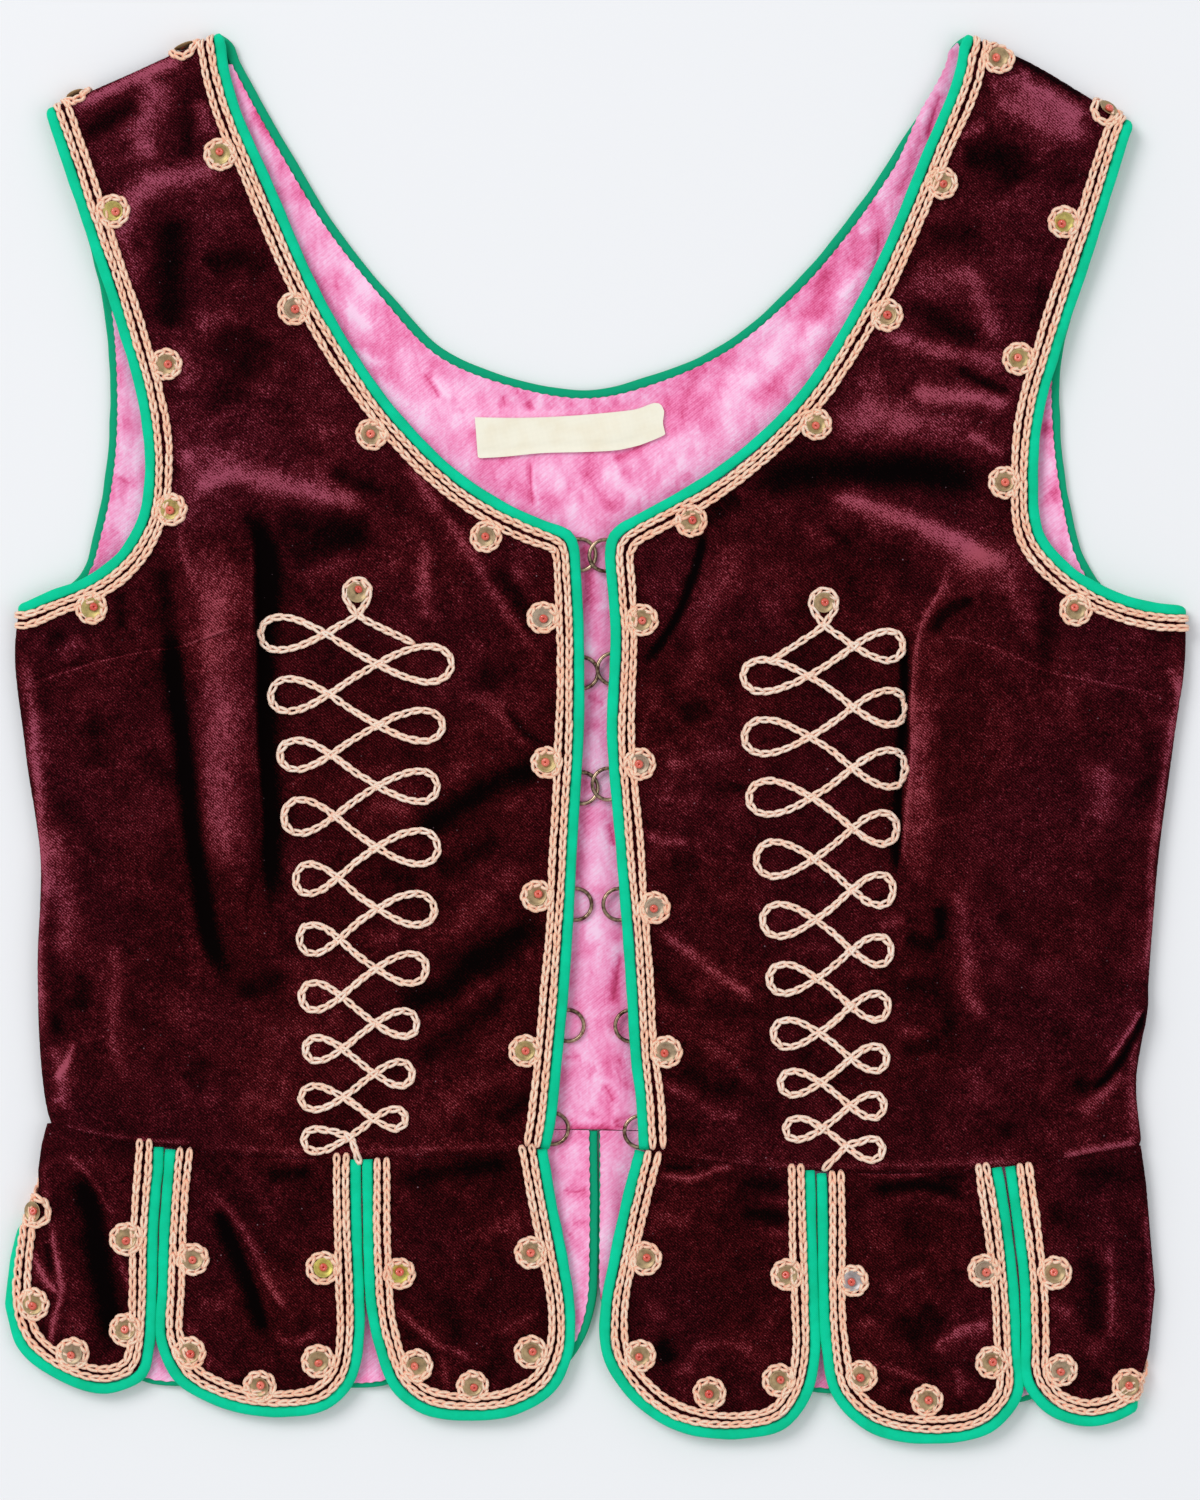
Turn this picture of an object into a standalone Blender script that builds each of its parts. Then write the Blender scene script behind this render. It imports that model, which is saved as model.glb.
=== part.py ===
"""A folk dress bodice of burgundy velvet, laid flat with its front up.

The back and its satin lining lie on the surface. The two fronts lie over them
and roll round the sides and over the shoulders to meet the back. Six tabs hang
from the waist in front and six behind. A green binding closes every free edge,
and lacing rings sit under the two front edges.

Frame: +X to the garment's left as worn (right as seen), +Y up to the shoulders,
+Z out of the front. The origin is under the middle of the garment.
Every size below is in millimetres; the scene is in metres.
"""

import math

import bmesh
import bpy
import numpy as np

MM = 0.001

# Driving dimensions -------------------------------------------------------

VELVET_WALL = 1.2
LINING_WALL = 1.0
SEAM_GAP = 0.3
BINDING_WIDTH = 4.0
BINDING_DEPTH = 2.8
BINDING_PROUD = 0.5  # how far a binding stands above the velvet it closes
BINDING_REACH = BINDING_WIDTH + SEAM_GAP  # from finished edge back to velvet
TAB_CLEARANCE = 0.2  # each tab keeps this much inside its share of the waist

FRONT_HEIGHT = 6.6  # outer face of a front where it lies flat
RIGHT_LAP = 1.5  # the right front edge lies higher, over the crossing rings
RIGHT_LAP_REACH = (8.0, 90.0)  # x where the lap is full, x where it has gone
TAB_HEIGHT = 5.7
TAB_SETTLE = 26.0  # a tab comes down from the waist to its own height in this

RING_RADIUS = 5.65
RING_WIRE_RADIUS = 0.6
RING_SEGMENTS = {"major_segments": 16, "minor_segments": 5}
LABEL_SIZE = (68.0, 14.5, 0.8)
LABEL_PLACE = (-9.9, 110.3)
LABEL_TURN = 3.5  # degrees

# Share of the way from the outer edge of a front to its inner edge ---------
FRONT_COLUMNS = (
    0, 0.05, 0.11, 0.17, 0.23, 0.29, 0.34, 0.38, 0.41, 0.44, 0.47,
    0.50, 0.54, 0.59, 0.65, 0.71, 0.77, 0.83, 0.89, 0.95, 1,
)
UNDERARM_COLUMNS = 3  # columns that end on the underarm curve
# Share of the way up, waist to underarm, then on up to the shoulder
BODY_ROWS = (0, 0.08, 0.16, 0.24, 0.32, 0.4, 0.48, 0.56, 0.64, 0.72, 0.8, 0.88, 0.95, 0.985, 1)
STRAP_ROWS = (0, 0.02, 0.06, 0.13, 0.21, 0.3, 0.39, 0.48, 0.58, 0.68, 0.79, 0.9, 1)
NECK_CORNERS = {"left": (-12.6, 70.6), "right": (8.2, 70.8)}  # in the velvet
UNDERARM_TURN = (172, 58)
SHOULDER_DRIFT = 3.0  # the neck edge moves inwards this far as it rolls over
ROLL_ANGLES = (45, 90, 135, 180)
ROLL_ROWS = len(ROLL_ANGLES) + 1
ROLL_RUN = 2.5  # a rolled edge runs on flat under the garment this far
BINDING_TRIM = 1.0  # a binding stops this short of the waist seam
LINING_INSET = 0.5

# Outlines: finished edges, each point (x, y) --------------------------------

OUTLINES = {
    "left": {
        "side": (
            (-196.8, -136.8), (-198.6, -128), (-200.8, -85), (-199.8, -45),
            (-205.2, -4), (-209.0, 36), (-207.7, 48.2),
        ),
        "armhole": (
            (-207.7, 48.2), (-197, 53), (-184, 58), (-173, 66), (-165, 79),
            (-162.3, 98), (-165, 122), (-171, 144), (-183, 180), (-198.5, 226),
        ),
        "back_armhole": (
            (-204.0, 48.6), (-195, 52), (-186, 59), (-181, 74), (-176.5, 98),
            (-175.1, 123), (-178, 158), (-185, 186), (-197.5, 222),
        ),
        "shoulder": ((-198.7, 225.7), (-168, 239), (-153.7, 246), (-133.2, 255)),
        "inner": (
            (-18.0, -147.0), (-14.0, -123), (-9.4, -80), (-7.0, -36), (-4.6, 8),
            (-4.8, 40), (-5.8, 59.8), (-6.8, 70.2), (-8.2, 73.6), (-11.4, 75.8),
            (-17, 77.8), (-28, 82.4), (-46, 93.2), (-70, 116), (-92, 147.5),
            (-117, 201), (-129.6, 231), (-133, 245.5), (-133.2, 256),
        ),
        "waist": (
            (-196.8, -136.8), (-178, -143), (-143, -148), (-96, -150.9),
            (-46, -149.2), (-18.0, -147.0),
        ),
    },
    "right": {
        "side": (
            (195.5, -145.4), (193.9, -126), (198, -90), (201.5, -45),
            (207.5, 0), (211.7, 36), (211.3, 48.0),
        ),
        "armhole": (
            (211.3, 48.0), (199, 49.2), (184.7, 53.6), (170, 62.5), (161, 73),
            (158.4, 93), (160, 115), (166, 138), (176.4, 169), (192.6, 221),
        ),
        "back_armhole": (
            (208.0, 48.2), (195.5, 49.3), (183, 54), (176, 64), (170, 85),
            (166.8, 110), (167.2, 137), (174, 163), (191.4, 218),
        ),
        "shoulder": ((192.6, 221), (177.5, 230.5), (160, 241), (130.4, 254.4)),
        "inner": (
            (17.0, -147.2), (13.6, -126), (10.8, -90), (6.5, -36), (3.6, 0),
            (4.6, 44), (3.4, 58), (2.9, 68), (3.9, 72.6), (6.8, 76.2),
            (12, 79.4), (18.4, 82.8), (41, 96), (69.5, 121), (93.6, 158),
            (117, 211), (129.4, 244), (130.4, 255),
        ),
        "waist": (
            (195.5, -145.4), (160, -151.8), (110, -156), (60, -153.6),
            (17.0, -147.2),
        ),
    },
}

BACK_NECK = (
    (-130.4, 247.6), (-124.9, 236.9), (-110.5, 211.7), (-92, 181.6), (-74.5, 160.2),
    (-55, 140.2), (-31, 130), (-2.5, 125.6), (22, 131.6), (46, 142.4), (67, 160),
    (91, 187.8), (112.7, 220), (120, 231.5), (128.4, 247.4),
)
BACK_SPACING = 6.0  # between the points of the back's bound edges
BACK_WAIST = ((186, -144.4), (95, -142.5), (0, -140.4), (-95, -139.5), (-188, -138.4))

# Folds of the fronts: line, rise, spread to the left and right of its run ----

FOLDS = {
    "left": (
        (((-147, 62), (-141, 97), (-128, 100), (-107, 95), (-76, 84)), 3.6, 7, 13),
        (((-128, 78), (-103, 72), (-74, 66)), -1.6, 9, 8),
        (((-134, 72), (-130, 20), (-131, -66)), 4.8, 12, 6.5),
        (((-117, 70), (-116, 15), (-119, -68)), -1.5, 4, 5),
        (((-151, 44), (-147, -20), (-138, -84)), -1.5, 6, 6),
        (((-44, -46), (-95, -82)), 1.2, 9, 9),
        (((-186, 205), (-150, 176), (-118, 168)), 1.2, 10, 10),
    ),
    "right": (
        (((146, 74), (129, 50), (118, 30), (117, -58)), 4.8, 12, 6.0),
        (((108, 46), (107, 10), (106, -52)), -1.2, 5, 4),
        (((74, 88), (109, 79), (152, 63)), 2.4, 6, 8),
        (((66, 97), (130, 91)), -1.4, 8, 6),
        (((122, -46), (123, -104)), -1.4, 7, 7),
        (((200, -90), (185, -112), (170, -126)), 1.6, 5, 8),
        (((36, -56), (62, -98)), 1.2, 9, 9),
        (((178, 204), (150, 184), (112, 176)), 1.2, 10, 10),
    ),
}
FOLD_TAPER = 0.22  # share of a fold's length over which it fades at each end

# Front tabs: sections down each tab (y, left edge x, right edge x), its lowest
# point and its folds. The right side tab is given opened out, with the line
# round which its outer part turns under the garment ------------------------------

TABS = {
    "tab_side_left": {
        "front": "left",
        "sections": (
            (-137.9, -196.4, -155.2), (-146, -198.8, -155.2), (-155.2, -201.2, -155.6),
            (-166, -203.0, -156.6), (-176.8, -207.0, -157.7), (-187.6, -209.9, -158.4),
            (-203, -211.7, -159.8), (-219, -208.0, -160.4), (-228.5, -197.0, -164.5),
        ),
        "tip": (-176, -234.9),
        "folds": (
            (((-199, -150), (-195, -178), (-190, -200), (-182, -228)), 2.6, 5, 8),
            (((-184, -142), (-170, -178)), 1.0, 7, 7),
            (((-212, -166), (-214, -200), (-205, -226)), -2.9, 14, 14),
        ),
    },
    "tab_left_outer": {
        "front": "left",
        "sections": (
            (-147.0, -155.2, -84.6), (-176.8, -157.7, -84.2), (-198.4, -159.4, -83.9),
            (-216, -158.6, -83.8), (-230.8, -152.4, -88.4), (-239.5, -137, -100),
        ),
        "tip": (-116, -243.5),
        "folds": (
            (((-140, -160), (-112, -236)), 1.4, 9, 9),
            (((-96, -158), (-104, -226)), 1.0, 7, 8),
        ),
    },
    "tab_left_inner": {
        "front": "left",
        "sections": (
            (-150.6, -84.6, -17.0), (-166, -84.4, -14.4), (-187.6, -83.9, -10.1),
            (-205, -83.3, -7.9), (-221, -80.0, -8.6), (-234, -75.4, -14.6),
            (-241.6, -65.8, -26),
        ),
        "tip": (-46, -244.9),
        "folds": (
            (((-66, -156), (-42, -232)), 1.3, 9, 8),
            (((-30, -152), (-28, -228)), 1.0, 7, 7),
        ),
    },
    "tab_right_inner": {
        "front": "right",
        "sections": (
            (-147.3, 15.0, 78.4), (-166, 9.4, 78.8), (-187.6, 4.3, 79.2),
            (-205, 1.0, 79.2), (-221, 1.6, 78.4), (-235, 9.6, 76.6),
            (-246.4, 24, 70.8),
        ),
        "tip": (50, -251.5),
        "folds": (
            (((30, -154), (44, -244)), 1.3, 8, 9),
            (((66, -158), (60, -238)), 1.0, 7, 7),
        ),
    },
    "tab_right_outer": {
        "front": "right",
        "sections": (
            (-154.5, 78.5, 145.8), (-177, 79.0, 149.4), (-198, 79.2, 151.6),
            (-218, 79.8, 152.0), (-236, 83.2, 151.0), (-247, 92, 144.8),
        ),
        "tip": (119, -253.2),
        "folds": (
            (((98, -160), (114, -246)), 1.4, 9, 9),
            (((136, -158), (128, -238)), 1.1, 8, 7),
        ),
    },
    "tab_side_right": {
        "front": "right",
        "sections": (
            (-150.5, 145.8, 225.0), (-177, 149.4, 226.0), (-198, 151.6, 226.0),
            (-214, 151.9, 225.0), (-232, 155.0, 216.0), (-241.5, 163, 205),
        ),
        "tip": (182, -246.6),
        "folds": (
            (((160, -156), (172, -232)), 1.3, 8, 8),
            (((186, -152), (184, -214)), 1.1, 6, 7),
        ),
        "columns": (0, 0.14, 0.28, 0.42, 0.54, 0.6, 0.65, 0.7, 0.75, 0.8, 0.9, 1),
        "turned_under": (
            (194.6, -140), (197.4, -160), (200.6, -198), (198.4, -220), (192, -243),
        ),
    },
}
TAB_COLUMNS = (0, 0.12, 0.25, 0.38, 0.5, 0.62, 0.75, 0.88, 1)
TAB_ROWS = (0, 0.14, 0.28, 0.42, 0.57, 0.72, 0.86, 1)
TAB_SIDES = 0.72  # share of the way to the tip at which a side becomes the end

# Back tabs: (left edge x, right edge x, lowest y) ------------------------------

BACK_TABS = {
    "tab_back_1": (-177.0, -118.4, -236.0),
    "tab_back_2": (-118.0, -59.4, -235.0),
    "tab_back_3": (-59.0, -0.3, -234.0),
    "tab_back_4": (0.3, 58.4, -234.0),
    "tab_back_5": (58.8, 116.4, -236.0),
    "tab_back_6": (116.8, 169.6, -239.0),
}
BACK_TAB_ROUNDING = 30.0  # height of the rounded end of a back tab
BACK_TAB_POINTS = 9  # points round each end quarter
BACK_TAB_SQUARENESS = 0.7  # 1 is a round end, less is squarer

# Lacing rings: (x, y) of each centre, front by front ---------------------------

RINGS = {
    "left": (
        (-6.1, 66.2), (-5.4, 23.8), (-5.4, -17.6), (-7.6, -59.4),
        (-10.4, -103.0), (-15.8, -138.6),
    ),
    "right": (
        (2.9, 65.9), (5.8, 25.2), (4.0, -16.2), (7.9, -59.4),
        (12.2, -103.0), (15.5, -138.6),
    ),
}

# Finishes: base colour, roughness, metallic -------------------------------------

FINISHES = {
    "velvet": ((0.045, 0.006, 0.016), 0.85, 0.0),
    "satin": ((0.80, 0.16, 0.42), 0.38, 0.0),
    "binding": ((0.005, 0.49, 0.26), 0.7, 0.0),
    "brass": ((0.35, 0.22, 0.12), 0.38, 1.0),
    "label": ((0.90, 0.84, 0.68), 0.6, 0.0),
}


# Lines --------------------------------------------------------------------------


def smooth_line(knots, spacing=2.0):
    """A smooth line through the knots, as points about `spacing` apart."""
    knots = np.array(knots, float)
    chords = np.linalg.norm(np.diff(knots, axis=0), axis=1)
    stations = np.concatenate([[0], np.cumsum(chords)])
    slopes = np.gradient(knots, stations, axis=0)
    points = [knots[:1]]
    for i, chord in enumerate(chords):
        steps = max(2, math.ceil(chord / spacing))
        t = (np.arange(1, steps + 1) / steps)[:, None]
        points.append(
            (2 * t**3 - 3 * t**2 + 1) * knots[i]
            + (t**3 - 2 * t**2 + t) * slopes[i] * chord
            + (3 * t**2 - 2 * t**3) * knots[i + 1]
            + (t**3 - t**2) * slopes[i + 1] * chord
        )
    return np.vstack(points)


def lengths_along(line):
    steps = np.linalg.norm(np.diff(line, axis=0), axis=1)
    return np.concatenate([[0], np.cumsum(steps)])


def at_shares(line, shares):
    """The points at these shares of the line's length."""
    along = lengths_along(line)
    wanted = np.asarray(shares) * along[-1]
    return np.column_stack([np.interp(wanted, along, axis) for axis in line.T])


def beside(line, distance):
    """The line moved to the left-hand side of its run."""
    run = np.gradient(line, axis=0)
    run /= np.linalg.norm(run, axis=1)[:, None]
    return line + distance * np.column_stack([-run[:, 1], run[:, 0]])


def share_nearest(line, point):
    """The share of the line's length at which it comes nearest to the point."""
    nearest = np.argmin(np.linalg.norm(line - np.array(point), axis=1))
    along = lengths_along(line)
    return along[nearest] / along[-1]


def coons_patch(bottom, top, left, right, columns, rows):
    """Points of a net between four boundary lines, at these shares across and up."""
    u = np.asarray(columns)[None, :, None]
    v = np.asarray(rows)[:, None, None]
    across = (1 - v) * bottom[None] + v * top[None]
    up = (1 - u) * left[:, None] + u * right[:, None]
    corners = (1 - v) * ((1 - u) * bottom[0] + u * bottom[-1]) + v * (
        (1 - u) * top[0] + u * top[-1]
    )
    return across + up - corners


def smooth_step(t):
    t = np.clip(t, 0, 1)
    return t * t * (3 - 2 * t)


# Heights ------------------------------------------------------------------------


def fold_height(points, line, rise, left_spread, right_spread):
    """How far one fold lifts or lowers the cloth at each point."""
    line = np.array(line, float)
    along = lengths_along(line)
    best = np.full(len(points), np.inf)
    side = np.zeros(len(points))
    share = np.zeros(len(points))
    for i, (a, b) in enumerate(zip(line[:-1], line[1:])):
        run = b - a
        t = np.clip((points - a) @ run / (run @ run), 0, 1)
        away = points - (a + t[:, None] * run)
        distance = np.linalg.norm(away, axis=1)
        nearer = distance < best
        best = np.where(nearer, distance, best)
        side = np.where(nearer, run[0] * away[:, 1] - run[1] * away[:, 0], side)
        here = (along[i] + t * (along[i + 1] - along[i])) / along[-1]
        share = np.where(nearer, here, share)
    spread = np.where(side > 0, left_spread, right_spread)
    ends = smooth_step(share / FOLD_TAPER) * smooth_step((1 - share) / FOLD_TAPER)
    return rise * np.exp(-((best / spread) ** 2)) * ends


def all_folds(points, folds):
    return sum(fold_height(points, *fold) for fold in folds)


def front_height(side, points):
    """Height of a front's outer face over the surface that the garment lies on."""
    height = np.full(len(points), FRONT_HEIGHT)
    if side == "right":
        full, gone = RIGHT_LAP_REACH
        height += RIGHT_LAP * smooth_step((gone - points[:, 0]) / (gone - full))
    return height + all_folds(points, FOLDS[side])


def tab_height(tab, seam, points):
    """Height of a front tab's outer face: it leaves the waist and settles."""
    seam_y = np.interp(points[:, 0], *sorted_by_x(seam))
    at_seam = front_height(tab["front"], np.column_stack([points[:, 0], seam_y]))
    settled = smooth_step((seam_y - points[:, 1]) / TAB_SETTLE)
    return (
        at_seam + (TAB_HEIGHT - at_seam) * settled
        + all_folds(points, tab["folds"]) * settled
    )


def sorted_by_x(line):
    order = np.argsort(line[:, 0])
    return line[order, 0], line[order, 1]


# Building -----------------------------------------------------------------------


def clear_scene():
    for obj in list(bpy.data.objects):
        bpy.data.objects.remove(obj, do_unlink=True)


def material(finish):
    made = bpy.data.materials.get(finish)
    if made:
        return made
    colour, roughness, metallic = FINISHES[finish]
    made = bpy.data.materials.new(finish)
    made.use_nodes = True
    shader = made.node_tree.nodes["Principled BSDF"]
    shader.inputs["Base Color"].default_value = (*colour, 1)
    shader.inputs["Roughness"].default_value = roughness
    shader.inputs["Metallic"].default_value = metallic
    made.diffuse_color = (*colour, 1)
    return made


def link(name, data, finish, collection):
    obj = bpy.data.objects.new(name, data)
    data.materials.append(material(finish))
    collection.objects.link(obj)
    return obj


def add_sheet(name, rows, flip, finish, wall, collection):
    """Cloth from rows of outer-face points, each (first column, points).

    Neighbouring rows are joined over the columns that they share. Returns the
    outer face's points and normals, row by row.
    """
    mesh = bmesh.new()
    verts = [
        {first + i: mesh.verts.new(point * MM) for i, point in enumerate(points)}
        for first, points in rows
    ]
    for below, above in zip(verts[:-1], verts[1:]):
        for i in sorted(below.keys() & above.keys()):
            if i + 1 in below and i + 1 in above:
                corners = [below[i], below[i + 1], above[i + 1], above[i]]
                mesh.faces.new(corners[::-1] if flip else corners)
    mesh.normal_update()
    for face in mesh.faces:
        face.smooth = True
    placed = [
        {i: (np.array(v.co) / MM, np.array(v.normal)) for i, v in row.items()}
        for row in verts
    ]
    data = bpy.data.meshes.new(name)
    mesh.to_mesh(data)
    mesh.free()
    obj = link(name, data, finish, collection)
    solidify = obj.modifiers.new("wall", "SOLIDIFY")
    solidify.thickness = wall * MM
    solidify.offset = -1
    return placed


def add_flat(name, outline, bottom, wall, finish, collection):
    """A flat piece of cloth with this outline, from `bottom` upwards."""
    data = bpy.data.curves.new(name, "CURVE")
    data.dimensions = "2D"
    data.fill_mode = "BOTH"
    data.extrude = wall / 2 * MM
    spline = data.splines.new("POLY")
    spline.points.add(len(outline) - 1)
    for point, (x, y) in zip(spline.points, outline):
        point.co = (x * MM, y * MM, 0, 1)
    spline.use_cyclic_u = True
    obj = link(name, data, finish, collection)
    obj.location.z = (bottom + wall / 2) * MM
    return obj


# Section of a binding, counted from the velvet's outer-face edge: (out, up)
BINDING_SECTION = (
    (SEAM_GAP, BINDING_PROUD - BINDING_DEPTH),
    (SEAM_GAP, BINDING_PROUD - 0.2),
    (SEAM_GAP + 0.45 * BINDING_WIDTH, BINDING_PROUD),
    (SEAM_GAP + 0.85 * BINDING_WIDTH, BINDING_PROUD - 0.4),
    (BINDING_REACH, BINDING_PROUD - 0.5 * BINDING_DEPTH),
    (SEAM_GAP + 0.85 * BINDING_WIDTH, BINDING_PROUD - BINDING_DEPTH),
)


def add_binding(name, path, outward, collection, closed=False):
    """A binding swept along (point, normal, sink) triples on the velvet's edge.

    `outward` is +1 where the free side lies at run x normal, and -1 otherwise.
    `sink` lowers the section along the normal, for stretches that lie face down.
    """
    points = np.array([p for p, _, _ in path])
    normals = np.array([n for _, n, _ in path])
    sinks = np.array([s for _, _, s in path])
    if closed:
        around = np.vstack([points[-1:], points, points[:1]])
        runs = around[2:] - around[:-2]
    else:
        runs = np.gradient(points, axis=0)
    runs /= np.linalg.norm(runs, axis=1)[:, None]
    outs = outward * np.cross(runs, normals)
    outs /= np.linalg.norm(outs, axis=1)[:, None]
    mesh = bmesh.new()
    rings = []
    for point, normal, out, sink in zip(points, normals, outs, sinks):
        rings.append(
            [
                mesh.verts.new((point + o * out + (u - sink) * normal) * MM)
                for o, u in BINDING_SECTION
            ]
        )
    size = len(BINDING_SECTION)
    pairs = list(zip(rings[:-1], rings[1:]))
    if closed:
        pairs.append((rings[-1], rings[0]))
    for first, second in pairs:
        for i in range(size):
            j = (i + 1) % size
            mesh.faces.new([first[i], first[j], second[j], second[i]])
    if not closed:
        mesh.faces.new(rings[0][::-1])
        mesh.faces.new(rings[-1])
    bmesh.ops.recalc_face_normals(mesh, faces=mesh.faces)
    data = bpy.data.meshes.new(name)
    mesh.to_mesh(data)
    mesh.free()
    link(name, data, "binding", collection)


# Fronts -------------------------------------------------------------------------


def roll_points(points, heights, outward):
    """Points round a rolled edge, a row of points for each angle and a flat end."""
    radius = heights / 2
    rows = []
    for angle in ROLL_ANGLES:
        a = math.radians(angle)
        flat = points + outward * (radius * math.sin(a))[:, None]
        rows.append(np.column_stack([flat, radius * (1 + math.cos(a))]))
    flat_end = points - outward * ROLL_RUN
    rows.append(np.column_stack([flat_end, np.zeros(len(points))]))
    return rows


def front_net(side):
    """Net of a front in plan: body rows, then strap rows over the inner columns."""
    lines = {name: smooth_line(knots) for name, knots in OUTLINES[side].items()}
    out = -1 if side == "left" else 1
    radius = FRONT_HEIGHT / 2
    inner = beside(lines["inner"], -out * BINDING_REACH)
    armhole = beside(lines["armhole"], out * BINDING_REACH)
    side_line = lines["side"] + (-out * radius, 0)
    shoulder = beside(lines["shoulder"], out * radius)

    armhole = armhole[np.abs(armhole[:, 0]) < abs(side_line[-1, 0])]
    corner = share_nearest(inner, NECK_CORNERS[side])
    turn = share_nearest(armhole, (out * UNDERARM_TURN[0], UNDERARM_TURN[1]))
    turn_point = at_shares(armhole, [turn])[0]
    corner_point = at_shares(inner, [corner])[0]
    columns = np.array(FRONT_COLUMNS)
    k = UNDERARM_COLUMNS

    waist = lines["waist"]
    waist = waist[
        (np.abs(waist[:, 0]) < abs(side_line[0, 0])) & (np.abs(waist[:, 0]) > abs(inner[0, 0]))
    ]
    waist = np.vstack([[side_line[0, 0], waist[0, 1]], waist, [inner[0, 0], waist[-1, 1]]])
    bottom = at_shares(waist, columns)
    underarm = at_shares(armhole, turn * np.linspace(0, 1, k + 1))
    inward = (columns[k:] - columns[k]) / (1 - columns[k])
    across = turn_point + inward[:, None] * (corner_point - turn_point)
    top = np.vstack([underarm, across[1:]])
    seam = np.vstack([waist[:1], side_line[1:-2], armhole[:1]])
    up_body = np.array(BODY_ROWS)
    body = coons_patch(
        bottom, top, at_shares(seam, up_body),
        at_shares(np.vstack([waist[-1:], inner[1:]]), corner * up_body),
        columns, up_body,
    )
    body[-1] = top

    up_strap = np.array(STRAP_ROWS)
    shoulder = shoulder[
        (np.abs(shoulder[:, 0]) < abs(armhole[-1, 0]))
        & (np.abs(shoulder[:, 0]) > abs(inner[-1, 0]))
    ]
    left = at_shares(np.vstack([armhole[:-1], shoulder[:1]]), turn + (1 - turn) * up_strap)
    left[0] = turn_point
    right = at_shares(
        np.vstack([inner[:-1], shoulder[-1:]]), corner + (1 - corner) * up_strap
    )
    right[0] = corner_point
    strap = coons_patch(
        across, at_shares(shoulder, inward), left, right, inward, up_strap
    )
    return body, strap


def add_front(side, collection):
    """One front, rolled round its side and over its shoulder."""
    out = -1 if side == "left" else 1
    body, strap = front_net(side)
    rows = []
    for points in body:
        heights = front_height(side, points)
        rolled = roll_points(points[:1], heights[:1], np.array([[out, 0]]))
        flat = np.column_stack([points, heights])
        rows.append((0, np.vstack([*rolled[::-1], flat])))
    first = ROLL_ROWS + UNDERARM_COLUMNS
    for points in strap[1:]:
        rows.append((first, np.column_stack([points, front_height(side, points)])))
    top = strap[-1]
    run = top[-1] - top[0]
    up = np.array([-run[1], run[0]]) * -out / np.linalg.norm(run)
    rolled = roll_points(top, front_height(side, top), up[None])
    drift = np.outer(np.linspace(0, -out * SHOULDER_DRIFT, len(top)), (1, 0, 0))
    for step, points in enumerate(rolled, 1):
        rows.append((first, points + drift * step / len(rolled)))
    return add_sheet(f"front_{side}", rows, side == "right", "velvet", VELVET_WALL, collection)


def front_edges(sheet):
    """The bound edges of a front as (point, normal, sink): inner edge, armhole top."""
    last = max(sheet[0])
    first = ROLL_ROWS + UNDERARM_COLUMNS
    turned = len(sheet) - ROLL_ROWS

    def sink(step):
        return BINDING_PROUD * min(max(step / len(ROLL_ANGLES), 0), 1)

    inner = [(*row[last], sink(j - turned + 1)) for j, row in enumerate(sheet)]
    top_row = len(BODY_ROWS) - 1
    underarm = [(*sheet[top_row][i], sink(ROLL_ROWS - i)) for i in range(first + 1)]
    armhole = [
        (*row[first], sink(j - turned + 1))
        for j, row in enumerate(sheet)
        if j > top_row
    ]
    return inner, underarm + armhole


# Back ---------------------------------------------------------------------------


def face_down(line):
    """Bound-edge triples of a flat piece that lies face down on the surface."""
    return [
        (np.array([x, y, 0.0]), np.array([0.0, 0.0, -1.0]), BINDING_PROUD)
        for x, y in line
    ]


def back_lines(sheets):
    """The back's edges in plan: bound ones as lines, seams beside the fronts'."""
    reach = BINDING_REACH
    lines = {}
    for side, out in (("left", -1), ("right", 1)):
        sheet = sheets[side]
        seam = np.array([row[0][0][:2] for row in sheet[: len(BODY_ROWS)]])
        shoulder = np.array([sheet[-1][i][0][:2] for i in sorted(sheet[-1])])
        armhole = beside(smooth_line(OUTLINES[side]["back_armhole"], BACK_SPACING), out * reach)
        armhole = armhole[
            (np.abs(armhole[:, 0]) < abs(seam[-1, 0]) - SEAM_GAP)
            & (armhole[:, 1] < shoulder[0, 1] - SEAM_GAP)
        ]
        lines[side] = {
            "seam": seam + (-out * SEAM_GAP, 0),
            "armhole": armhole,
            "shoulder": shoulder + (0, -SEAM_GAP),
        }
    neck = beside(smooth_line(BACK_NECK, BACK_SPACING), -reach)
    left_end = lines["left"]["shoulder"][-1]
    right_end = lines["right"]["shoulder"][-1]
    lines["neck"] = neck[(neck[:, 0] > left_end[0]) & (neck[:, 0] < right_end[0])]
    lines["waist"] = np.array(BACK_WAIST)
    return lines


def back_outline(lines):
    left, right = lines["left"], lines["right"]
    return np.vstack([
        left["seam"], left["armhole"], left["shoulder"], lines["neck"],
        right["shoulder"][::-1], right["armhole"][::-1], right["seam"][::-1],
        lines["waist"],
    ])


def add_back(sheets, collection):
    lines = back_lines(sheets)
    outline = back_outline(lines)
    add_flat("back_panel", outline, 0, VELVET_WALL, "velvet", collection)
    inset = beside(outline, -LINING_INSET)
    bottom = VELVET_WALL + SEAM_GAP
    add_flat("back_lining", inset, bottom, LINING_WALL, "satin", collection)
    return lines


# Bindings of the neck and armholes ------------------------------------------------


def trimmed(path):
    """The path with each end moved in by the trim that keeps it off the waist seam."""
    ends = []
    for (point, normal, sink), (towards, _, _) in (path[:2], path[:-3:-1]):
        run = (towards - point) / np.linalg.norm(towards - point)
        ends.append((point + BINDING_TRIM * run, normal, sink))
    return [ends[0], *path[1:-1], ends[1]]


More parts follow.
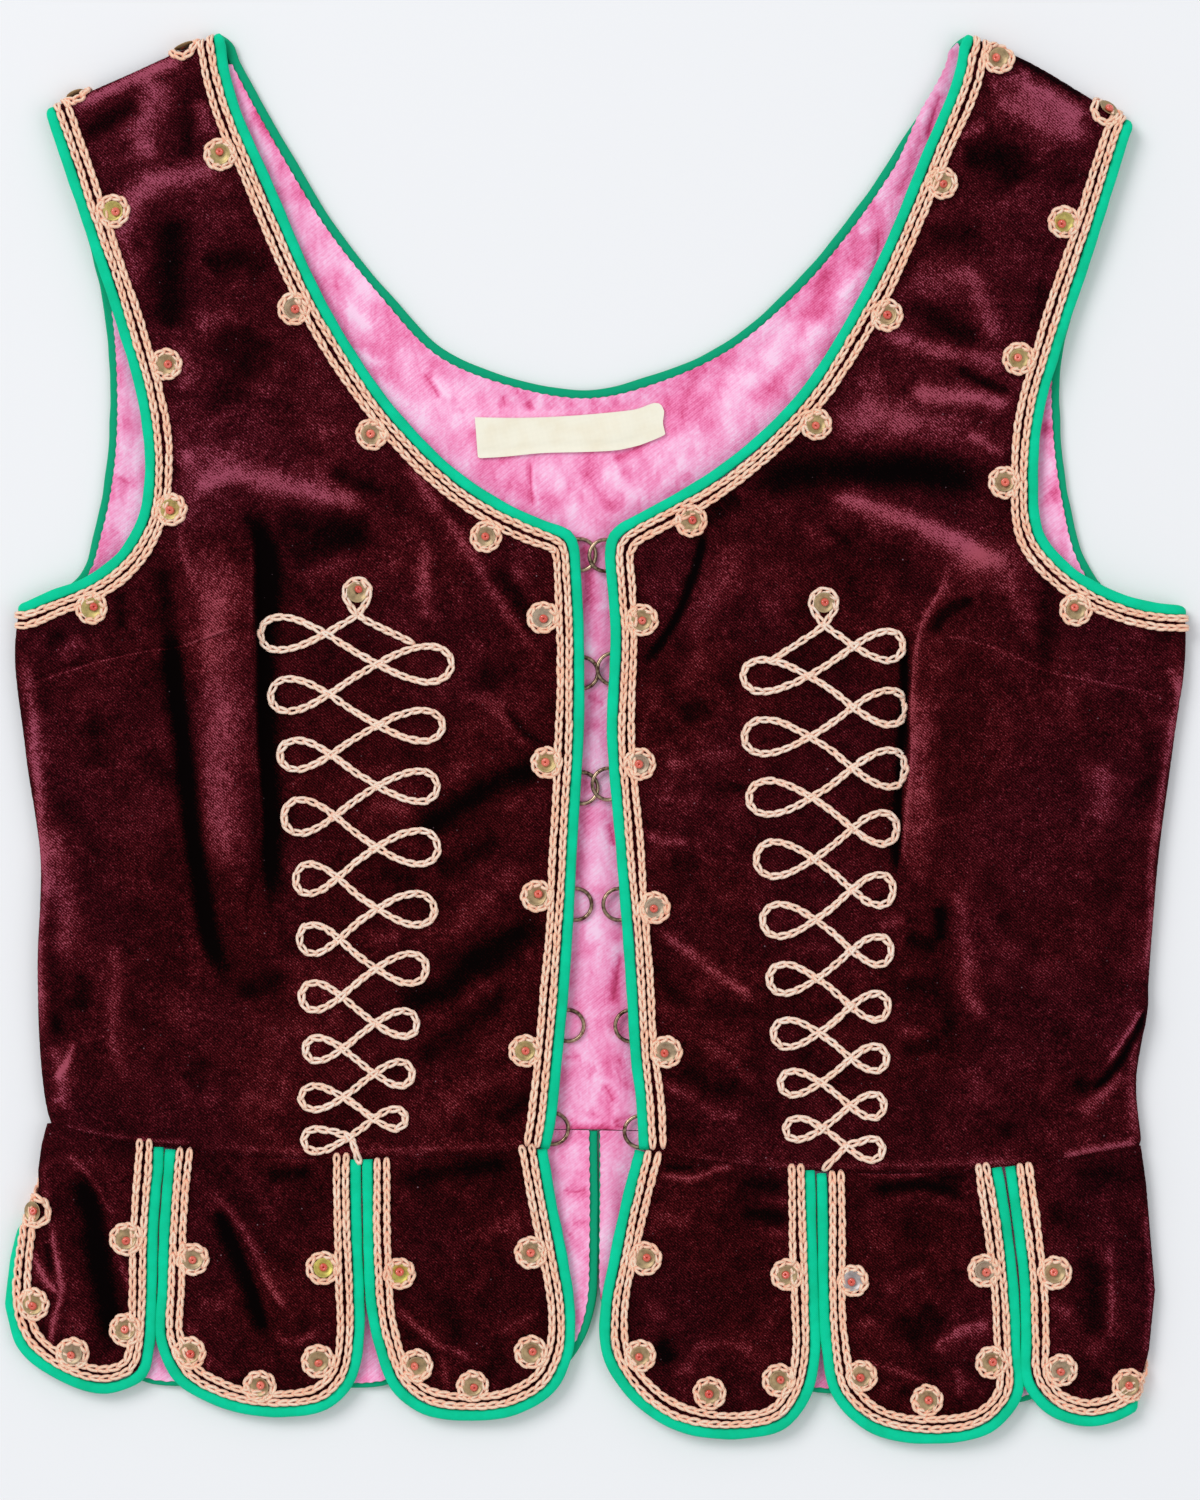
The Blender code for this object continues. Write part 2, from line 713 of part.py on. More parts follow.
def add_edge_bindings(sheets, lines, collection):
    left_inner, left_armhole = front_edges(sheets["left"])
    right_inner, right_armhole = front_edges(sheets["right"])
    neck = left_inner + face_down(lines["neck"]) + right_inner[::-1]
    add_binding("binding_neck", trimmed(neck), 1, collection)
    for side, armhole, outward in (
        ("left", left_armhole, -1),
        ("right", right_armhole, 1),
    ):
        path = armhole + face_down(lines[side]["armhole"][::-1])
        add_binding(f"binding_armhole_{side}", path, outward, collection, closed=True)


# Tabs ---------------------------------------------------------------------------


def tab_outline(tab):
    """A tab's finished edge from its top left round its tip to its top right."""
    sections = tab["sections"]
    left = [(x + TAB_CLEARANCE, y) for y, x, _ in sections]
    right = [(x - TAB_CLEARANCE, y) for y, _, x in sections]
    return smooth_line([*left, tab["tip"], *right[::-1]])


def turn_under(points, heights, fold):
    """Points of a tab whose part beyond the fold line turns under (x, y, z)."""
    lowest = BINDING_PROUD + SEAM_GAP
    radius = (heights - lowest) / 2
    fold = np.array(fold)[::-1]
    start = np.interp(points[:, 1], fold[:, 1], fold[:, 0]) - radius
    past = points[:, 0] - start
    angle = np.clip(past / radius, 0, math.pi)
    beyond = np.maximum(past - math.pi * radius, 0)
    x = np.where(past <= 0, points[:, 0], start + radius * np.sin(angle) - beyond)
    z = lowest + radius * (1 + np.cos(angle))
    return np.column_stack([x, points[:, 1], z])


def add_front_tab(name, tab, sheets, collection):
    """One front tab and its binding, hung from the lower edge of its front."""
    lower_edge = sheets[tab["front"]][0]
    seam = np.array([lower_edge[i][0][:2] for i in range(ROLL_ROWS, len(lower_edge))])

    def seam_below(x):
        return np.interp(x, *sorted_by_x(seam)) - SEAM_GAP

    velvet = beside(tab_outline(tab), BINDING_REACH)
    velvet = velvet[velvet[:, 1] < seam_below(velvet[:, 0])]
    columns = np.array(tab.get("columns", TAB_COLUMNS))
    rows = np.array(TAB_ROWS)
    tip = share_nearest(velvet, tab["tip"])
    left_end, right_start = TAB_SIDES * tip, 1 - TAB_SIDES * (1 - tip)
    top_x = velvet[0, 0] + columns * (velvet[-1, 0] - velvet[0, 0])
    top = np.column_stack([top_x, seam_below(top_x)])
    left = at_shares(velvet, left_end * rows)
    right = at_shares(velvet, 1 - (1 - right_start) * rows)
    left[0], right[0] = top[0], top[-1]
    bottom = at_shares(velvet, left_end + columns * (right_start - left_end))
    sheet_rows = []
    for points in coons_patch(top, bottom, left, right, columns, rows):
        heights = tab_height(tab, seam, points)
        if "turned_under" in tab:
            placed = turn_under(points, heights, tab["turned_under"])
        else:
            placed = np.column_stack([points, heights])
        sheet_rows.append((0, placed))
    sheet = add_sheet(name, sheet_rows, True, "velvet", VELVET_WALL, collection)
    last = len(columns) - 1
    path = [(*row[0], 0.0) for row in sheet]
    path += [(*sheet[-1][i], 0.0) for i in range(1, last)]
    path += [(*row[last], 0.0) for row in reversed(sheet)]
    add_binding(f"binding_{name}", trimmed(path), 1, collection)


def squared(value):
    """A cosine or sine that turns a circle into a squarer round."""
    return math.copysign(abs(value) ** BACK_TAB_SQUARENESS, value)


def back_tab_outline(left, right, lowest):
    """The finished edge of a back tab: straight sides and a rounded end."""
    seam_x, seam_y = sorted_by_x(np.array(BACK_WAIST))
    top = np.interp((left, right), seam_x, seam_y) - 2 * SEAM_GAP
    middle, half = (left + right) / 2, (right - left) / 2
    start = lowest + BACK_TAB_ROUNDING
    turns = np.linspace(math.pi, 2 * math.pi, 2 * BACK_TAB_POINTS - 1)
    end = [
        (middle + half * squared(math.cos(t)), start + BACK_TAB_ROUNDING * squared(math.sin(t)))
        for t in turns
    ]
    return np.array([(left, top[0]), *end, (right, top[1])])


def add_back_tab(name, left, right, lowest, collection):
    outline = back_tab_outline(left, right, lowest)
    velvet = beside(outline, BINDING_REACH)
    velvet[0, 1], velvet[-1, 1] = outline[0, 1], outline[-1, 1]
    add_flat(name, velvet, 0, VELVET_WALL, "velvet", collection)
    bottom = VELVET_WALL + SEAM_GAP
    add_flat(f"lining_{name}", velvet, bottom, LINING_WALL, "satin", collection)
    add_binding(f"binding_{name}", face_down(velvet), -1, collection)


# Rings and label ------------------------------------------------------------------


def add_rings(collection):
    above_lining = VELVET_WALL + LINING_WALL + 2 * SEAM_GAP
    for side, centres in RINGS.items():
        lap = RIGHT_LAP if side == "right" else 0
        for number, (x, y) in enumerate(centres, 1):
            z = above_lining + RING_WIRE_RADIUS + lap
            bpy.ops.mesh.primitive_torus_add(
                major_radius=RING_RADIUS * MM, minor_radius=RING_WIRE_RADIUS * MM,
                location=(x * MM, y * MM, z * MM), **RING_SEGMENTS,
            )
            ring = bpy.context.object
            ring.name = f"ring_{side}_{number}"
            ring.data.materials.append(material("brass"))
            ring.data.shade_smooth()
            for owner in list(ring.users_collection):
                owner.objects.unlink(ring)
            collection.objects.link(ring)


def add_label(collection):
    width, height, wall = LABEL_SIZE
    corners = [(-1, -1), (1, -1), (1, 1), (-1, 1)]
    outline = [(sx * width / 2, sy * height / 2) for sx, sy in corners]
    bottom = VELVET_WALL + LINING_WALL + 2 * SEAM_GAP
    label = add_flat("label", outline, bottom, wall, "label", collection)
    label.location.x, label.location.y = (v * MM for v in LABEL_PLACE)
    label.rotation_euler.z = math.radians(LABEL_TURN)


def main():
    clear_scene()
    collection = bpy.data.collections.new("folk_bodice")
    bpy.context.scene.collection.children.link(collection)
    sheets = {side: add_front(side, collection) for side in ("left", "right")}
    lines = add_back(sheets, collection)
    add_edge_bindings(sheets, lines, collection)
    for name, tab in TABS.items():
        add_front_tab(name, tab, sheets, collection)
    for name, sizes in BACK_TABS.items():
        add_back_tab(name, *sizes, collection)
    add_rings(collection)
    add_label(collection)


main()
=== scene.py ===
"""Folk bodice of burgundy velvet, dressed and lit for the studio.

The bodice lies flat with its front up. Each piece of cloth is cut as an outline
in its own flat spread, and a surface carries that spread to its place: over the
folds, round the sides and over the shoulders. Bindings, chain stitches, sequins
and beads are sewn along lines of the same spread, so they follow the cloth.

Sizes are in millimetres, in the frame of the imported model; the scene is in
metres. +X points to the garment's left as worn, +Y to the shoulders, +Z up.
"""

import logging
import math
from collections.abc import Sequence
from dataclasses import dataclass, field
from enum import Enum
from functools import cached_property
from typing import Any

import bpy
import numpy as np
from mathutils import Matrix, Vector
from mathutils.geometry import delaunay_2d_cdt


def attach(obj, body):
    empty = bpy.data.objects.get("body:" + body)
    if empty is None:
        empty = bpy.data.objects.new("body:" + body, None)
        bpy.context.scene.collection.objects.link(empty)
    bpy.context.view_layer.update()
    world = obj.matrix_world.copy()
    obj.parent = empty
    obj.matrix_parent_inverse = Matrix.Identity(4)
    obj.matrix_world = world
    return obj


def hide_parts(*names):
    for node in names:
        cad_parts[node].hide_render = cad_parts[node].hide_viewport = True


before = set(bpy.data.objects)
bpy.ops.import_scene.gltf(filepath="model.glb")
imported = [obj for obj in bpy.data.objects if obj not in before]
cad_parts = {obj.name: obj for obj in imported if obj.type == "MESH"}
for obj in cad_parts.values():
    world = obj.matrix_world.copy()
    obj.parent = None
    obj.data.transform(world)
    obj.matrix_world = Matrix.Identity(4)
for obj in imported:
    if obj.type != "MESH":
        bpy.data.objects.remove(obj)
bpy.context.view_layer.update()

log = logging.getLogger("folk_bodice")

MM = 0.001
BODY = "root"
FLOOR_GAP = 0.02  # how far the lowest points stay above the floor
FOLD_REACH = 2.6  # spreads away from a fold beyond which it isn't felt
ROW_PITCH = 0.866  # rows of an even triangle grid, in sides of a triangle
LEAST_TURN = 0.6  # least radius at which cloth turns under

Points = np.ndarray
Knots = Sequence[tuple[float, float]]


class Side(Enum):
    """The two halves of the bodice, by the way that each points along X."""

    LEFT = -1
    RIGHT = 1

    @property
    def word(self) -> str:
        """The side's name as it stands in the names of pieces."""
        return self.name.lower()


class Facing(Enum):
    """Whether the outer face of a flat piece of cloth looks up or down."""

    UP = 1
    DOWN = -1


# Lines --------------------------------------------------------------------------


def lengths_along(line: Points) -> Points:
    """Length along a line up to each of its points.

    Args:
        line: points, one a row.

    Returns:
        One length a point, from 0.
    """
    steps = np.linalg.norm(np.diff(line, axis=0), axis=1)
    return np.concatenate([[0.0], np.cumsum(steps)])


def smooth_line(knots: Knots | Points, spacing: float = 2.0) -> Points:
    """A smooth line through knots.

    Args:
        knots: points that the line goes through.
        spacing: about how far apart the line's points are.

    Returns:
        The line's points.
    """
    knots = np.array(knots, float)
    chords = np.linalg.norm(np.diff(knots, axis=0), axis=1)
    stations = np.concatenate([[0], np.cumsum(chords)])
    slopes = np.gradient(knots, stations, axis=0)
    points = [knots[:1]]
    for i, chord in enumerate(chords):
        steps = max(2, math.ceil(chord / spacing))
        t = (np.arange(1, steps + 1) / steps)[:, None]
        points.append(
            (2 * t**3 - 3 * t**2 + 1) * knots[i]
            + (t**3 - 2 * t**2 + t) * slopes[i] * chord
            + (3 * t**2 - 2 * t**3) * knots[i + 1]
            + (t**3 - t**2) * slopes[i + 1] * chord
        )
    return np.vstack(points)


def at_lengths(line: Points, wanted: Points) -> Points:
    """The points at these lengths along a line."""
    along = lengths_along(line)
    return np.column_stack([np.interp(wanted, along, axis) for axis in line.T])


def evenly(line: Points, spacing: float) -> Points:
    """The line again, with points evenly spaced.

    Args:
        line: points of the line.
        spacing: about how far apart the new points are.

    Returns:
        The new points, with the line's two ends among them.
    """
    length = lengths_along(line)[-1]
    steps = max(1, round(length / spacing))
    return at_lengths(line, np.linspace(0, length, steps + 1))


def left_of(line: Points) -> Points:
    """Unit vectors to the left-hand side of a line's run."""
    run = np.gradient(line, axis=0)
    run /= np.linalg.norm(run, axis=1)[:, None]
    return np.column_stack([-run[:, 1], run[:, 0]])


def beside(line: Points, distance: float) -> Points:
    """The line moved to the left-hand side of its run."""
    return line + distance * left_of(line)


def smooth_step(t: Points) -> Points:
    """From 0 to 1 with level ends."""
    t = np.clip(t, 0, 1)
    return t * t * (3 - 2 * t)


def by_x(line: Points) -> tuple[Points, Points]:
    """A line's x and y values in the order of x."""
    order = np.argsort(line[:, 0])
    return line[order, 0], line[order, 1]


def by_y(line: Points) -> tuple[Points, Points]:
    """A line's y and x values in the order of y."""
    order = np.argsort(line[:, 1])
    return line[order, 1], line[order, 0]


def nearest_on(points: Points, line: Points) -> tuple[Points, Points, Points]:
    """Where a line comes nearest to each point.

    Args:
        points: the points, one a row.
        line: the line's points.

    Returns:
        The distance, the side as a number above 0 on the left hand, and the
        share of the line's length, for each point.
    """
    along = lengths_along(line)
    best = np.full(len(points), np.inf)
    side = np.zeros(len(points))
    share = np.zeros(len(points))
    for i, (a, b) in enumerate(zip(line[:-1], line[1:])):
        run = b - a
        t = np.clip((points - a) @ run / max(run @ run, 1e-12), 0, 1)
        away = points - (a + t[:, None] * run)
        distance = np.linalg.norm(away, axis=1)
        nearer = distance < best
        best = np.where(nearer, distance, best)
        side = np.where(nearer, run[0] * away[:, 1] - run[1] * away[:, 0], side)
        share = np.where(nearer, (along[i] + t * (along[i + 1] - along[i])) / along[-1], share)
    return best, side, share


def inside(points: Points, outline: Points) -> Points:
    """Whether each point lies inside a closed outline."""
    x, y = points[:, 0], points[:, 1]
    found = np.zeros(len(points), bool)
    for (x0, y0), (x1, y1) in zip(outline, np.roll(outline, -1, axis=0)):
        if y0 == y1:
            continue
        crosses = (y0 > y) != (y1 > y)
        found ^= crosses & (x < (x1 - x0) * (y - y0) / (y1 - y0) + x0)
    return found


def area_of(outline: Points) -> float:
    """Area inside a closed outline."""
    x, y = outline[:, 0], outline[:, 1]
    return abs(float(x @ np.roll(y, -1) - y @ np.roll(x, -1))) / 2


# Relief -------------------------------------------------------------------------


@dataclass(frozen=True)
class Fold:
    """A ridge or a hollow along a line in the cloth.

    Attributes:
        line: the line that it follows.
        rise: height of a ridge, below 0 for a hollow.
        left: how wide it spreads on the left hand of its run.
        right: how wide it spreads on the right hand.
        taper: share of its length over which it fades at each end.
        smooth: whether the line is smoothed before it is used.
    """

    line: Knots
    rise: float
    left: float
    right: float
    taper: float = 0.22
    smooth: bool = False

    @cached_property
    def path(self) -> Points:
        """The fold's line as points."""
        return smooth_line(self.line, 6.0) if self.smooth else np.array(self.line, float)

    def height(self, points: Points) -> Points:
        """How far the fold lifts the cloth at each point."""
        total = np.zeros(len(points))
        reach = FOLD_REACH * max(self.left, self.right)
        low, high = self.path.min(axis=0) - reach, self.path.max(axis=0) + reach
        near = ((points > low) & (points < high)).all(axis=1)
        if near.any():
            distance, side, share = nearest_on(points[near], self.path)
            spread = np.where(side > 0, self.left, self.right)
            ends = smooth_step(share / self.taper) * smooth_step((1 - share) / self.taper)
            total[near] = self.rise * np.exp(-((distance / spread) ** 2)) * ends
        return total

    def refinement(self) -> list[Points]:
        """Lines along which a mesh needs more points to show the fold."""
        narrow = min(self.left, self.right)
        if narrow > 1.7:
            return []
        path = evenly(self.path, 1.3)
        step = max(narrow * 0.7, 0.4)
        return [beside(path, k * step) for k in (-1, 0, 1)]


def ridges(
    *rows: Sequence[float], taper: float = 0.22, curved: bool = False
) -> tuple[Fold, ...]:
    """Folds from a table.

    Args:
        rows: for each fold its rise, its spread on the left and on the right hand of
            its run, or one spread for both, and the x and y of its points in turn.
        taper: share of its length over which each fades at its ends.
        curved: whether lines of three points or more are smoothed.

    Returns:
        The folds.
    """
    made = []
    for row in rows:
        spreads = row[1:3] if len(row) % 2 else (row[1], row[1])
        points = row[3:] if len(row) % 2 else row[2:]
        line = tuple(zip(points[::2], points[1::2]))
        made.append(Fold(line, row[0], *spreads, taper, curved and len(line) > 2))
    return tuple(made)


def painted_light_strokes(*rows: Sequence[float]) -> tuple[Fold, ...]:
    """Lines of painted highlight and painted shade: rows as in `ridges`, with a lightness for the rise."""
    return ridges(*rows, taper=0.15, curved=True)


@dataclass(frozen=True)
class Ripple:
    """Gentle uneven waves all over a piece of cloth."""

    seed: int
    length: float
    height_each: float
    waves: int = 7

    def height(self, points: Points) -> Points:
        """How far the waves lift the cloth at each point."""
        rng = np.random.default_rng(self.seed)
        total = np.zeros(len(points))
        for _ in range(self.waves):
            angle, phase = rng.uniform(0, 2 * math.pi, 2)
            length = self.length * rng.uniform(0.7, 1.6)
            along = points @ np.array([math.cos(angle), math.sin(angle)])
            total += self.height_each * np.sin(2 * math.pi * along / length + phase)
        return total


@dataclass(frozen=True)
class Relief:
    """All that lifts or lowers one piece of cloth."""

    folds: tuple[Fold, ...] = ()
    ripples: tuple[Ripple, ...] = ()

    def height(self, points: Points) -> Points:
        """How far the cloth is lifted at each point."""
        total = np.zeros(len(points))
        for part in (*self.folds, *self.ripples):
            total += part.height(points)
        return total

    def refinement(self) -> list[Points]:
        """Lines along which a mesh needs more points."""
        return [line for fold in self.folds for line in fold.refinement()]


# Surfaces -----------------------------------------------------------------------


class Surface:
    """A map from the flat spread of a piece of cloth to its outer face in space."""

    facing = Facing.UP
    step = 0.35

    def place(self, plan: Points) -> Points:
        """The places in space of points of the spread."""
        raise NotImplementedError

    def along(self, plan: Points, directions: Points) -> Points:
        """Unit vectors in space for directions in the spread.

        Args:
            plan: points of the spread.
            directions: a direction in the spread at each of them.

        Returns:
            One unit vector a point.
        """
        ahead = self.place(plan + self.step * directions)
        behind = self.place(plan - self.step * directions)
        run = ahead - behind
        return run / np.maximum(np.linalg.norm(run, axis=1), 1e-9)[:, None]

    def normals(self, plan: Points) -> Points:
        """Unit vectors out of the cloth's outer face."""
        count = len(plan)
        east = self.along(plan, np.tile([1.0, 0.0], (count, 1)))
        north = self.along(plan, np.tile([0.0, 1.0], (count, 1)))
        normal = self.facing.value * np.cross(east, north)
        return normal / np.maximum(np.linalg.norm(normal, axis=1), 1e-9)[:, None]

    def nap(self, plan: Points) -> Points:
        """Painted light at each point: above 0 a painted highlight on ridges, below 0 painted shade in
        hollows.
        """
        return np.zeros(len(plan))


@dataclass
class FlatSurface(Surface):
    """A piece that lies level, with its own relief.

    Attributes:
        level: height of its outer face.
        relief: what lifts or lowers it.
        facing: the way its outer face looks.
        raised: what its edge lies on, as a line and the height to add there.
        painted_light_marks: creases painted lighter as painted highlight or darker as painted shade, which
            also lift or lower the cloth a little.
        crease_rise: height of a crease of lightness 1.
        fade: how far inside the line the added height is gone.
    """

    level: float
    relief: Relief = Relief()
    facing: Facing = Facing.UP
    raised: tuple[Points, float] | None = None
    painted_light_marks: Relief = Relief()
    crease_rise: float = 0.3
    fade: float = 5.0

    def place(self, plan: Points) -> Points:
        """The places in space of points of the spread."""
        height = self.level + self.relief.height(plan) + self.crease_rise * self.nap(plan)
        if self.raised is not None:
            line, rise = self.raised
            distance, _, _ = nearest_on(plan, line)
            height = height + rise * smooth_step(1 - distance / self.fade)
        return np.column_stack([plan, height])

    def nap(self, plan: Points) -> Points:
        """Painted highlight and painted shade of the creases at each point."""
        return self.painted_light_marks.height(plan)


def rolled(
    foot: Points, outward: Points, past: Points, height: Points, lowest: float
) -> Points:
    """Points of cloth that turns under round a crease.

    Args:
        foot: plan points on the crease.
        outward: unit vectors out over the crease.
        past: how far beyond the crease each point lies in the spread.
        height: height of the outer face at the crease.
        lowest: height of the outer face once turned under.

    Returns:
        The places in space.
    """
    radius = np.maximum((height - lowest) / 2, LEAST_TURN)
    angle = np.clip(past / radius, 0, math.pi)
    beyond = np.maximum(past - math.pi * radius, 0)
    reach = radius * np.sin(angle) - beyond
    flat = foot + outward * reach[:, None]
    return np.column_stack([flat, lowest + radius * (1 + np.cos(angle))])


# Meshes -------------------------------------------------------------------------


def tube_faces(count: int, rings: int, sides: int, closed: bool = True) -> Points:
    """Four-cornered faces over some tubes.

    Args:
        count: how many tubes there are.
        rings: rings of points along each.
        sides: points round each ring.
        closed: whether the last ring joins the first.

    Returns:
        The faces, one a row.
    """
    base = np.arange(count)[:, None, None] * rings * sides
    i = np.arange(rings if closed else rings - 1)[None, :, None]
    j = np.arange(sides)[None, None]
    here, there = base + i * sides, base + (i + 1) % rings * sides
    beyond = (j + 1) % sides
    corners = [here + j, here + beyond, there + beyond, there + j]
    return np.stack(corners, axis=-1).reshape(-1, 4)


def make_piece(
    name: str,
    verts: Points,
    faces: Sequence[Points],
    finish: bpy.types.Material,
) -> bpy.types.Object:
    """An object from arrays, that rides on the body and has its finish.

    What would sink into the floor lies pressed flat on it.

    Args:
        name: the piece's name.
        verts: places in millimetres.
        faces: arrays of faces, each with its own number of corners.
        finish: the material.

    Returns:
        The object, in the scene.
    """
    verts = np.array(verts, float)
    verts[:, 2] = np.maximum(verts[:, 2], FLOOR_GAP)
    corners = np.concatenate([part.ravel() for part in faces]).astype(np.int32)
    sizes = np.concatenate([np.full(len(part), part.shape[1]) for part in faces])
    starts = np.concatenate([[0], np.cumsum(sizes)[:-1]])
    mesh = bpy.data.meshes.new(name)
    mesh.vertices.add(len(verts))
    mesh.vertices.foreach_set("co", (verts * MM).astype(np.float32).ravel())
    mesh.loops.add(len(corners))
    mesh.loops.foreach_set("vertex_index", corners)
    mesh.polygons.add(len(sizes))
    mesh.polygons.foreach_set("loop_start", starts.astype(np.int32))
    mesh.polygons.foreach_set("use_smooth", np.ones(len(sizes), bool))
    mesh.update(calc_edges=True)
    mesh.validate()
    mesh.materials.append(finish)
    piece = bpy.data.objects.new(name, mesh)
    bpy.context.scene.collection.objects.link(piece)
    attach(piece, BODY)
    log.info("%s: %d faces", name, len(mesh.polygons))
    return piece


def paint(piece: bpy.types.Object, name: str, values: Points) -> None:
    """Give a piece a number at each of its points, for its finish to read."""
    layer = piece.data.attributes.new(name, "FLOAT", "POINT")
    layer.data.foreach_set("value", np.asarray(values, np.float32))


@dataclass
class Cloth:
    """One piece of cloth, meshed over its flat spread.

    Attributes:
        name: the piece's name.
        surface: where its outer face lies.
        outline: its cut edge in the spread.
        wall: thickness.
        finish: the material.
        slot: name of a material slot; not used.
        spacing: distance between the mesh's points.
        creases: lines that need more points.
        edge_step: distance between the points of its edge.
    """

    name: str
    surface: Surface
    outline: Points
    wall: float
    finish: bpy.types.Material
    slot: str
    spacing: float = 2.0
    creases: Sequence[Points] = ()
    edge_step: float | None = None

    def spread(self) -> tuple[Points, Points]:
        """The spread's points and its triangles."""
        closed = np.vstack([self.outline, self.outline[:1]])
        edge = evenly(closed, self.edge_step or self.spacing * 0.85)[:-1]
        low, high = edge.min(axis=0), edge.max(axis=0)
        rows = np.arange(low[1], high[1], self.spacing * ROW_PITCH)
        grid = np.vstack(
            [
                np.column_stack([xs, np.full(len(xs), y)])
                for i, y in enumerate(rows)
                for xs in [np.arange(low[0] + (i % 2) * self.spacing / 2, high[0], self.spacing)]
            ]
        )
        rng = np.random.default_rng(7)
        grid += rng.uniform(-0.12, 0.12, grid.shape) * self.spacing
        for line in self.creases:
            grid = grid[nearest_on(grid, line)[0] > 0.42 * self.spacing]
        grid = np.vstack([grid, *self.creases])
        grid = grid[inside(grid, edge)]
        ring = np.vstack([edge, edge[:1]])
        grid = grid[nearest_on(grid, ring)[0] > 0.45 * self.spacing]
        points = np.vstack([edge, grid])
        count = len(edge)
        loop = [(i, (i + 1) % count) for i in range(count)]
        found = delaunay_2d_cdt([Vector(p) for p in points], loop, [], 1, 1e-4)
        plan = np.array([tuple(v) for v in found[0]])
        triangles = np.array(found[2])
        a, b, c = (plan[triangles[:, k]] for k in range(3))
        turn = (b - a)[:, 0] * (c - a)[:, 1] - (b - a)[:, 1] * (c - a)[:, 0]
        triangles[turn < 0] = triangles[turn < 0][:, ::-1]
        return plan, triangles[np.abs(turn) > 1e-6]

    def build(self) -> bpy.types.Object:
        """Mesh the cloth with its two faces and its cut edge."""
        plan, triangles = self.spread()
        outer = self.surface.place(plan)
        normals = self.surface.normals(plan)
        inner = outer - self.wall * normals
        count = len(plan)
        if self.surface.facing is Facing.DOWN:
            triangles = triangles[:, ::-1]
        edges = np.vstack([triangles[:, [0, 1]], triangles[:, [1, 2]], triangles[:, [2, 0]]])
        keys = np.sort(edges, axis=1) @ np.array([count, 1])
        _, first, uses = np.unique(keys, return_index=True, return_counts=True)
        rim = edges[first[uses == 1]]
        walls = np.column_stack([rim[:, 1], rim[:, 0], rim[:, 0] + count, rim[:, 1] + count])
        piece = make_piece(
            self.name,
            np.vstack([outer, inner]),
            [triangles, triangles[:, ::-1] + count, walls],
            self.finish,
        )
        piece.data.set_sharp_from_angle(angle=math.radians(50))
        # painted highlight on ridges and painted shade in hollows, for the finish to read
        nap = self.surface.nap(plan)
        paint(piece, "nap", np.concatenate([nap, nap]))
        return piece

    def lay(
        self,
        piece: bpy.types.Object,
        nodes: Sequence[str],
        rests_on: Sequence[str | bpy.types.Object],
        trim: Sequence[bpy.types.Object] = (),
    ) -> None:
        """Args:
            piece: the built cloth; not used.
            nodes: the model's nodes that it replaces.
            rests_on: what carries it; not used.
            trim: the pieces sewn to it; not used.
        """
        width, length = np.ptp(self.outline, axis=0) * MM
        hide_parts(*nodes)
        area_of(self.outline) * MM * MM
        log.info(
            "%s: cut %.0f x %.0f mm, %.1f cm2",
            self.name, width / MM, length / MM, area_of(self.outline) / 100,
        )


# Bindings -----------------------------------------------------------------------


@dataclass
class Track:
    """The edge that a binding follows.

    Attributes:
        points: places of the velvet's edge on its outer face.
        normals: unit vectors out of the outer face.
        outs: unit vectors away from the velvet.
        sinks: how far the binding is lowered along the normal.
    """

    points: Points
    normals: Points
    outs: Points
    sinks: Points

    @classmethod
    def on(cls, surface: Surface, line: Points, hand: int, sinks: Points | None = None) -> "Track":
        """A track on a surface.

        Args:
            surface: the cloth's surface.
            line: the velvet's edge in the spread.
            hand: +1 where the free side is on the left hand of its run, else -1.
            sinks: how far the binding is lowered at each point.

        Returns:
            The track.
        """
        ways = hand * left_of(line)
        lowered = np.zeros(len(line)) if sinks is None else sinks
        return cls(surface.place(line), surface.normals(line), surface.along(line, ways), lowered)

    def reversed(self) -> "Track":
        """The same track, run the other way."""
        parts = (self.points, self.normals, self.outs, self.sinks)
        return Track(*(part[::-1] for part in parts))

    def drawn_in(self, shares: Points) -> "Track":
        """The same track with its reach cut by a share at each point."""
        return Track(self.points, self.normals, self.outs * (1 - shares[:, None]), self.sinks)

    def joined(self, *others: "Track") -> "Track":
        """This track with others after it."""
        tracks = (self, *others)
        return Track(
            np.vstack([t.points for t in tracks]),
            np.vstack([t.normals for t in tracks]),
            np.vstack([t.outs for t in tracks]),
            np.concatenate([t.sinks for t in tracks]),
        )


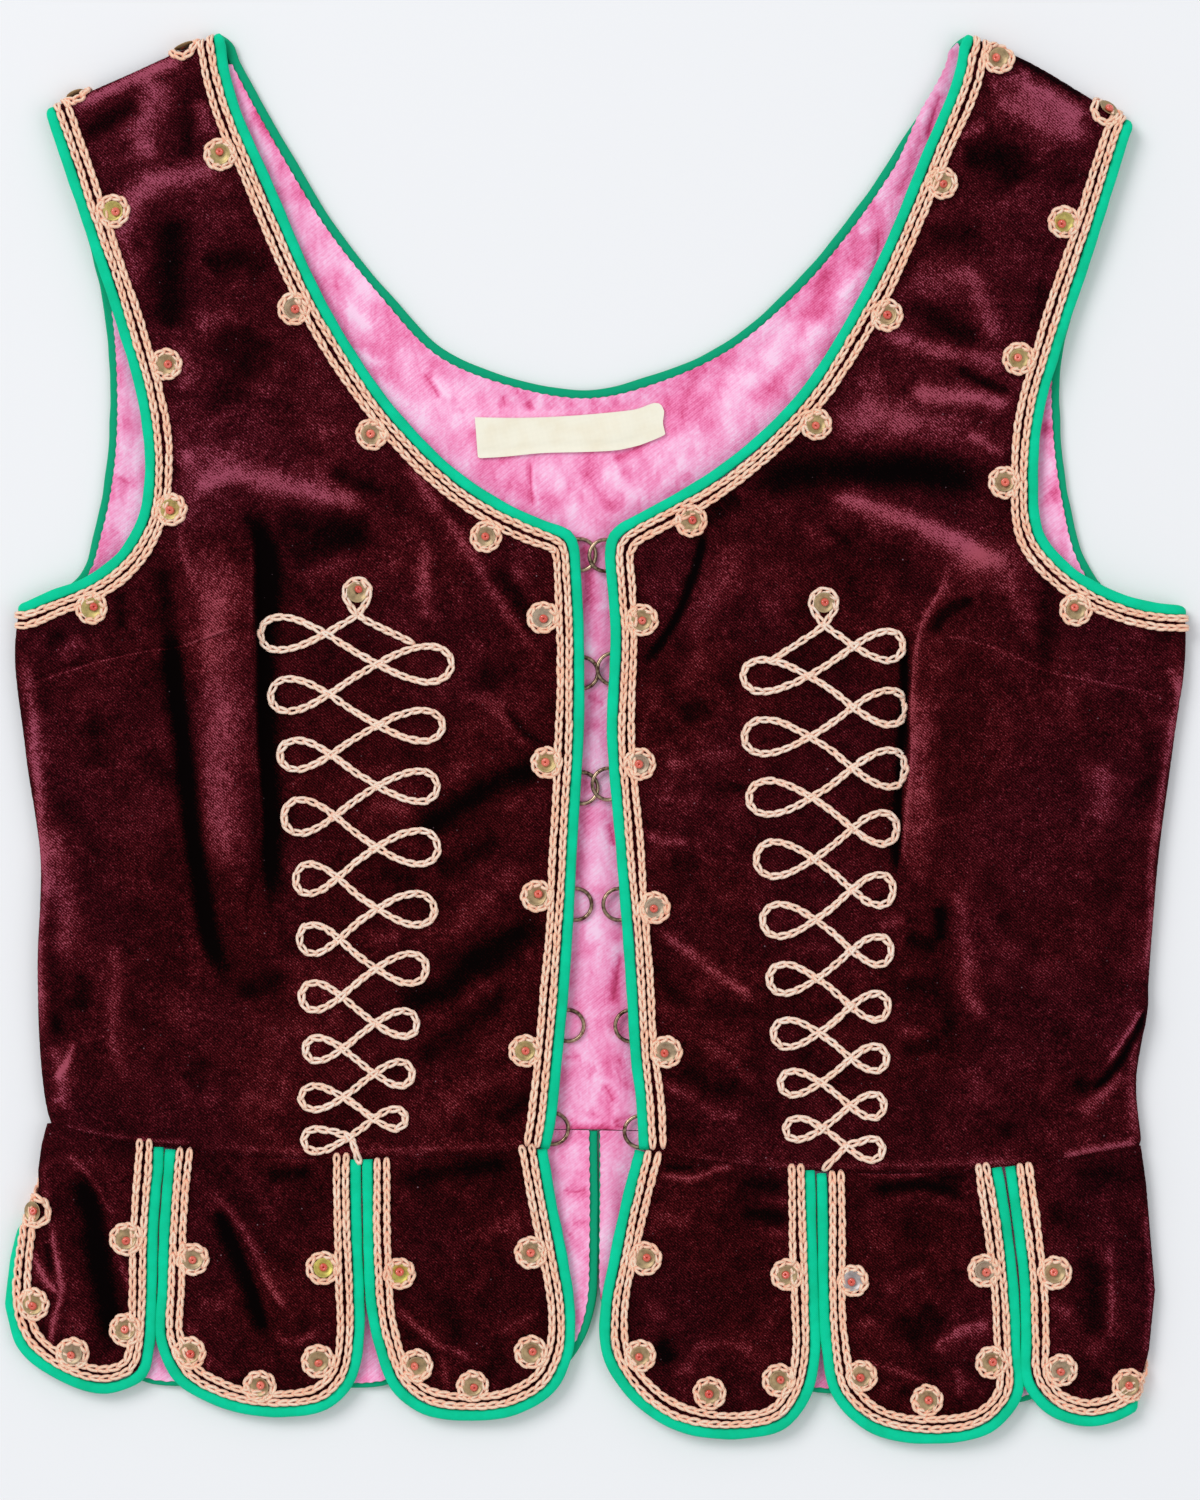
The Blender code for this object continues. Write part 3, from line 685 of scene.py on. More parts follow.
@dataclass(frozen=True)
class Tape:
    """The bias tape that closes the cut edges.

    Attributes:
        gap: room between the velvet's cut edge and the tape.
        width: width of the tape over the edge.
        depth: thickness over both faces.
        proud: how far it stands above the velvet.
        corners: points round its section.
        squareness: 1 is an oval section, less is squarer.
        unevenness: how far its width and puff wander.
        crown: how far its outer face swells between its edges.
        step: distance between its rings of points.
    """

    gap: float = 0.3
    width: float = 4.0
    depth: float = 2.8
    proud: float = 0.5
    corners: int = 16
    squareness: float = 0.55
    unevenness: float = 0.09
    crown: float = 0.16
    step: float = 1.7

    @property
    def reach(self) -> float:
        """From the finished edge back to the velvet."""
        return self.gap + self.width

    def sew(
        self,
        name: str,
        track: Track,
        finish: bpy.types.Material,
        seed: int,
        closed: bool = False,
    ) -> bpy.types.Object:
        """Sweep the tape along a track.

        Args:
            name: the piece's name, which is also the node that it replaces.
            track: the edge that it follows.
            finish: the material.
            seed: starts its unevenness.
            closed: whether its end joins its start.

        Returns:
            The tape.
        """
        count = len(track.points)
        rng = np.random.default_rng(seed)
        wander = sum(
            rng.uniform(0.3, 1) * np.sin(np.arange(count) * rng.uniform(0.12, 1.1) + rng.uniform(0, 6))
            for _ in range(6)
        )
        wander *= self.unevenness / 2
        puff = np.roll(wander, count // 3)
        turns = np.arange(self.corners) * 2 * math.pi / self.corners
        across = np.sign(np.cos(turns)) * np.abs(np.cos(turns)) ** self.squareness
        up = np.sign(np.sin(turns)) * np.abs(np.sin(turns)) ** self.squareness
        middle = self.gap + self.width / 2
        outs = middle + across[None] * (self.width / 2) * (1 + 0.5 * wander[:, None])
        crown = self.crown * (1 - across[None] ** 2) * (up[None] > 0)
        ups = self.proud - self.depth / 2 + up[None] * (self.depth / 2) * (1 + 0.35 * puff[:, None])
        ups = ups + crown - track.sinks[:, None]
        verts = (
            track.points[:, None]
            + outs[..., None] * track.outs[:, None]
            + ups[..., None] * track.normals[:, None]
        )
        size = self.corners
        faces = [tube_faces(1, count, size, closed)]
        if not closed:
            ends = np.array([np.arange(size)[::-1], np.arange(size) + (count - 1) * size])
            faces.append(ends)
        piece = make_piece(name, verts.reshape(-1, 3), faces, finish)
        # how far the tape faces down, for the painted shade in its finish
        paint(piece, "under", np.repeat(np.clip(-track.normals[:, 2], 0, 1), size))
        facing_right(piece)
        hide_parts(name)
        return piece


def facing_right(piece: bpy.types.Object) -> None:
    """Turn a closed piece's faces outwards if it is inside out."""
    mesh = piece.data
    mesh.calc_loop_triangles()
    verts = np.zeros(len(mesh.vertices) * 3, np.float32)
    mesh.vertices.foreach_get("co", verts)
    corners = np.zeros(len(mesh.loop_triangles) * 3, np.int32)
    mesh.loop_triangles.foreach_get("vertices", corners)
    a, b, c = verts.reshape(-1, 3)[corners.reshape(-1, 3)].transpose(1, 0, 2).astype(float)
    if float((a * np.cross(b, c)).sum()) < 0:
        mesh.flip_normals()


# Stitches, sequins and beads ------------------------------------------------------


@dataclass(frozen=True)
class Loop:
    """The shape of one chain-stitch link.

    Attributes:
        pitch: distance from one link to the next.
        overlap: length of a link in pitches.
        width: width over the thread's outer sides.
        thread: radius of the thread.
        outward: how much wider a link is on the right hand of its run.
        steps: points round a link.
        sides: sides of the thread.
        pinch: how fast a link narrows at its start.
        shift: how far it strays along its row, in pitches.
        tail: how much longer the last link is, as a share of the one before.
        lean: how far its end strays sideways.
        widths: range of the links' widths about the usual one.
        heights: range of their heights.
        threads: range of their threads' radii.
    """

    pitch: float = 3.8
    overlap: float = 1.38
    width: float = 3.0
    thread: float = 0.65
    outward: float = 1.0
    steps: int = 13
    sides: int = 5
    pinch: float = 0.75
    shift: float = 0.05
    tail: float = 0.35
    lean: float = 0.09
    widths: tuple[float, float] = (0.88, 1.12)
    heights: tuple[float, float] = (0.9, 1.12)
    threads: tuple[float, float] = (0.92, 1.1)

    def form(self) -> tuple[Points, Points, Points]:
        """A link's line, that crosses the link before it and dips at its start.

        Returns:
            At each point the share of the link's length, the place across it and
            the height in threads.
        """
        turn = np.arange(self.steps) * 2 * math.pi / self.steps
        share = (1 - np.cos(turn)) / 2
        across = np.sin(turn) * np.sin(turn / 2) ** self.pinch
        across *= (self.width / 2 - self.thread) / np.abs(across).max()
        across = np.where(across < 0, across * self.outward, across)
        crossing = 0.95 * np.exp(-(((share - 0.3) / 0.16) ** 2))
        dip = 0.35 * np.exp(-((share / 0.1) ** 2))
        return share, across, 0.8 + 1.55 * (crossing - dip)


@dataclass
class Chain:
    """Chain stitches gathered into one piece."""

    name: str
    finish: bpy.types.Material
    slot: str = "thread"
    seed: int = 1
    tubes: list[Points] = field(default_factory=list)
    tones: list[Points] = field(default_factory=list)
    painted_shades: list[Points] = field(default_factory=list)

    def sew(self, surface: Surface, path: Points, loop: Loop, closed: bool = False) -> None:
        """Add a row of links along a path in the spread.

        Args:
            surface: the cloth's surface.
            path: the row's line.
            loop: the shape of a link.
            closed: whether the row joins up with its start.
        """
        rng = np.random.default_rng(self.seed)
        self.seed += 1
        length = lengths_along(path)[-1]
        count = max(3, round(length / loop.pitch))
        pitch = length / count
        where = np.arange(count) * pitch
        if not closed:
            where = np.clip(where + rng.normal(0, loop.shift * pitch, count), 0, length)
        start = at_lengths(path, where)
        ahead = where + loop.overlap * pitch
        if closed:
            end = at_lengths(path, ahead % length)
        else:
            end = at_lengths(path, np.minimum(ahead, length))
            end[-1] += (end[-2] - start[-2]) * loop.tail
        run = end - start
        size = np.linalg.norm(run, axis=1)
        run /= size[:, None]
        side = np.column_stack([-run[:, 1], run[:, 0]])
        share, breadth, lift = loop.form()
        wide = breadth[None] * rng.uniform(*loop.widths, count)[:, None]
        lean = rng.normal(0, loop.lean, count)[:, None] * share[None]
        plan = (
            start[:, None]
            + (share[None] * size[:, None])[..., None] * run[:, None]
            + (wide + lean)[..., None] * side[:, None]
        )
        rise = loop.thread * lift[None] * rng.uniform(*loop.heights, count)[:, None]
        flat = plan.reshape(-1, 2)
        normal = surface.normals(flat).reshape(count, loop.steps, 3)
        centre = surface.place(flat).reshape(count, loop.steps, 3) + rise[..., None] * normal
        tangent = np.roll(centre, -1, axis=1) - np.roll(centre, 1, axis=1)
        tangent /= np.maximum(np.linalg.norm(tangent, axis=2), 1e-9)[..., None]
        across = np.cross(tangent, normal)
        across /= np.maximum(np.linalg.norm(across, axis=2), 1e-9)[..., None]
        above = np.cross(across, tangent)
        turns = np.arange(loop.sides) * 2 * math.pi / loop.sides
        thick = loop.thread * rng.uniform(*loop.threads, (count, 1, 1, 1))
        tube = centre[:, :, None] + thick * (
            np.cos(turns)[None, None, :, None] * across[:, :, None]
            + np.sin(turns)[None, None, :, None] * above[:, :, None]
        )
        self.tubes.append(tube.reshape(-1, loop.steps, loop.sides, 3))
        tone = rng.normal(0, 1, count)
        self.tones.append(np.repeat(tone, loop.steps * loop.sides))
        # painted shade: the sides of the thread and the dip at each link's start, read by the finish
        sunk = 0.6 * np.exp(-((share / 0.16) ** 2))
        rim = np.clip(np.cos(turns)[None] ** 2 + sunk[:, None], 0, 1)
        self.painted_shades.append(np.tile(rim.ravel(), count))

    def build(self) -> bpy.types.Object:
        """Make the piece from all links sewn so far."""
        tubes = np.concatenate(self.tubes)
        count, steps, sides, _ = tubes.shape
        faces = tube_faces(count, steps, sides)
        piece = make_piece(self.name, tubes.reshape(-1, 3), [faces], self.finish)
        paint(piece, "tone", np.concatenate(self.tones))
        paint(piece, "rim", np.concatenate(self.painted_shades))
        return piece


@dataclass
class Scatter:
    """Many copies of one small turned shape, gathered into one piece.

    Attributes:
        name: the piece's name.
        finish: the material.
        slot: name of a material slot; not used.
        profile: radius and height of the shape, from one end to the other.
        sides: points round the shape.
        shut: whether the profile's end joins its start.
    """

    name: str
    finish: bpy.types.Material
    slot: str
    profile: Points
    sides: int = 24
    shut: bool = True
    parts: list[Points] = field(default_factory=list)
    tones: list[float] = field(default_factory=list)

    def add(self, centre: Points, axes: Points, tone: float = 0.0, scale: float = 1.0) -> None:
        """Add a copy.

        Args:
            centre: its place.
            axes: its three unit vectors, the last one up out of the cloth.
            tone: a number that its finish reads.
            scale: its size.
        """
        turns = np.arange(self.sides) * 2 * math.pi / self.sides
        radius, height = self.profile[:, 0], self.profile[:, 1]
        local = np.stack(
            [
                radius[:, None] * np.cos(turns)[None],
                radius[:, None] * np.sin(turns)[None],
                np.repeat(height[:, None], self.sides, axis=1),
            ],
            axis=-1,
        )
        self.parts.append(centre + scale * local @ axes)
        self.tones.append(tone)

    def build(self) -> bpy.types.Object:
        """Make the piece from all copies added so far."""
        parts = np.stack(self.parts)
        count, rings, sides, _ = parts.shape
        faces = tube_faces(count, rings, sides, self.shut)
        piece = make_piece(self.name, parts.reshape(-1, 3), [faces], self.finish)
        paint(piece, "tone", np.repeat(self.tones, rings * sides))
        facing_right(piece)
        return piece


@dataclass(frozen=True)
class Rosette:
    """A sequin and a bead inside a ring of chain stitches.

    Attributes:
        share: share of the velvet edge's length at which it sits.
        inset: distance in from the velvet's edge.
        tone: colour of the sequin, 0 olive, 1 yellow-green, -1 silver.
        over: how far it lies beyond the end of the edge, over the shoulder.
    """

    share: float
    inset: float
    tone: float = 0.0
    over: float = 0.0


@dataclass
class Haberdashery:
    """The thread, sequins and beads, and the sizes in which they are sewn.

    Attributes:
        edge_loop: link of the rows along the edges.
        motif_loop: link of the looped line.
        ring_loop: link of the rings round the sequins.
        ring_radius: radius of the rings.
        rows: distances of the two rows from the velvet's edge.
        row_step: distance between the points that a row is drawn through.
        wander: how far the rows stray from their line.
        waves: lengths of the long and the short wave in which they stray.
        short_wave: size of the short one, in long ones.
        seed: starts their unevenness.
        ring_points: points that a ring is drawn through.
        ring_sizes: range of the rings' sizes about the usual one.
        sequin_sizes: range of the sequins' sizes.
        bead_sizes: range of the beads' sizes.
        lifts: how high a sequin and a bead lie over the velvet.
        leans: how far they lean.
        shades: how much the sequins differ in colour.
        off_middle: how far a bead sits off its sequin's middle.
    """

    dress: "Finishes"
    edge_loop: Loop = Loop()
    motif_loop: Loop = Loop(pitch=3.85, width=2.95, thread=0.63)
    ring_loop: Loop = Loop(pitch=3.5, overlap=1.3, width=2.8, thread=0.7, outward=1.5)
    ring_radius: float = 4.9
    rows: tuple[float, float] = (1.0, 4.4)
    row_step: float = 1.0
    wander: float = 0.32
    waves: tuple[float, float] = (17.0, 7.3)
    short_wave: float = 0.6
    seed: int = 40
    ring_points: int = 49
    ring_sizes: tuple[float, float] = (0.96, 1.04)
    sequin_sizes: tuple[float, float] = (0.97, 1.03)
    bead_sizes: tuple[float, float] = (0.93, 1.05)
    lifts: tuple[float, float] = (0.15, 0.35)
    leans: tuple[float, float] = (0.06, 0.25)
    shades: float = 0.3
    off_middle: float = 0.28

    def __post_init__(self) -> None:
        """Start the pieces that gather sequins and beads."""
        cup = [(0.55, 0.45), (1.1, 0.46), (2.1, 0.56), (2.95, 0.85), (3.55, 1.3),
               (3.66, 1.42), (3.54, 1.47), (2.95, 1.04), (2.1, 0.74), (1.1, 0.62), (0.55, 0.6)]
        turns = np.linspace(0, 2 * math.pi, 13)[:-1]
        bead = np.column_stack([0.85 + 0.7 * np.cos(turns), 1.25 + 0.8 * np.sin(turns)])
        self.sequins = Scatter("sequins", self.dress.sequin, "sequin", np.array(cup), 22)
        self.beads = Scatter("beads", self.dress.bead, "bead", bead, 16)
        self.rng = np.random.default_rng(self.seed)

    def edge_rows(self, chain: Chain, surface: Surface, line: Points, hand: int) -> None:
        """Sew the two rows along a bound edge.

        Args:
            chain: gathers the stitches.
            surface: the cloth's surface.
            line: the velvet's edge in the spread.
            hand: +1 where the velvet is on the left hand of the line's run.
        """
        line = evenly(line, self.row_step)
        along = lengths_along(line)
        for distance in self.rows:
            phase = self.rng.uniform(0, 6, 2)
            slow, quick = (np.sin(along / self.waves[k] + phase[k]) for k in (0, 1))
            stray = slow + self.short_wave * quick
            offset = distance + self.wander * stray / (1 + self.short_wave)
            path = line + hand * offset[:, None] * left_of(line)
            chain.sew(surface, path, self.edge_loop)

    def rosettes(
        self, chain: Chain, surface: Surface, line: Points, hand: int,
        places: Sequence[Rosette], up: Points | None = None,
    ) -> None:
        """Sew rosettes along a bound edge.

        Args:
            chain: gathers the stitches.
            surface: the cloth's surface.
            line: the velvet's edge in the spread.
            hand: +1 where the velvet is on the left hand of the line's run.
            places: the rosettes.
            up: direction in the spread beyond the line's end.
        """
        lengths = lengths_along(line)
        ways = left_of(line) * hand
        for place in places:
            where = place.share * lengths[-1]
            at = np.array([np.interp(where, lengths, axis) for axis in line.T])
            way = np.array([np.interp(where, lengths, axis) for axis in ways.T])
            centre = at + way / np.linalg.norm(way) * place.inset
            if up is not None:
                centre = centre + place.over * up
            self.rosette(chain, surface, centre, place.tone)

    def rosette(self, chain: Chain, surface: Surface, centre: Points, tone: float = 0.0) -> None:
        """Sew one rosette at a point of the spread."""
        turns = np.linspace(0, 2 * math.pi, self.ring_points) + self.rng.uniform(0, 6)
        radius = self.ring_radius * self.rng.uniform(*self.ring_sizes)
        ring = centre + radius * np.column_stack([np.cos(turns), np.sin(turns)])
        chain.sew(surface, ring, self.ring_loop, closed=True)
        self.sequin(surface, centre, tone)

    def sequin(self, surface: Surface, centre: Points, tone: float = 0.0) -> None:
        """Sew a sequin and its bead at a point of the spread."""
        at, rng = centre[None], self.rng
        normal, place = surface.normals(at)[0], surface.place(at)[0]
        foot, seat = (place + lift * normal for lift in self.lifts)
        axes = frame_about(normal + rng.normal(0, self.leans[0], 3), rng.uniform(0, 6))
        shade = tone + rng.normal(0, self.shades)
        self.sequins.add(foot, axes, shade, rng.uniform(*self.sequin_sizes))
        off = rng.normal(0, self.off_middle, 2)
        lean = frame_about(normal + rng.normal(0, self.leans[1], 3), rng.uniform(0, 6))
        seat = seat + off[0] * axes[0] + off[1] * axes[1]
        self.beads.add(seat, lean, rng.normal(0, 1), rng.uniform(*self.bead_sizes))

    def finish(self) -> None:
        """Make the pieces that hold all sequins and all beads."""
        self.sequins.build()
        self.beads.build()


def frame_about(normal: Points, turn: float) -> Points:
    """Three unit vectors, one a row, the last along a normal."""
    up = normal / np.linalg.norm(normal)
    east = np.cross([0.0, 1.0, 0.0], up)
    east /= max(np.linalg.norm(east), 1e-9)
    north = np.cross(up, east)
    return np.stack(
        [
            math.cos(turn) * east + math.sin(turn) * north,
            math.cos(turn) * north - math.sin(turn) * east,
            up,
        ]
    )


# Shader maths -------------------------------------------------------------------


class Value:
    """A number socket of a finish, for Python's operators."""

    def __init__(self, recipe: "Recipe", socket: bpy.types.NodeSocket) -> None:
        """Keep the socket and the recipe that it belongs to."""
        self.recipe = recipe
        self.socket = socket

    def math(self, operation: str, *values: "float | Value") -> "Value":
        """A Math node on values.

        Args:
            operation: the node's operation.
            values: its operands in order.

        Returns:
            The node's result.
        """
        sockets = dict(enumerate(values))
        node = self.recipe.node("ShaderNodeMath", {"operation": operation}, sockets)
        return Value(self.recipe, node.outputs[0])

    def __add__(self, other: "float | Value") -> "Value":
        """Sum."""
        return self.math("ADD", self, other)

    def __radd__(self, other: float) -> "Value":
        """Sum with the number first."""
        return self.math("ADD", other, self)

    def __sub__(self, other: "float | Value") -> "Value":
        """Difference."""
        return self.math("SUBTRACT", self, other)

    def __rsub__(self, other: float) -> "Value":
        """Difference with the number first."""
        return self.math("SUBTRACT", other, self)

    def __mul__(self, other: "float | Value") -> "Value":
        """Product."""
        return self.math("MULTIPLY", self, other)

    def __rmul__(self, other: float) -> "Value":
        """Product with the number first."""
        return self.math("MULTIPLY", other, self)

    def __truediv__(self, other: "float | Value") -> "Value":
        """Quotient."""
        return self.math("DIVIDE", self, other)

    def __pow__(self, other: float) -> "Value":
        """Power."""
        return self.math("POWER", self, other)

    def clamped(self) -> "Value":
        """The value kept from 0 to 1."""
        return self.math("MINIMUM", self.math("MAXIMUM", self, 0.0), 1.0)

    def over(self, low: float, high: float) -> "Value":
        """The value's way from `low` to `high`, from 0 to 1."""
        return ((self - low) / (high - low)).clamped()


Colour = tuple[float, float, float]


class Recipe:
    """Builds the nodes of one material."""

    def __init__(self, name: str) -> None:
        """Start a material with a plain shader."""
        self.material = bpy.data.materials.new(name)
        self.material.use_nodes = True
        self.tree = self.material.node_tree
        self.shader = self.tree.nodes["Principled BSDF"]
        coordinates = self.node("ShaderNodeTexCoord")
        self.place = coordinates.outputs["Object"]

    def node(
        self,
        kind: str,
        settings: dict[str, Any] | None = None,
        sockets: dict[str | int, Any] | None = None,
    ) -> bpy.types.Node:
        """A node with its settings and sockets filled in.

        Args:
            kind: the node's type.
            settings: its properties, and `stops` for a ramp.
            sockets: values or links for its inputs.

        Returns:
            The node.
        """
        node = self.tree.nodes.new(kind)
        for name, value in (settings or {}).items():
            if name == "stops":
                self.fill_ramp(node, value)
            else:
                setattr(node, name, value)
        for name, value in (sockets or {}).items():
            self.fill(node.inputs[name], value)
        return node

    def fill_ramp(self, node: bpy.types.Node, stops: Sequence[tuple[float, Colour]]) -> None:
        """Give a ramp its stops."""
        elements = node.color_ramp.elements
        while len(elements) < len(stops):
            elements.new(0.5)
        for element, (position, colour) in zip(elements, stops):
            element.position = position
            element.color = (*colour, 1)

    def fill(self, socket: bpy.types.NodeSocket, value: Any) -> None:
        """Link or set one input."""
        if isinstance(value, Value):
            self.tree.links.new(value.socket, socket)
        elif isinstance(value, bpy.types.NodeSocket):
            self.tree.links.new(value, socket)
        elif isinstance(value, tuple) and len(value) == 3 and socket.type == "RGBA":
            socket.default_value = (*value, 1)
        else:
            socket.default_value = value

    def set(self, **sockets: Any) -> None:
        """Set or link the shader's own sockets, with _ for each space."""
        for name, value in sockets.items():
            self.fill(self.shader.inputs[name.replace("_", " ")], value)

    def noise(
        self, size: float, detail: float = 3.0, roughness: float = 0.5,
        place: Any = None, distortion: float = 0.0,
    ) -> Value:
        """Soft noise with features about `size` millimetres wide."""
        node = self.node(
            "ShaderNodeTexNoise",
            None,
            {
                "Vector": self.place if place is None else place,
                "Scale": 1000.0 / size,
                "Detail": detail,
                "Roughness": roughness,
                "Distortion": distortion,
            },
        )
        return Value(self, node.outputs["Fac"])

    def specks(self, size: float) -> tuple[Value, Value]:
        """Cells about `size` millimetres wide.

        Returns:
            The distance from each cell's centre in cells, and a number from 0
            to 1 for each cell.
        """
        sockets = {"Vector": self.place, "Scale": 1000.0 / size, "Randomness": 1.0}
        node = self.node("ShaderNodeTexVoronoi", None, sockets)
        split = self.node("ShaderNodeSeparateColor", None, {0: node.outputs["Color"]})
        return Value(self, node.outputs["Distance"]), Value(self, split.outputs[0])

    def turned(self, degrees: float, scale: tuple[float, float, float] = (1, 1, 1)) -> Any:
        """The place turned about the vertical and scaled."""
        node = self.node(
            "ShaderNodeMapping",
            {"vector_type": "POINT"},
            {"Vector": self.place, "Rotation": (0, 0, math.radians(degrees)), "Scale": scale},
        )
        return node.outputs[0]

    def ribs(self, period: float, degrees: float, waver: float = 1.0) -> Value:
        """Fine parallel ribs.

        Args:
            period: distance from rib to rib in millimetres.
            degrees: way across the ribs.
            waver: how far they waver.

        Returns:
            A value from 0 to 1.
        """
        node = self.node(
            "ShaderNodeTexWave",
            {"wave_type": "BANDS", "bands_direction": "X", "wave_profile": "SIN"},
            {
                "Vector": self.turned(degrees),
                "Scale": 1000.0 / period / 6.2832 * 2,
                "Distortion": waver,
                "Detail": 2.0,
                "Detail Scale": 1.6,
            },
        )
        return Value(self, node.outputs["Fac"])

    def attribute(self, name: str) -> Value:
        """A number painted on the piece."""
        node = self.node("ShaderNodeAttribute", {"attribute_name": name})
        return Value(self, node.outputs["Fac"])

    def mix(self, factor: Any, first: Any, second: Any, blend: str = "MIX") -> Any:
        """A colour between two colours."""
        node = self.node("ShaderNodeMix", {"data_type": "RGBA", "blend_type": blend})
        self.fill(node.inputs[0], factor)
        self.fill(node.inputs[6], first)
        self.fill(node.inputs[7], second)
        return node.outputs[2]

    def shaded(self, colour: Any, strength: Value) -> Any:
        """A colour multiplied by a value."""
        grey = self.node("ShaderNodeCombineColor", None, {0: strength, 1: strength, 2: strength})
        return self.mix(1.0, colour, grey.outputs[0], "MULTIPLY")

    def bump(self, height: Value, depth: float, strength: float = 1.0) -> None:
        """Raise the surface's detail.

        Args:
            height: from 0 to 1.
            depth: millimetres for 1.
            strength: share of the effect.
        """
        node = self.node(
            "ShaderNodeBump",
            None,
            {"Strength": strength, "Distance": depth * MM, "Height": height},
        )
        self.set(Normal=node.outputs[0])


# Finishes -----------------------------------------------------------------------


@dataclass(frozen=True)
class Velvet:
    """Burgundy velvet: deep pile with a diagonal grain, specks of lint, and painted highlights and painted
    shade read from an attribute.

    Attributes:
        pile: colours from the painted shade of the deepest hollows, through the velvet's own burgundy, to
            the painted highlight on the ridges.
        purple: tint of the purple patches.
        lint: colour of the lint.
        grain: distance from one diagonal rib to the next.
        sides: from how far off the middle it grows purple, in metres.
        chest: from how far up it grows lighter and purple, in metres.
    """

    pile: tuple[tuple[float, Colour], ...] = (
        (0.0, (0.0016, 0.0006, 0.0006)), (0.15, (0.0050, 0.0008, 0.0009)),
        (0.35, (0.018, 0.0012, 0.0019)), (0.5, (0.034, 0.0021, 0.0032)),
        (0.65, (0.070, 0.0047, 0.0068)), (0.8, (0.132, 0.0112, 0.0155)),
        (1.0, (0.36, 0.066, 0.086)),
    )
    purple: Colour = (0.98, 1.08, 1.42)
    lint: Colour = (0.34, 0.20, 0.24)
    grain: float = 0.8
    sides: tuple[float, float] = (0.12, 0.19)
    chest: tuple[float, float] = (0.03, 0.12)

    def make(self) -> bpy.types.Material:
        """The material."""
        r = Recipe("velvet")
        nap = r.attribute("nap")
        patches = r.noise(55, 2.0)
        clouds = r.noise(17, 3.0, 0.6, distortion=0.5)
        mottle = r.noise(4.4, 4.0, 0.65, distortion=0.6)
        fine = r.noise(0.65, 2.0, 0.7)
        ribs = r.ribs(self.grain, -48, 3.0)
        split = r.node("ShaderNodeSeparateXYZ", None, {0: r.place})
        across, upward = (Value(r, split.outputs[axis]) for axis in (0, 1))
        aside = across.math("ABSOLUTE", across).over(*self.sides)
        chest = upward.over(*self.chest)
        # painted highlight and painted shade from the painted attribute, with noise for the velvet's own
        # uneven tone
        lit = 0.43 + chest * 0.05 + nap * 0.58 + (clouds - 0.5) * 0.55 + (mottle - 0.5) * 0.55
        lit = lit + (ribs - 0.5) * 0.32 + (fine - 0.5) * 1.4
        ramp = r.node("ShaderNodeValToRGB", {"stops": self.pile}, {0: lit})
        body = ramp.outputs[0]
        tinted = (patches.over(0.45, 0.62) * 0.4 + aside * 0.5 + chest * 0.6).clamped()
        body = r.mix(tinted, body, r.mix(1.0, body, self.purple, "MULTIPLY"))
        distance, pick = r.specks(3.4)
        lint = (1 - distance.over(0.035, 0.075)) * pick.over(0.70, 0.72)
        far, other = r.specks(7.0)
        fluff = (1 - far.over(0.02, 0.045)) * other.over(0.55, 0.57)
        body = r.mix((lint * 0.3 + fluff * 0.6).clamped(), body, self.lint)
        r.set(Base_Color=body, Roughness=0.95)
        r.set(Sheen_Weight=0.03, Sheen_Roughness=0.4, Sheen_Tint=(0.75, 0.22, 0.32))
        r.set(Specular_IOR_Level=0.02)
        r.bump(ribs * 0.35 + fine * 0.8 + mottle * 1.5, 0.14, 0.6)
        return r.material


@dataclass(frozen=True)
class Satin:
    """Pink satin lining, glossy and crumpled, with painted shade in its creases and painted highlights of
    gloss.

    Attributes:
        sheen: colours from the painted shade of the deepest crease to the painted highlight of the
            brightest gloss.
    """

    sheen: tuple[tuple[float, Colour], ...] = (
        (0.0, (0.50, 0.02, 0.115)), (0.22, (0.72, 0.07, 0.235)), (0.45, (0.90, 0.20, 0.44)),
        (0.62, (0.96, 0.32, 0.58)), (0.8, (1.0, 0.46, 0.72)), (1.0, (1.0, 0.62, 0.84)),
    )

    def make(self) -> bpy.types.Material:
        """The material."""
        r = Recipe("satin")
        nap = r.attribute("nap")
        streaks = r.noise(4.0, 3.0, 0.6, place=r.turned(28, (1.0, 0.4, 1.0)), distortion=0.4)
        blotches = r.noise(19, 3.0, 0.55, distortion=0.6)
        weave = r.ribs(0.75, 52, 1.4)
        moire = r.ribs(1.7, 52, 2.6)
        fine = r.noise(0.8, 2.0, 0.6)
        # painted shade and painted gloss: from the painted attribute and from streaks and blotches of noise
        lit = 0.62 + nap * 0.5 + (streaks - 0.5) * 0.75 + (blotches - 0.5) * 1.25
        lit = lit + (weave - 0.5) * 0.12 + (fine - 0.5) * 0.4
        lit = lit + (moire - 0.5) * (streaks - 0.3).clamped() * 0.4
        ramp = r.node("ShaderNodeValToRGB", {"stops": self.sheen}, {0: lit})
        r.set(Base_Color=ramp.outputs[0], Roughness=0.42 + blotches * 0.15)
        r.set(Specular_IOR_Level=0.35, Sheen_Weight=0.1, Sheen_Roughness=0.3)
        r.bump(streaks * 0.8 + weave * 0.1 + blotches * 0.8, 0.4, 0.6)
        return r.material


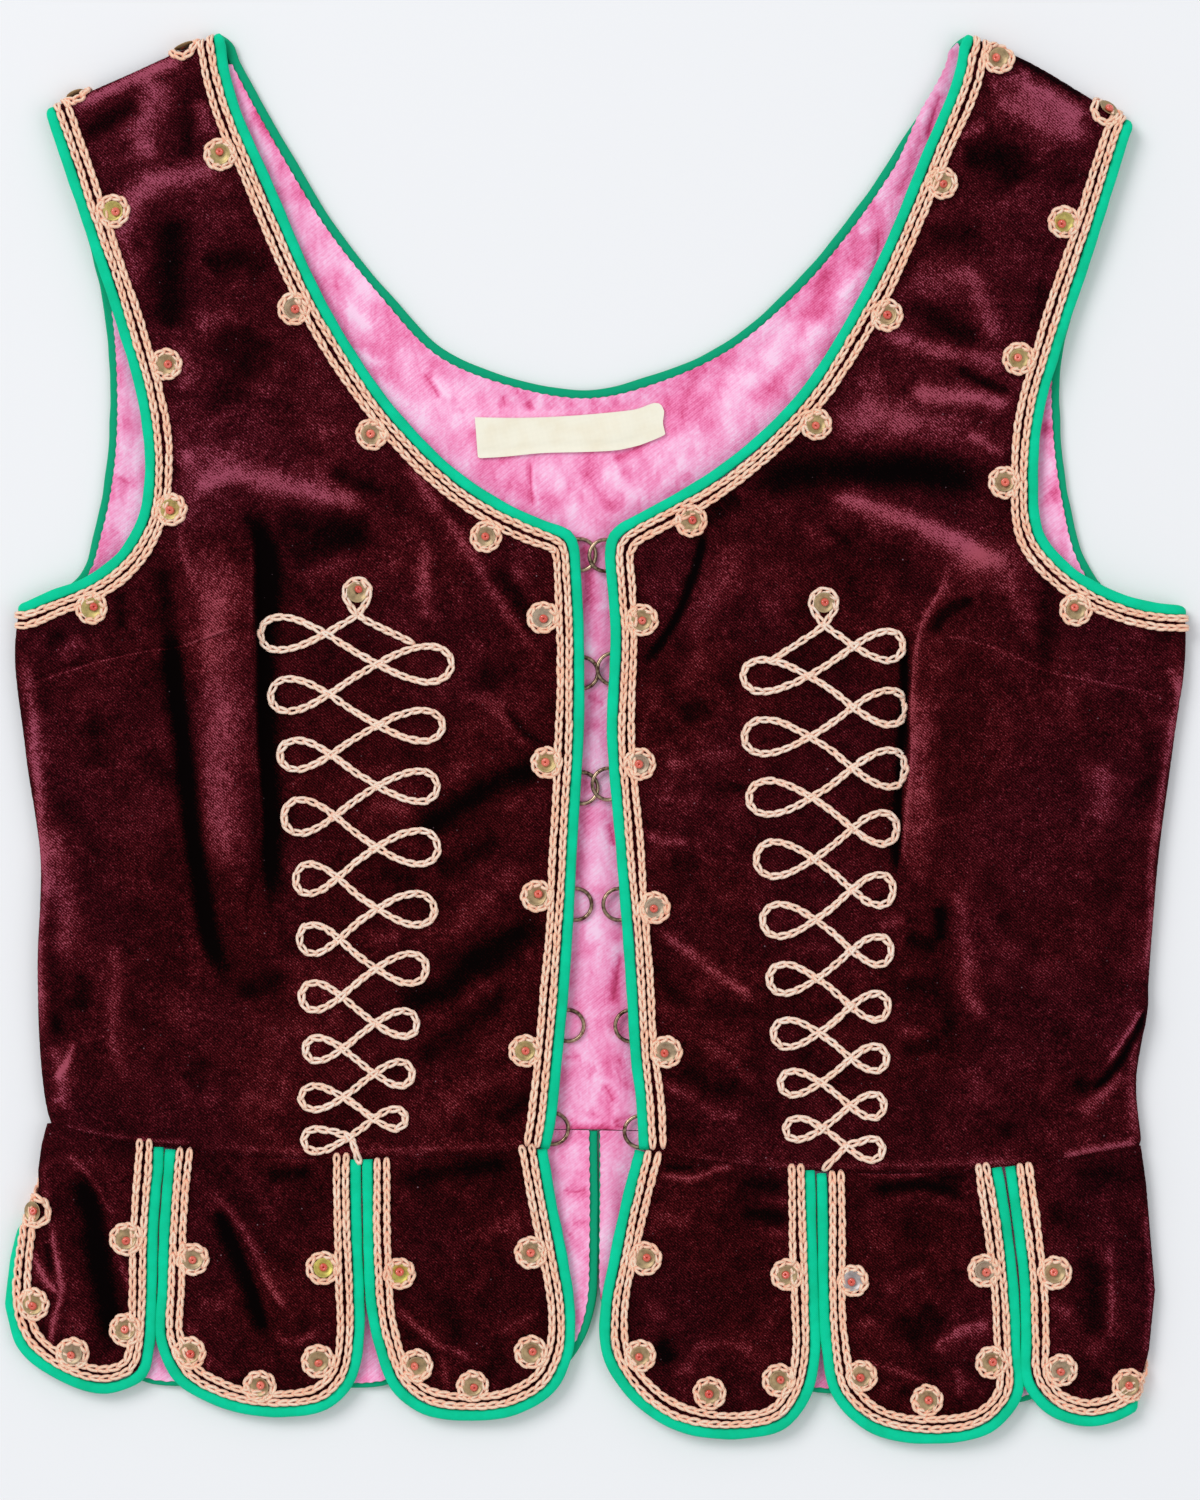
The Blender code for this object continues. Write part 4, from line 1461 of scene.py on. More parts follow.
@dataclass(frozen=True)
class TapeFinish:
    """Green cotton tape, bright outside, darker where it faces down: partly its inner side's own green,
    partly painted shade.
    """

    # inside: where the tape faces down, its inner side's green darkened as painted shade
    inside: Colour = (0.002, 0.36, 0.18)
    face: Colour = (0.0002, 0.655, 0.36)
    worn: Colour = (0.0004, 0.535, 0.275)

    def make(self) -> bpy.types.Material:
        """The material."""
        r = Recipe("binding")
        under = r.attribute("under")
        patches = r.noise(9, 3.0)
        fine = r.noise(0.8, 2.0, 0.6)
        weave = r.ribs(0.5, 45, 0.8)
        cross = r.ribs(0.5, -45, 0.8)
        body = r.mix(patches.over(0.3, 0.7), self.worn, self.face)
        # painted shade, with the inner side's own green, where the tape faces down
        body = r.mix(under, body, self.inside)
        body = r.shaded(body, 0.84 + weave * cross * 0.2 + fine * 0.16)
        r.set(Base_Color=body, Roughness=0.78)
        r.set(Specular_IOR_Level=0.12)
        r.bump(weave * cross * 0.5 + fine * 0.6 + patches * 0.6, 0.12, 0.6)
        return r.material


@dataclass(frozen=True)
class Thread:
    """Peach cotton thread, matt, pale peach on top, with painted orange shade at its sides and where each
    link dips under the one before.
    """

    name: str = "thread"
    face: Colour = (1.0, 0.66, 0.44)
    pale: Colour = (1.0, 0.86, 0.67)
    # shade: painted shade at the thread's sides and dips, also the colour of its soiling
    shade: Colour = (0.96, 0.26, 0.12)

    def make(self) -> bpy.types.Material:
        """The material."""
        r = Recipe(self.name)
        tone = r.attribute("tone")
        rim = r.attribute("rim")
        fluff = r.noise(0.7, 3.0, 0.65)
        soil = r.noise(24, 2.0)
        twist = r.ribs(0.42, 20, 3.0)
        body = r.mix((0.5 + tone * 0.22).clamped(), self.face, self.pale)
        # painted shade at the thread's sides and dips, broken by fluff
        body = r.mix((rim.over(0.25, 0.95) + (fluff - 0.5) * 1.1).clamped(), body, self.shade)
        body = r.mix(soil.over(0.55, 0.75) * 0.2, body, self.shade)
        r.set(Base_Color=body, Roughness=0.85)
        r.set(Sheen_Weight=1.0, Sheen_Roughness=0.7, Sheen_Tint=(1.0, 0.8, 0.68))
        r.set(Specular_IOR_Level=0.25)
        r.bump(twist * 0.6 + fluff * 0.7, 0.14, 0.9)
        return r.material


@dataclass(frozen=True)
class Sequin:
    """Thin metallised cups, most of them olive gold."""

    olive: Colour = (0.44, 0.32, 0.17)
    green: Colour = (0.60, 0.52, 0.12)
    silver: Colour = (0.46, 0.43, 0.42)

    def make(self) -> bpy.types.Material:
        """The material."""
        r = Recipe("sequin")
        tone = r.attribute("tone")
        wear = r.noise(1.6, 3.0, 0.6)
        body = r.mix(tone.over(0.25, 0.9), self.olive, self.green)
        body = r.mix(tone.over(-0.25, -0.9), body, self.silver)
        body = r.shaded(body, 0.35 + wear * 1.2)
        r.set(Base_Color=body, Roughness=0.3 + wear * 0.3, Metallic=0.6)
        r.bump(wear, 0.08, 0.5)
        return r.material


@dataclass(frozen=True)
class Bead:
    """Coral glass beads."""

    coral: Colour = (0.66, 0.065, 0.04)
    light: Colour = (0.80, 0.17, 0.11)

    def make(self) -> bpy.types.Material:
        """The material."""
        r = Recipe("bead")
        tone = r.attribute("tone")
        cloud = r.noise(1.5, 2.0)
        body = r.mix((0.4 + tone * 0.25).clamped(), self.coral, self.light)
        body = r.shaded(body, 0.85 + cloud * 0.3)
        r.set(Base_Color=body, Roughness=0.14)
        r.set(Coat_Weight=0.6, Coat_Roughness=0.05)
        return r.material


@dataclass(frozen=True)
class Brass:
    """Antique brass, dark in its pits and bright where it rubs."""

    bright: Colour = (0.66, 0.47, 0.32)
    dark: Colour = (0.065, 0.03, 0.018)

    def make(self) -> bpy.types.Material:
        """The material."""
        r = Recipe("brass")
        pits = r.noise(1.4, 4.0, 0.65)
        film = r.noise(6, 2.0)
        body = r.mix((pits * 0.6 + film * 0.5).over(0.45, 0.72), self.dark, self.bright)
        r.set(Base_Color=body, Roughness=0.16 + pits * 0.3, Metallic=1.0)
        r.bump(pits, 0.1, 0.6)
        return r.material


@dataclass(frozen=True)
class LabelCloth:
    """Cream woven label cloth, bare."""

    cream: Colour = (1.0, 0.95, 0.79)
    shade: Colour = (0.92, 0.81, 0.60)

    def make(self) -> bpy.types.Material:
        """The material."""
        r = Recipe("label")
        weft = r.ribs(0.45, 93.5, 0.4)
        warp = r.ribs(0.45, 3.5, 0.4)
        soil = r.noise(9, 3.0)
        body = r.mix(soil.over(0.45, 0.75) * 0.5, self.cream, self.shade)
        body = r.shaded(body, 0.88 + weft * warp * 0.16)
        r.set(Base_Color=body, Roughness=0.7)
        r.bump(weft * 0.5 + warp * 0.5, 0.08, 0.6)
        return r.material


@dataclass(frozen=True)
class Floor:
    """Plain pale paper under the bodice."""

    white: Colour = (0.875, 0.88, 0.90)

    def make(self) -> bpy.types.Material:
        """The material."""
        r = Recipe("floor")
        r.set(Base_Color=self.white, Roughness=0.9, Specular_IOR_Level=0.1)
        return r.material


class Finishes:
    """All finishes of the bodice."""

    def __init__(self) -> None:
        """Make each material once."""
        self.velvet = Velvet().make()
        self.satin = Satin().make()
        self.tape = TapeFinish().make()
        self.thread = Thread().make()
        # the motif's thread: face, pale, and painted shade colours
        self.motif = Thread("motif_thread", (1.0, 0.79, 0.61), (1.0, 0.92, 0.80), (0.98, 0.42, 0.26)).make()
        self.sequin = Sequin().make()
        self.bead = Bead().make()
        self.brass = Brass().make()
        self.label = LabelCloth().make()
        self.floor = Floor().make()


# Cuts ---------------------------------------------------------------------------


@dataclass(frozen=True)
class FrontCut:
    """Finished edges and folds of one front.

    Attributes:
        side: which front it is.
        outer: the side where it rolls under.
        armhole: from the underarm to the shoulder.
        back_armhole: the same edge on the back.
        shoulder: from the armhole to the neck.
        inner: from the waist up the front and the neck to the shoulder.
        waist: from the side to the front edge.
        folds: ridges and hollows of the solid.
        creases: finer ones.
        painted_light_marks: lines of painted highlight, above 0, or painted shade, below 0; they also lift
            or lower the velvet a little.
        inner_rosettes: along the inner edge.
        armhole_rosettes: along the armhole.
    """

    side: Side
    outer: Knots
    armhole: Knots
    back_armhole: Knots
    shoulder: Knots
    inner: Knots
    waist: Knots
    folds: tuple[Fold, ...]
    creases: tuple[Fold, ...]
    painted_light_marks: tuple[Fold, ...]
    inner_rosettes: tuple[Rosette, ...]
    armhole_rosettes: tuple[Rosette, ...]


LEFT_FRONT = FrontCut(
    side=Side.LEFT,
    outer=(
        (-196.8, -136.8), (-198.6, -128), (-200.8, -85), (-199.8, -45),
        (-205.2, -4), (-209.0, 36), (-207.7, 48.2),
    ),
    armhole=(
        (-207.7, 48.2), (-197, 53), (-184, 58), (-173, 66), (-165, 79),
        (-162.3, 98), (-165, 122), (-171, 144), (-183, 180), (-198.5, 226),
    ),
    back_armhole=(
        (-204.0, 48.6), (-195, 52), (-186, 59), (-181, 74), (-176.5, 98),
        (-175.1, 123), (-178, 158), (-185, 186), (-197.5, 222),
    ),
    shoulder=((-198.7, 225.7), (-168, 239), (-153.7, 246), (-133.2, 255)),
    inner=(
        (-16.8, -147.2), (-14.9, -137), (-13.2, -122), (-9.4, -80), (-7.0, -36), (-4.6, 8),
        (-4.8, 40), (-5.8, 59.8), (-6.8, 70.2), (-8.2, 73.6), (-11.4, 75.8),
        (-17, 77.8), (-28, 82.4), (-46, 93.2), (-70, 116), (-92, 147.5),
        (-117, 201), (-129.6, 231), (-133, 245.5), (-133.2, 256),
    ),
    waist=(
        (-196.8, -136.8), (-178, -143), (-143, -148), (-96, -150.9),
        (-46, -149.2), (-18.0, -147.0),
    ),
    folds=ridges(
        (3.6, 7, 13, -147, 62, -141, 97, -128, 100, -107, 95, -76, 84),
        (-1.6, 9, 8, -128, 78, -103, 72, -74, 66), (4.8, 12, 6.5, -134, 72, -130, 20, -131, -66),
        (-1.5, 4, 5, -117, 70, -116, 15, -119, -68), (-1.5, 6, -151, 44, -147, -20, -138, -84),
        (1.2, 9, -44, -46, -95, -82), (1.2, 10, -186, 205, -150, 176, -118, 168),
    ),
    creases=(
        Fold(
            (
                (-122.5, 84), (-121.5, 50), (-121, 10), (-123, -50), (-126, -74),
            ),
            -2.2, 3.2, 1.7, 0.12, True,
        ),
        Fold(((-124.5, 80), (-123.8, 48), (-123.4, 10), (-125, -56)), 1.0, 2.6, 1.6, 0.15, True),
        Fold(((-150, 34), (-149, 0), (-144, -40), (-138, -80)), -0.9, 3, 3, 0.2, True),
        Fold(
            (
                (-206, 19.4), (-193, 25), (-179, 28.4), (-161, 31.3), (-150, 33), (-125, 40),
            ),
            -0.8, 0.8, 0.8, 0.05, True,
        ),
        Fold(((-206, 21.5), (-179, 30.8), (-150, 35.5), (-127, 42)), 0.45, 2.2, 1.6, 0.1, True),
        Fold(((-96.5, -12), (-97, -84)), -0.5, 1.0, 1.0, 0.2),
        *ridges(
            (0.7, 6, -40, 60, -70, 40), (0.8, 7, -20, -90, -60, -118), (0.8, 8, -175, -60, -150, -110),
            (0.8, 6, 8, -196, -20, -168, -50), (0.7, 8, -60, 20, -28, 0), (-0.8, 4, -186, 210, -165, 186),
            (0.7, 5, -140, 225, -150, 190),
        ),
    ),
    painted_light_marks=painted_light_strokes(
        (
            0.85, 5.4, 3.8, -148.5, 86, -141, 91, -131.5, 94.5, -120.5, 93, -107, 89.5, -92.5, 86, -80,
            83.5,
        ),
        (0.18, 4.3, -150, 100, -141, 103, -127, 102), (-0.5, 3.2, -96, 97, -85, 91, -75, 88),
        (-0.5, 6.1, 7.2, -116, 79, -96, 75, -79, 78), (-0.4, 4.3, -111, 64, -96, 70, -82, 73),
        (0.3, 3.6, -107, 54, -93, 63, -85, 66),
        (0.55, 8.6, 7.2, -138, 74, -138.5, 50, -137, 28, -136.5, 7, -137, -13, -135, -33, -132, -50),
        (0.4, 0.9, -145.5, 82.5, -149.5, 74.5, -147, 61.5, -143.5, 53),
        (
            0.5, 0.5, 1.4, -125, 79.5, -123.5, 64.5, -123.5, 50, -122.5, 32, -122.5, 14, -122, -4, -120.5,
            -22, -119.5, -43.5,
        ),
        (
            -1.6, 4, 2.6, -129, 86, -125.5, 80.5, -121.5, 73.5, -120, 64.5, -120, 50, -120, 35.5, -120,
            14, -119, -4, -118, -22, -117.5, -43.5, -117.5, -63.5,
        ),
        (-0.7, 4.3, 1.4, -120.5, 71.5, -117.5, 57, -118.5, 39), (-0.5, 2.9, -157, 64, -154, 43, -153, 21),
        (
            -1.5, 3.2, 2.9, -153, 42, -151.5, 18, -149, 0, -147, -18, -145, -36, -142, -54, -139, -72,
            -134, -84, -131, -90,
        ),
        (
            0.75, 2.5, -207, 36, -203, 14, -202, -4, -200, -22, -200, -40, -198, -51, -200, -65, -200,
            -94, -198, -116,
        ),
        (0.4, 2.9, -193, 28, -184, 37), (-0.35, 3.2, -198, 36, -191, 37),
        (-0.4, 1.8, -171, 53.5, -171, 39), (-0.25, 4.3, -165, -2, -149, -18),
        (0.5, 5, -197, -29, -193, -51, -190, -69, -195, -80),
        (0.35, 2.5, -174, -69, -172, -87, -174, -101, -172, -116, -168, -126),
        (0.2, 2.5, -147, -54, -145, -69, -143, -80), (-0.35, 3.6, -184, -83, -186, -98),
        (-0.5, 2.2, -194, -99, -194, -107), (-0.3, 2.9, -179, -108, -177, -113),
        (-0.4, 4, -139, -115, -149, -123), (0.9, 1.1, -187.5, -108.5, -190.5, -116.5, -195, -123),
        (0.6, 2.9, -196, -109, -192, -118, -193, -134), (-0.5, 2.9, -130, -89, -121, -90, -112, -83),
        (0.25, 8.6, -114, -80, -98, -94, -118, -112, -121, -130),
        (0.25, 2.9, -130, -128, -114, -130, -110, -119),
        (
            0.55, 0.36, -206, 18.5, -193.5, 23, -179, 27.5, -161, 31.5, -150, 33, -137.5, 37.5, -128.5,
            40, -124, 40.5,
        ),
        (0.6, 0.7, -196, -138.5, -179, -141.5, -161, -144, -143, -145),
        (0.35, 1.4, 1.8, -143, -146, -96, -148, -56.5, -147, -18.5, -144.5),
        (0.25, 2.2, -100, 109, -94, 111), (0.45, 2.9, -61, 72, -62, 57, -61, 41),
        (0.5, 2.2, -73, 102, -66, 95, -58, 84, -51, 75, -44, 64, -38, 54, -31, 43, -24, 34, -19, 25),
        (-0.3, 2.2, -57, 86, -47, 77), (-0.5, 3.2, -38, 63, -28, 50, -21, 36),
        (0.4, 2.2, -30, 64, -27, 54), (-0.2, 3.2, -73, 93, -71, 79), (-0.3, 2.9, -42, 25, -35, 18),
        (0.35, 2.5, -51, 15, -39, 13, -33, 7), (-0.5, 1.4, -33, 12, -22.5, -0.5, -17.5, -2),
        (0.3, 1.8, -35.5, 8.5, -24, -3), (-0.85, 4, -67, -35, -49, -24, -35, -15, -18, -10),
        (0.2, 2.9, -57, -18, -46, -9), (0.25, 2.2, -35, -27, -24, -20, -18, -22),
        (-0.5, 3.6, -58, -48, -44, -41, -34, -36), (-0.5, 3.2, -43, -85, -34, -79, -24, -76),
        (-0.3, 4.5, -182, 10, -178, -2, -179, -12), (0.3, 3.6, -60, -74, -46, -65, -35, -54, -26, -45),
        (-0.85, 4.3, -73, -95, -53, -89, -42, -78, -31, -71, -18, -67),
        (0.2, 2.9, -51, -98, -42, -90, -35, -85, -21, -76),
        (-0.5, 3.6, -66, -116, -53, -107, -43, -99, -31, -91),
        (0.25, 2.9, -57, -134, -42, -125, -31, -121, -23, -116), (-0.5, 2.9, -36, -138, -23, -128),
        (-0.25, 4.3, -51, -135, -49, -141), (0.2, 1.8, -28.5, -139.5, -20, -133.5),
        (0.3, 2.9, -82, -22, -67, -27), (0.3, 2.2, -82, -71, -70, -71), (-0.3, 2.9, -78, -48, -64, -51),
        (0.9, 2.5, -190, 226, -175, 233, -160, 240, -146, 245),
        (-0.65, 3.2, -184, 217, -174, 223, -164, 229), (0.65, 5.4, -163, 206, -161, 222, -156, 238),
        (-0.35, 2.9, -148, 235, -147, 223, -148, 208), (0.45, 2.9, -143, 230, -140, 217),
        (0.75, 4.6, -172, 175, -169, 189, -164, 196, -154, 201, -143, 203, -132, 205),
        (0.3, 2.2, -170, 181, -167, 171, -165, 161),
        (-0.75, 5.4, -152, 189, -153, 176, -153, 158, -153, 145),
        (-0.5, 6.5, -141, 168, -130, 174, -118, 167), (0.3, 4.3, -144, 147, -134, 151, -128, 153),
        (0.3, 2.9, -148, 142, -147, 125), (-0.35, 6.1, -141, 142, -123, 142, -129, 129, -141, 118),
        (0.2, 3.6, -144, 108, -125, 122, -111, 129), (0.4, 3.6, -151, 98, -144, 102),
        (0.1, 5.4, -179, 212, -175, 201),
    ),
    inner_rosettes=(
        Rosette(0.075, 9.3, 0.7), Rosette(0.199, 9.3), Rosette(0.305, 8.4), Rosette(0.422, 10.2),
        Rosette(0.539, 9.9), Rosette(0.654, 8.4), Rosette(0.767, 6.9), Rosette(0.902, 8.6),
        Rosette(0.962, 8.0, 0.0, 13.6),
    ),
    armhole_rosettes=(
        Rosette(0.102, 6.9), Rosette(0.295, 6.7), Rosette(0.526, 8.8), Rosette(0.798, 7.7),
        Rosette(0.955, 8.8, 0.0, 13.4),
    ),
)

RIGHT_FRONT = FrontCut(
    side=Side.RIGHT,
    outer=(
        (195.5, -145.4), (193.9, -126), (198, -90), (201.5, -45),
        (207.5, 0), (211.7, 36), (211.3, 48.0),
    ),
    armhole=(
        (211.3, 48.0), (199, 49.2), (184.7, 53.6), (170, 62.5), (161, 73),
        (158.4, 93), (160, 115), (166, 138), (176.4, 169), (192.6, 221),
    ),
    back_armhole=(
        (208.0, 48.2), (195.5, 49.3), (183, 54), (176, 64), (170, 85),
        (166.8, 110), (167.2, 137), (174, 163), (191.4, 218),
    ),
    shoulder=((192.6, 221), (177.5, 230.5), (160, 241), (130.4, 254.4)),
    inner=(
        (15.0, -147.2), (14.0, -130), (12.2, -115.6), (10.6, -90), (6.5, -36), (3.6, 0),
        (4.6, 44), (3.4, 58), (2.9, 68), (3.9, 72.6), (6.8, 76.2),
        (12, 79.4), (18.4, 82.8), (41, 96), (69.5, 121), (93.6, 158),
        (117, 211), (129.4, 244), (130.4, 255),
    ),
    waist=(
        (195.5, -145.4), (160, -151.8), (110, -156), (60, -153.6),
        (15.0, -147.2),
    ),
    folds=ridges(
        (4.8, 12, 6, 146, 74, 129, 50, 118, 30, 117, -58), (-1.2, 5, 4, 108, 46, 107, 10, 106, -52),
        (2.4, 6, 8, 74, 88, 109, 79, 152, 63), (-1.4, 8, 6, 66, 97, 130, 91),
        (-1.4, 7, 122, -46, 123, -104), (1.6, 5, 8, 200, -90, 185, -112, 170, -126),
        (1.2, 9, 36, -56, 62, -98), (1.2, 10, 178, 204, 150, 184, 112, 176),
    ),
    creases=(
        Fold(
            (
                (138, 62), (122, 44), (112.4, 30), (110.6, 0), (109.6, -30), (109.6, -54),
            ),
            -2.2, 3.0, 1.7, 0.12, True,
        ),
        Fold(((140, 60), (124.5, 42), (115, 28), (113, 0), (112, -50)), 1.0, 1.8, 2.6, 0.15, True),
        Fold(
            (
                (122, 35.6), (145, 32.4), (157.7, 25.6), (181, 20.2), (200, 16.6), (209, 12.2),
            ),
            -0.8, 0.8, 0.8, 0.05, True,
        ),
        Fold(((124, 37.8), (145, 34.8), (181, 22.6), (209, 14.6)), 0.45, 1.6, 2.2, 0.1, True),
        Fold(((94.7, -10), (95, -88)), -0.5, 1.0, 1.0, 0.2),
        *ridges(
            (-0.7, 3.5, 197, -94, 174, -123), (0.7, 6, 40, 50, 72, 30), (0.8, 7, 24, -100, 60, -124),
            (0.8, 8, 150, -30, 180, -62), (0.7, 8, 58, 10, 28, -8), (-0.8, 4, 5, 160, 214, 150, 186),
        ),
    ),
    painted_light_marks=painted_light_strokes(
        (
            0.74, 2.9, 4.8, 80, 85, 89.5, 86.5, 98.5, 83.5, 109, 80, 120, 76, 130.5, 70.5, 139.5, 66,
            149.5, 64,
        ),
        (0.3, 6.1, 5.4, 112, 73, 126, 69, 140, 63, 156, 62),
        (-1, 6.1, 5.4, 54, 90, 73, 95, 91, 96.5, 109, 96, 127, 94, 142, 90), (-0.6, 3.6, 37, 79, 52, 87),
        (0.4, 6.1, 80, 109, 98, 114, 120, 112, 145, 109),
        (-1.35, 1.1, 1.6, 39, 76, 36.5, 64.5, 33.5, 55.5, 28.5, 43, 22.5, 34, 16.5, 25.5),
        (0.25, 6.5, 51, 72, 44, 54, 33, 32), (0.25, 4.3, 50, 36, 37, 26, 30, 18),
        (0.3, 1.8, 25, 17.5, 19, 10.5, 16.5, 2.5), (0.2, 4.3, 64, 64, 66, 50, 59, 43),
        (0.25, 3.2, 73, 77, 85, 69), (-0.35, 1.8, 81, 76, 92, 69.5),
        (-0.15, 5.4, 95, 64, 109, 64, 105, 50), (-0.45, 5, 30, 6, 39, 14),
        (
            0.65, 1.8, 0.4, 126.5, 67.5, 123, 53.5, 118, 45.5, 114.5, 35.5, 113, 21, 112.5, 7, 112.5,
            -7.5, 111, -22, 110, -40, 110, -52,
        ),
        (0.35, 3.6, 118, 21, 117, 0, 116, -22, 115, -40, 116, -55),
        (-1.6, 0.5, 1.8, 113, 40, 111, 32, 111, 21, 110, -0.5, 109, -18.5, 108, -36.5, 107.5, -52),
        (-0.9, 2.2, 120, 37, 125, 45, 132, 49, 136, 48), (0.25, 3.6, 140, 50, 149, 54, 154, 43, 155, 34),
        (-0.35, 2.9, 161, 61, 161, 43, 161, 17),
        (
            0.42, 0.4, 118, 34.5, 125.5, 36.5, 134.5, 35, 145, 32, 152.5, 28.5, 159.5, 25, 172, 22, 184.5,
            19.5, 199, 16, 209, 12,
        ),
        (0.2, 2.9, 120, 25, 128, 28), (0.2, 2.9, 113, 3, 124, 3),
        (
            0.7, 1.8, 207.5, 35.5, 209.5, 17.5, 206.5, 3, 203.5, -15, 201, -33, 199, -43.5, 199.5, -65,
            197.5, -79.5, 195.5, -94,
        ),
        (0.5, 1.4, 205, 26.5, 209, 15), (0.3, 2.2, 190, 43, 198, 36),
        (-0.3, 3.6, 199, 7, 198, -8, 197, -26), (0.2, 4.3, 170, 21, 168, 3),
        (0.4, 4.6, 180, -8, 182, -18, 180, -30), (0.25, 2.9, 23, -10, 37, -6, 50, -4),
        (-0.3, 2.9, 37, -17, 54, -18), (-0.25, 2.9, 18, 1, 34, 5), (0.25, 3.6, 22, -22, 38, -22),
        (0.65, 1.6, 16.5, -34, 24.5, -36.5, 34, -37), (-0.4, 3.2, 26, -44, 38, -44),
        (0.6, 2.2, 20, -68, 30, -74, 39, -81, 50, -89, 58, -94), (-0.4, 3.2, 19, -79, 26, -89, 34, -98),
        (-0.25, 4.3, 37, -94, 59, -105, 58, -113), (0.3, 2.5, 36, -108, 48, -116, 59, -125),
        (-0.35, 2.9, 29, -115, 37, -123, 52, -127), (0.45, 2.2, 23, -124, 33, -128, 42, -134, 52, -136),
        (-0.35, 2.9, 19, -138, 38, -140), (0.45, 2.2, 111, -64, 101, -68),
        (-0.6, 2.9, 110, -71, 122, -75), (0.25, 1.8, 107.5, -83, 117, -83),
        (-0.4, 3.6, 110, -89, 124, -89), (0.35, 1.8, 108.5, -105, 120.5, -105),
        (-0.4, 3.2, 108, -112, 124, -109), (0.25, 2.2, 66, -74, 85, -76),
        (0.5, 3.2, 127, -51, 131, -62, 131, -72, 134, -80, 132, -89, 136, -96, 142, -104),
        (-0.9, 1.8, 123, -59, 123.5, -73), (-0.25, 3.2, 122, -80, 125, -94, 127, -123),
        (-0.3, 2.9, 143, -64, 149, -69), (0.3, 2.9, 146, -72, 153, -77),
        (0.75, 0.5, 1.4, 196.5, -96, 191, -105, 187.5, -110, 182.5, -118),
        (-1.2, 1.4, 1.1, 198, -95.5, 193.5, -105, 188.5, -114, 183, -121.5, 176, -127),
        (0.5, 2.9, 189, -118, 181, -128, 172, -136), (0.25, 2.2, 167, -120, 159, -129),
        (-0.6, 2.5, 171, -122, 177, -126), (0.55, 1.8, 194, -101, 192, -123, 194, -145),
        (0.9, 1.3, 195.5, -144.5, 181, -147, 166, -150),
        (0.4, 1.4, 166, -151, 120, -152.5, 66, -153, 19, -148), (-0.5, 3.2, 147, -137, 147, -144),
        (0.25, 3.6, 134, -116, 140, -134), (0.9, 3.6, 4.3, 150, 235, 165, 229, 176, 222),
        (-0.8, 1.6, 134, 251.5, 148, 246, 162, 238.5, 178, 229), (0.5, 2.9, 140, 234, 157, 239),
        (0.6, 2.2, 131, 215, 139, 221), (0.6, 4.6, 141, 231, 152, 226, 164, 220, 178, 216),
        (-0.7, 6.8, 130, 211, 145, 208, 153, 198), (-0.35, 6.1, 161, 210, 170, 197),
        (-0.4, 4.3, 119, 181, 139, 181), (0.3, 5.4, 112, 167, 123, 163, 131, 171),
        (0.55, 3.8, 129, 172, 136, 162, 140, 151, 143, 141),
        (-0.55, 3.6, 110, 157, 120, 153, 131, 145, 139, 143), (-0.3, 3.6, 160, 166, 156, 147),
        (0.2, 4.3, 148, 174, 160, 172), (0.6, 3.4, 101, 148, 116, 141, 131, 138, 148, 133),
        (-0.7, 1.8, 128, 133.5, 138, 128.5, 149.5, 123.5),
        (0.9, 3.2, 112, 127, 120, 123, 131, 123, 140, 122, 150, 119), (0.3, 3.6, 94, 127, 103, 131),
        (0.3, 5.8, 91, 121, 109, 118, 117, 111), (0.6, 1.8, 132, 110, 139.5, 106, 147, 102),
    ),
    inner_rosettes=(
        Rosette(0.076, 8.6), Rosette(0.191, 7.8), Rosette(0.306, 6.8), Rosette(0.421, 7.0),
        Rosette(0.543, 7.0), Rosette(0.664, 7.9), Rosette(0.764, 7.7), Rosette(0.876, 6.2),
        Rosette(0.962, 7.2, 0.0, 9.8),
    ),
    armhole_rosettes=(
        Rosette(0.155, 7.9), Rosette(0.375, 8.0), Rosette(0.57, 9.4), Rosette(0.808, 9.3, 0.9),
        Rosette(0.965, 8.0, 0.0, 9.6),
    ),
)


@dataclass(frozen=True)
class TabCut:
    """One front tab.

    Attributes:
        name: the tab's name.
        side: the front that it hangs from.
        sections: down the tab, each (y, left edge x, right edge x).
        tip: its lowest point.
        folds: its ridges and hollows.
        rosettes: from the top left round the tip to the top right.
        turned_under: line round which its outer part turns under.
        painted_light_marks: lines of painted highlight, above 0, or painted shade, below 0; they also lift
            or lower the velvet a little.
        above: how far its edges run on above its first section.
        edge_step: distance between the points of its edge.
    """

    name: str
    side: Side
    sections: tuple[tuple[float, float, float], ...]
    tip: tuple[float, float]
    folds: tuple[Fold, ...]
    rosettes: tuple[Rosette, ...]
    turned_under: Knots | None = None
    painted_light_marks: tuple[Fold, ...] = ()
    above: float = 8.0
    edge_step: float = 0.6

    def outline(self, clearance: float) -> Points:
        """Its finished edge from its top left round its tip to its top right."""
        left = [(x + clearance, y) for y, x, _ in self.sections]
        right = [(x - clearance, y) for y, _, x in self.sections]
        for side in (left, right):
            (x, y), (below, lower) = side[:2]
            share = self.above / (y - lower)
            side.insert(0, (x + (x - below) * share, y + self.above))
        return evenly(smooth_line([*left, self.tip, *right[::-1]]), self.edge_step)


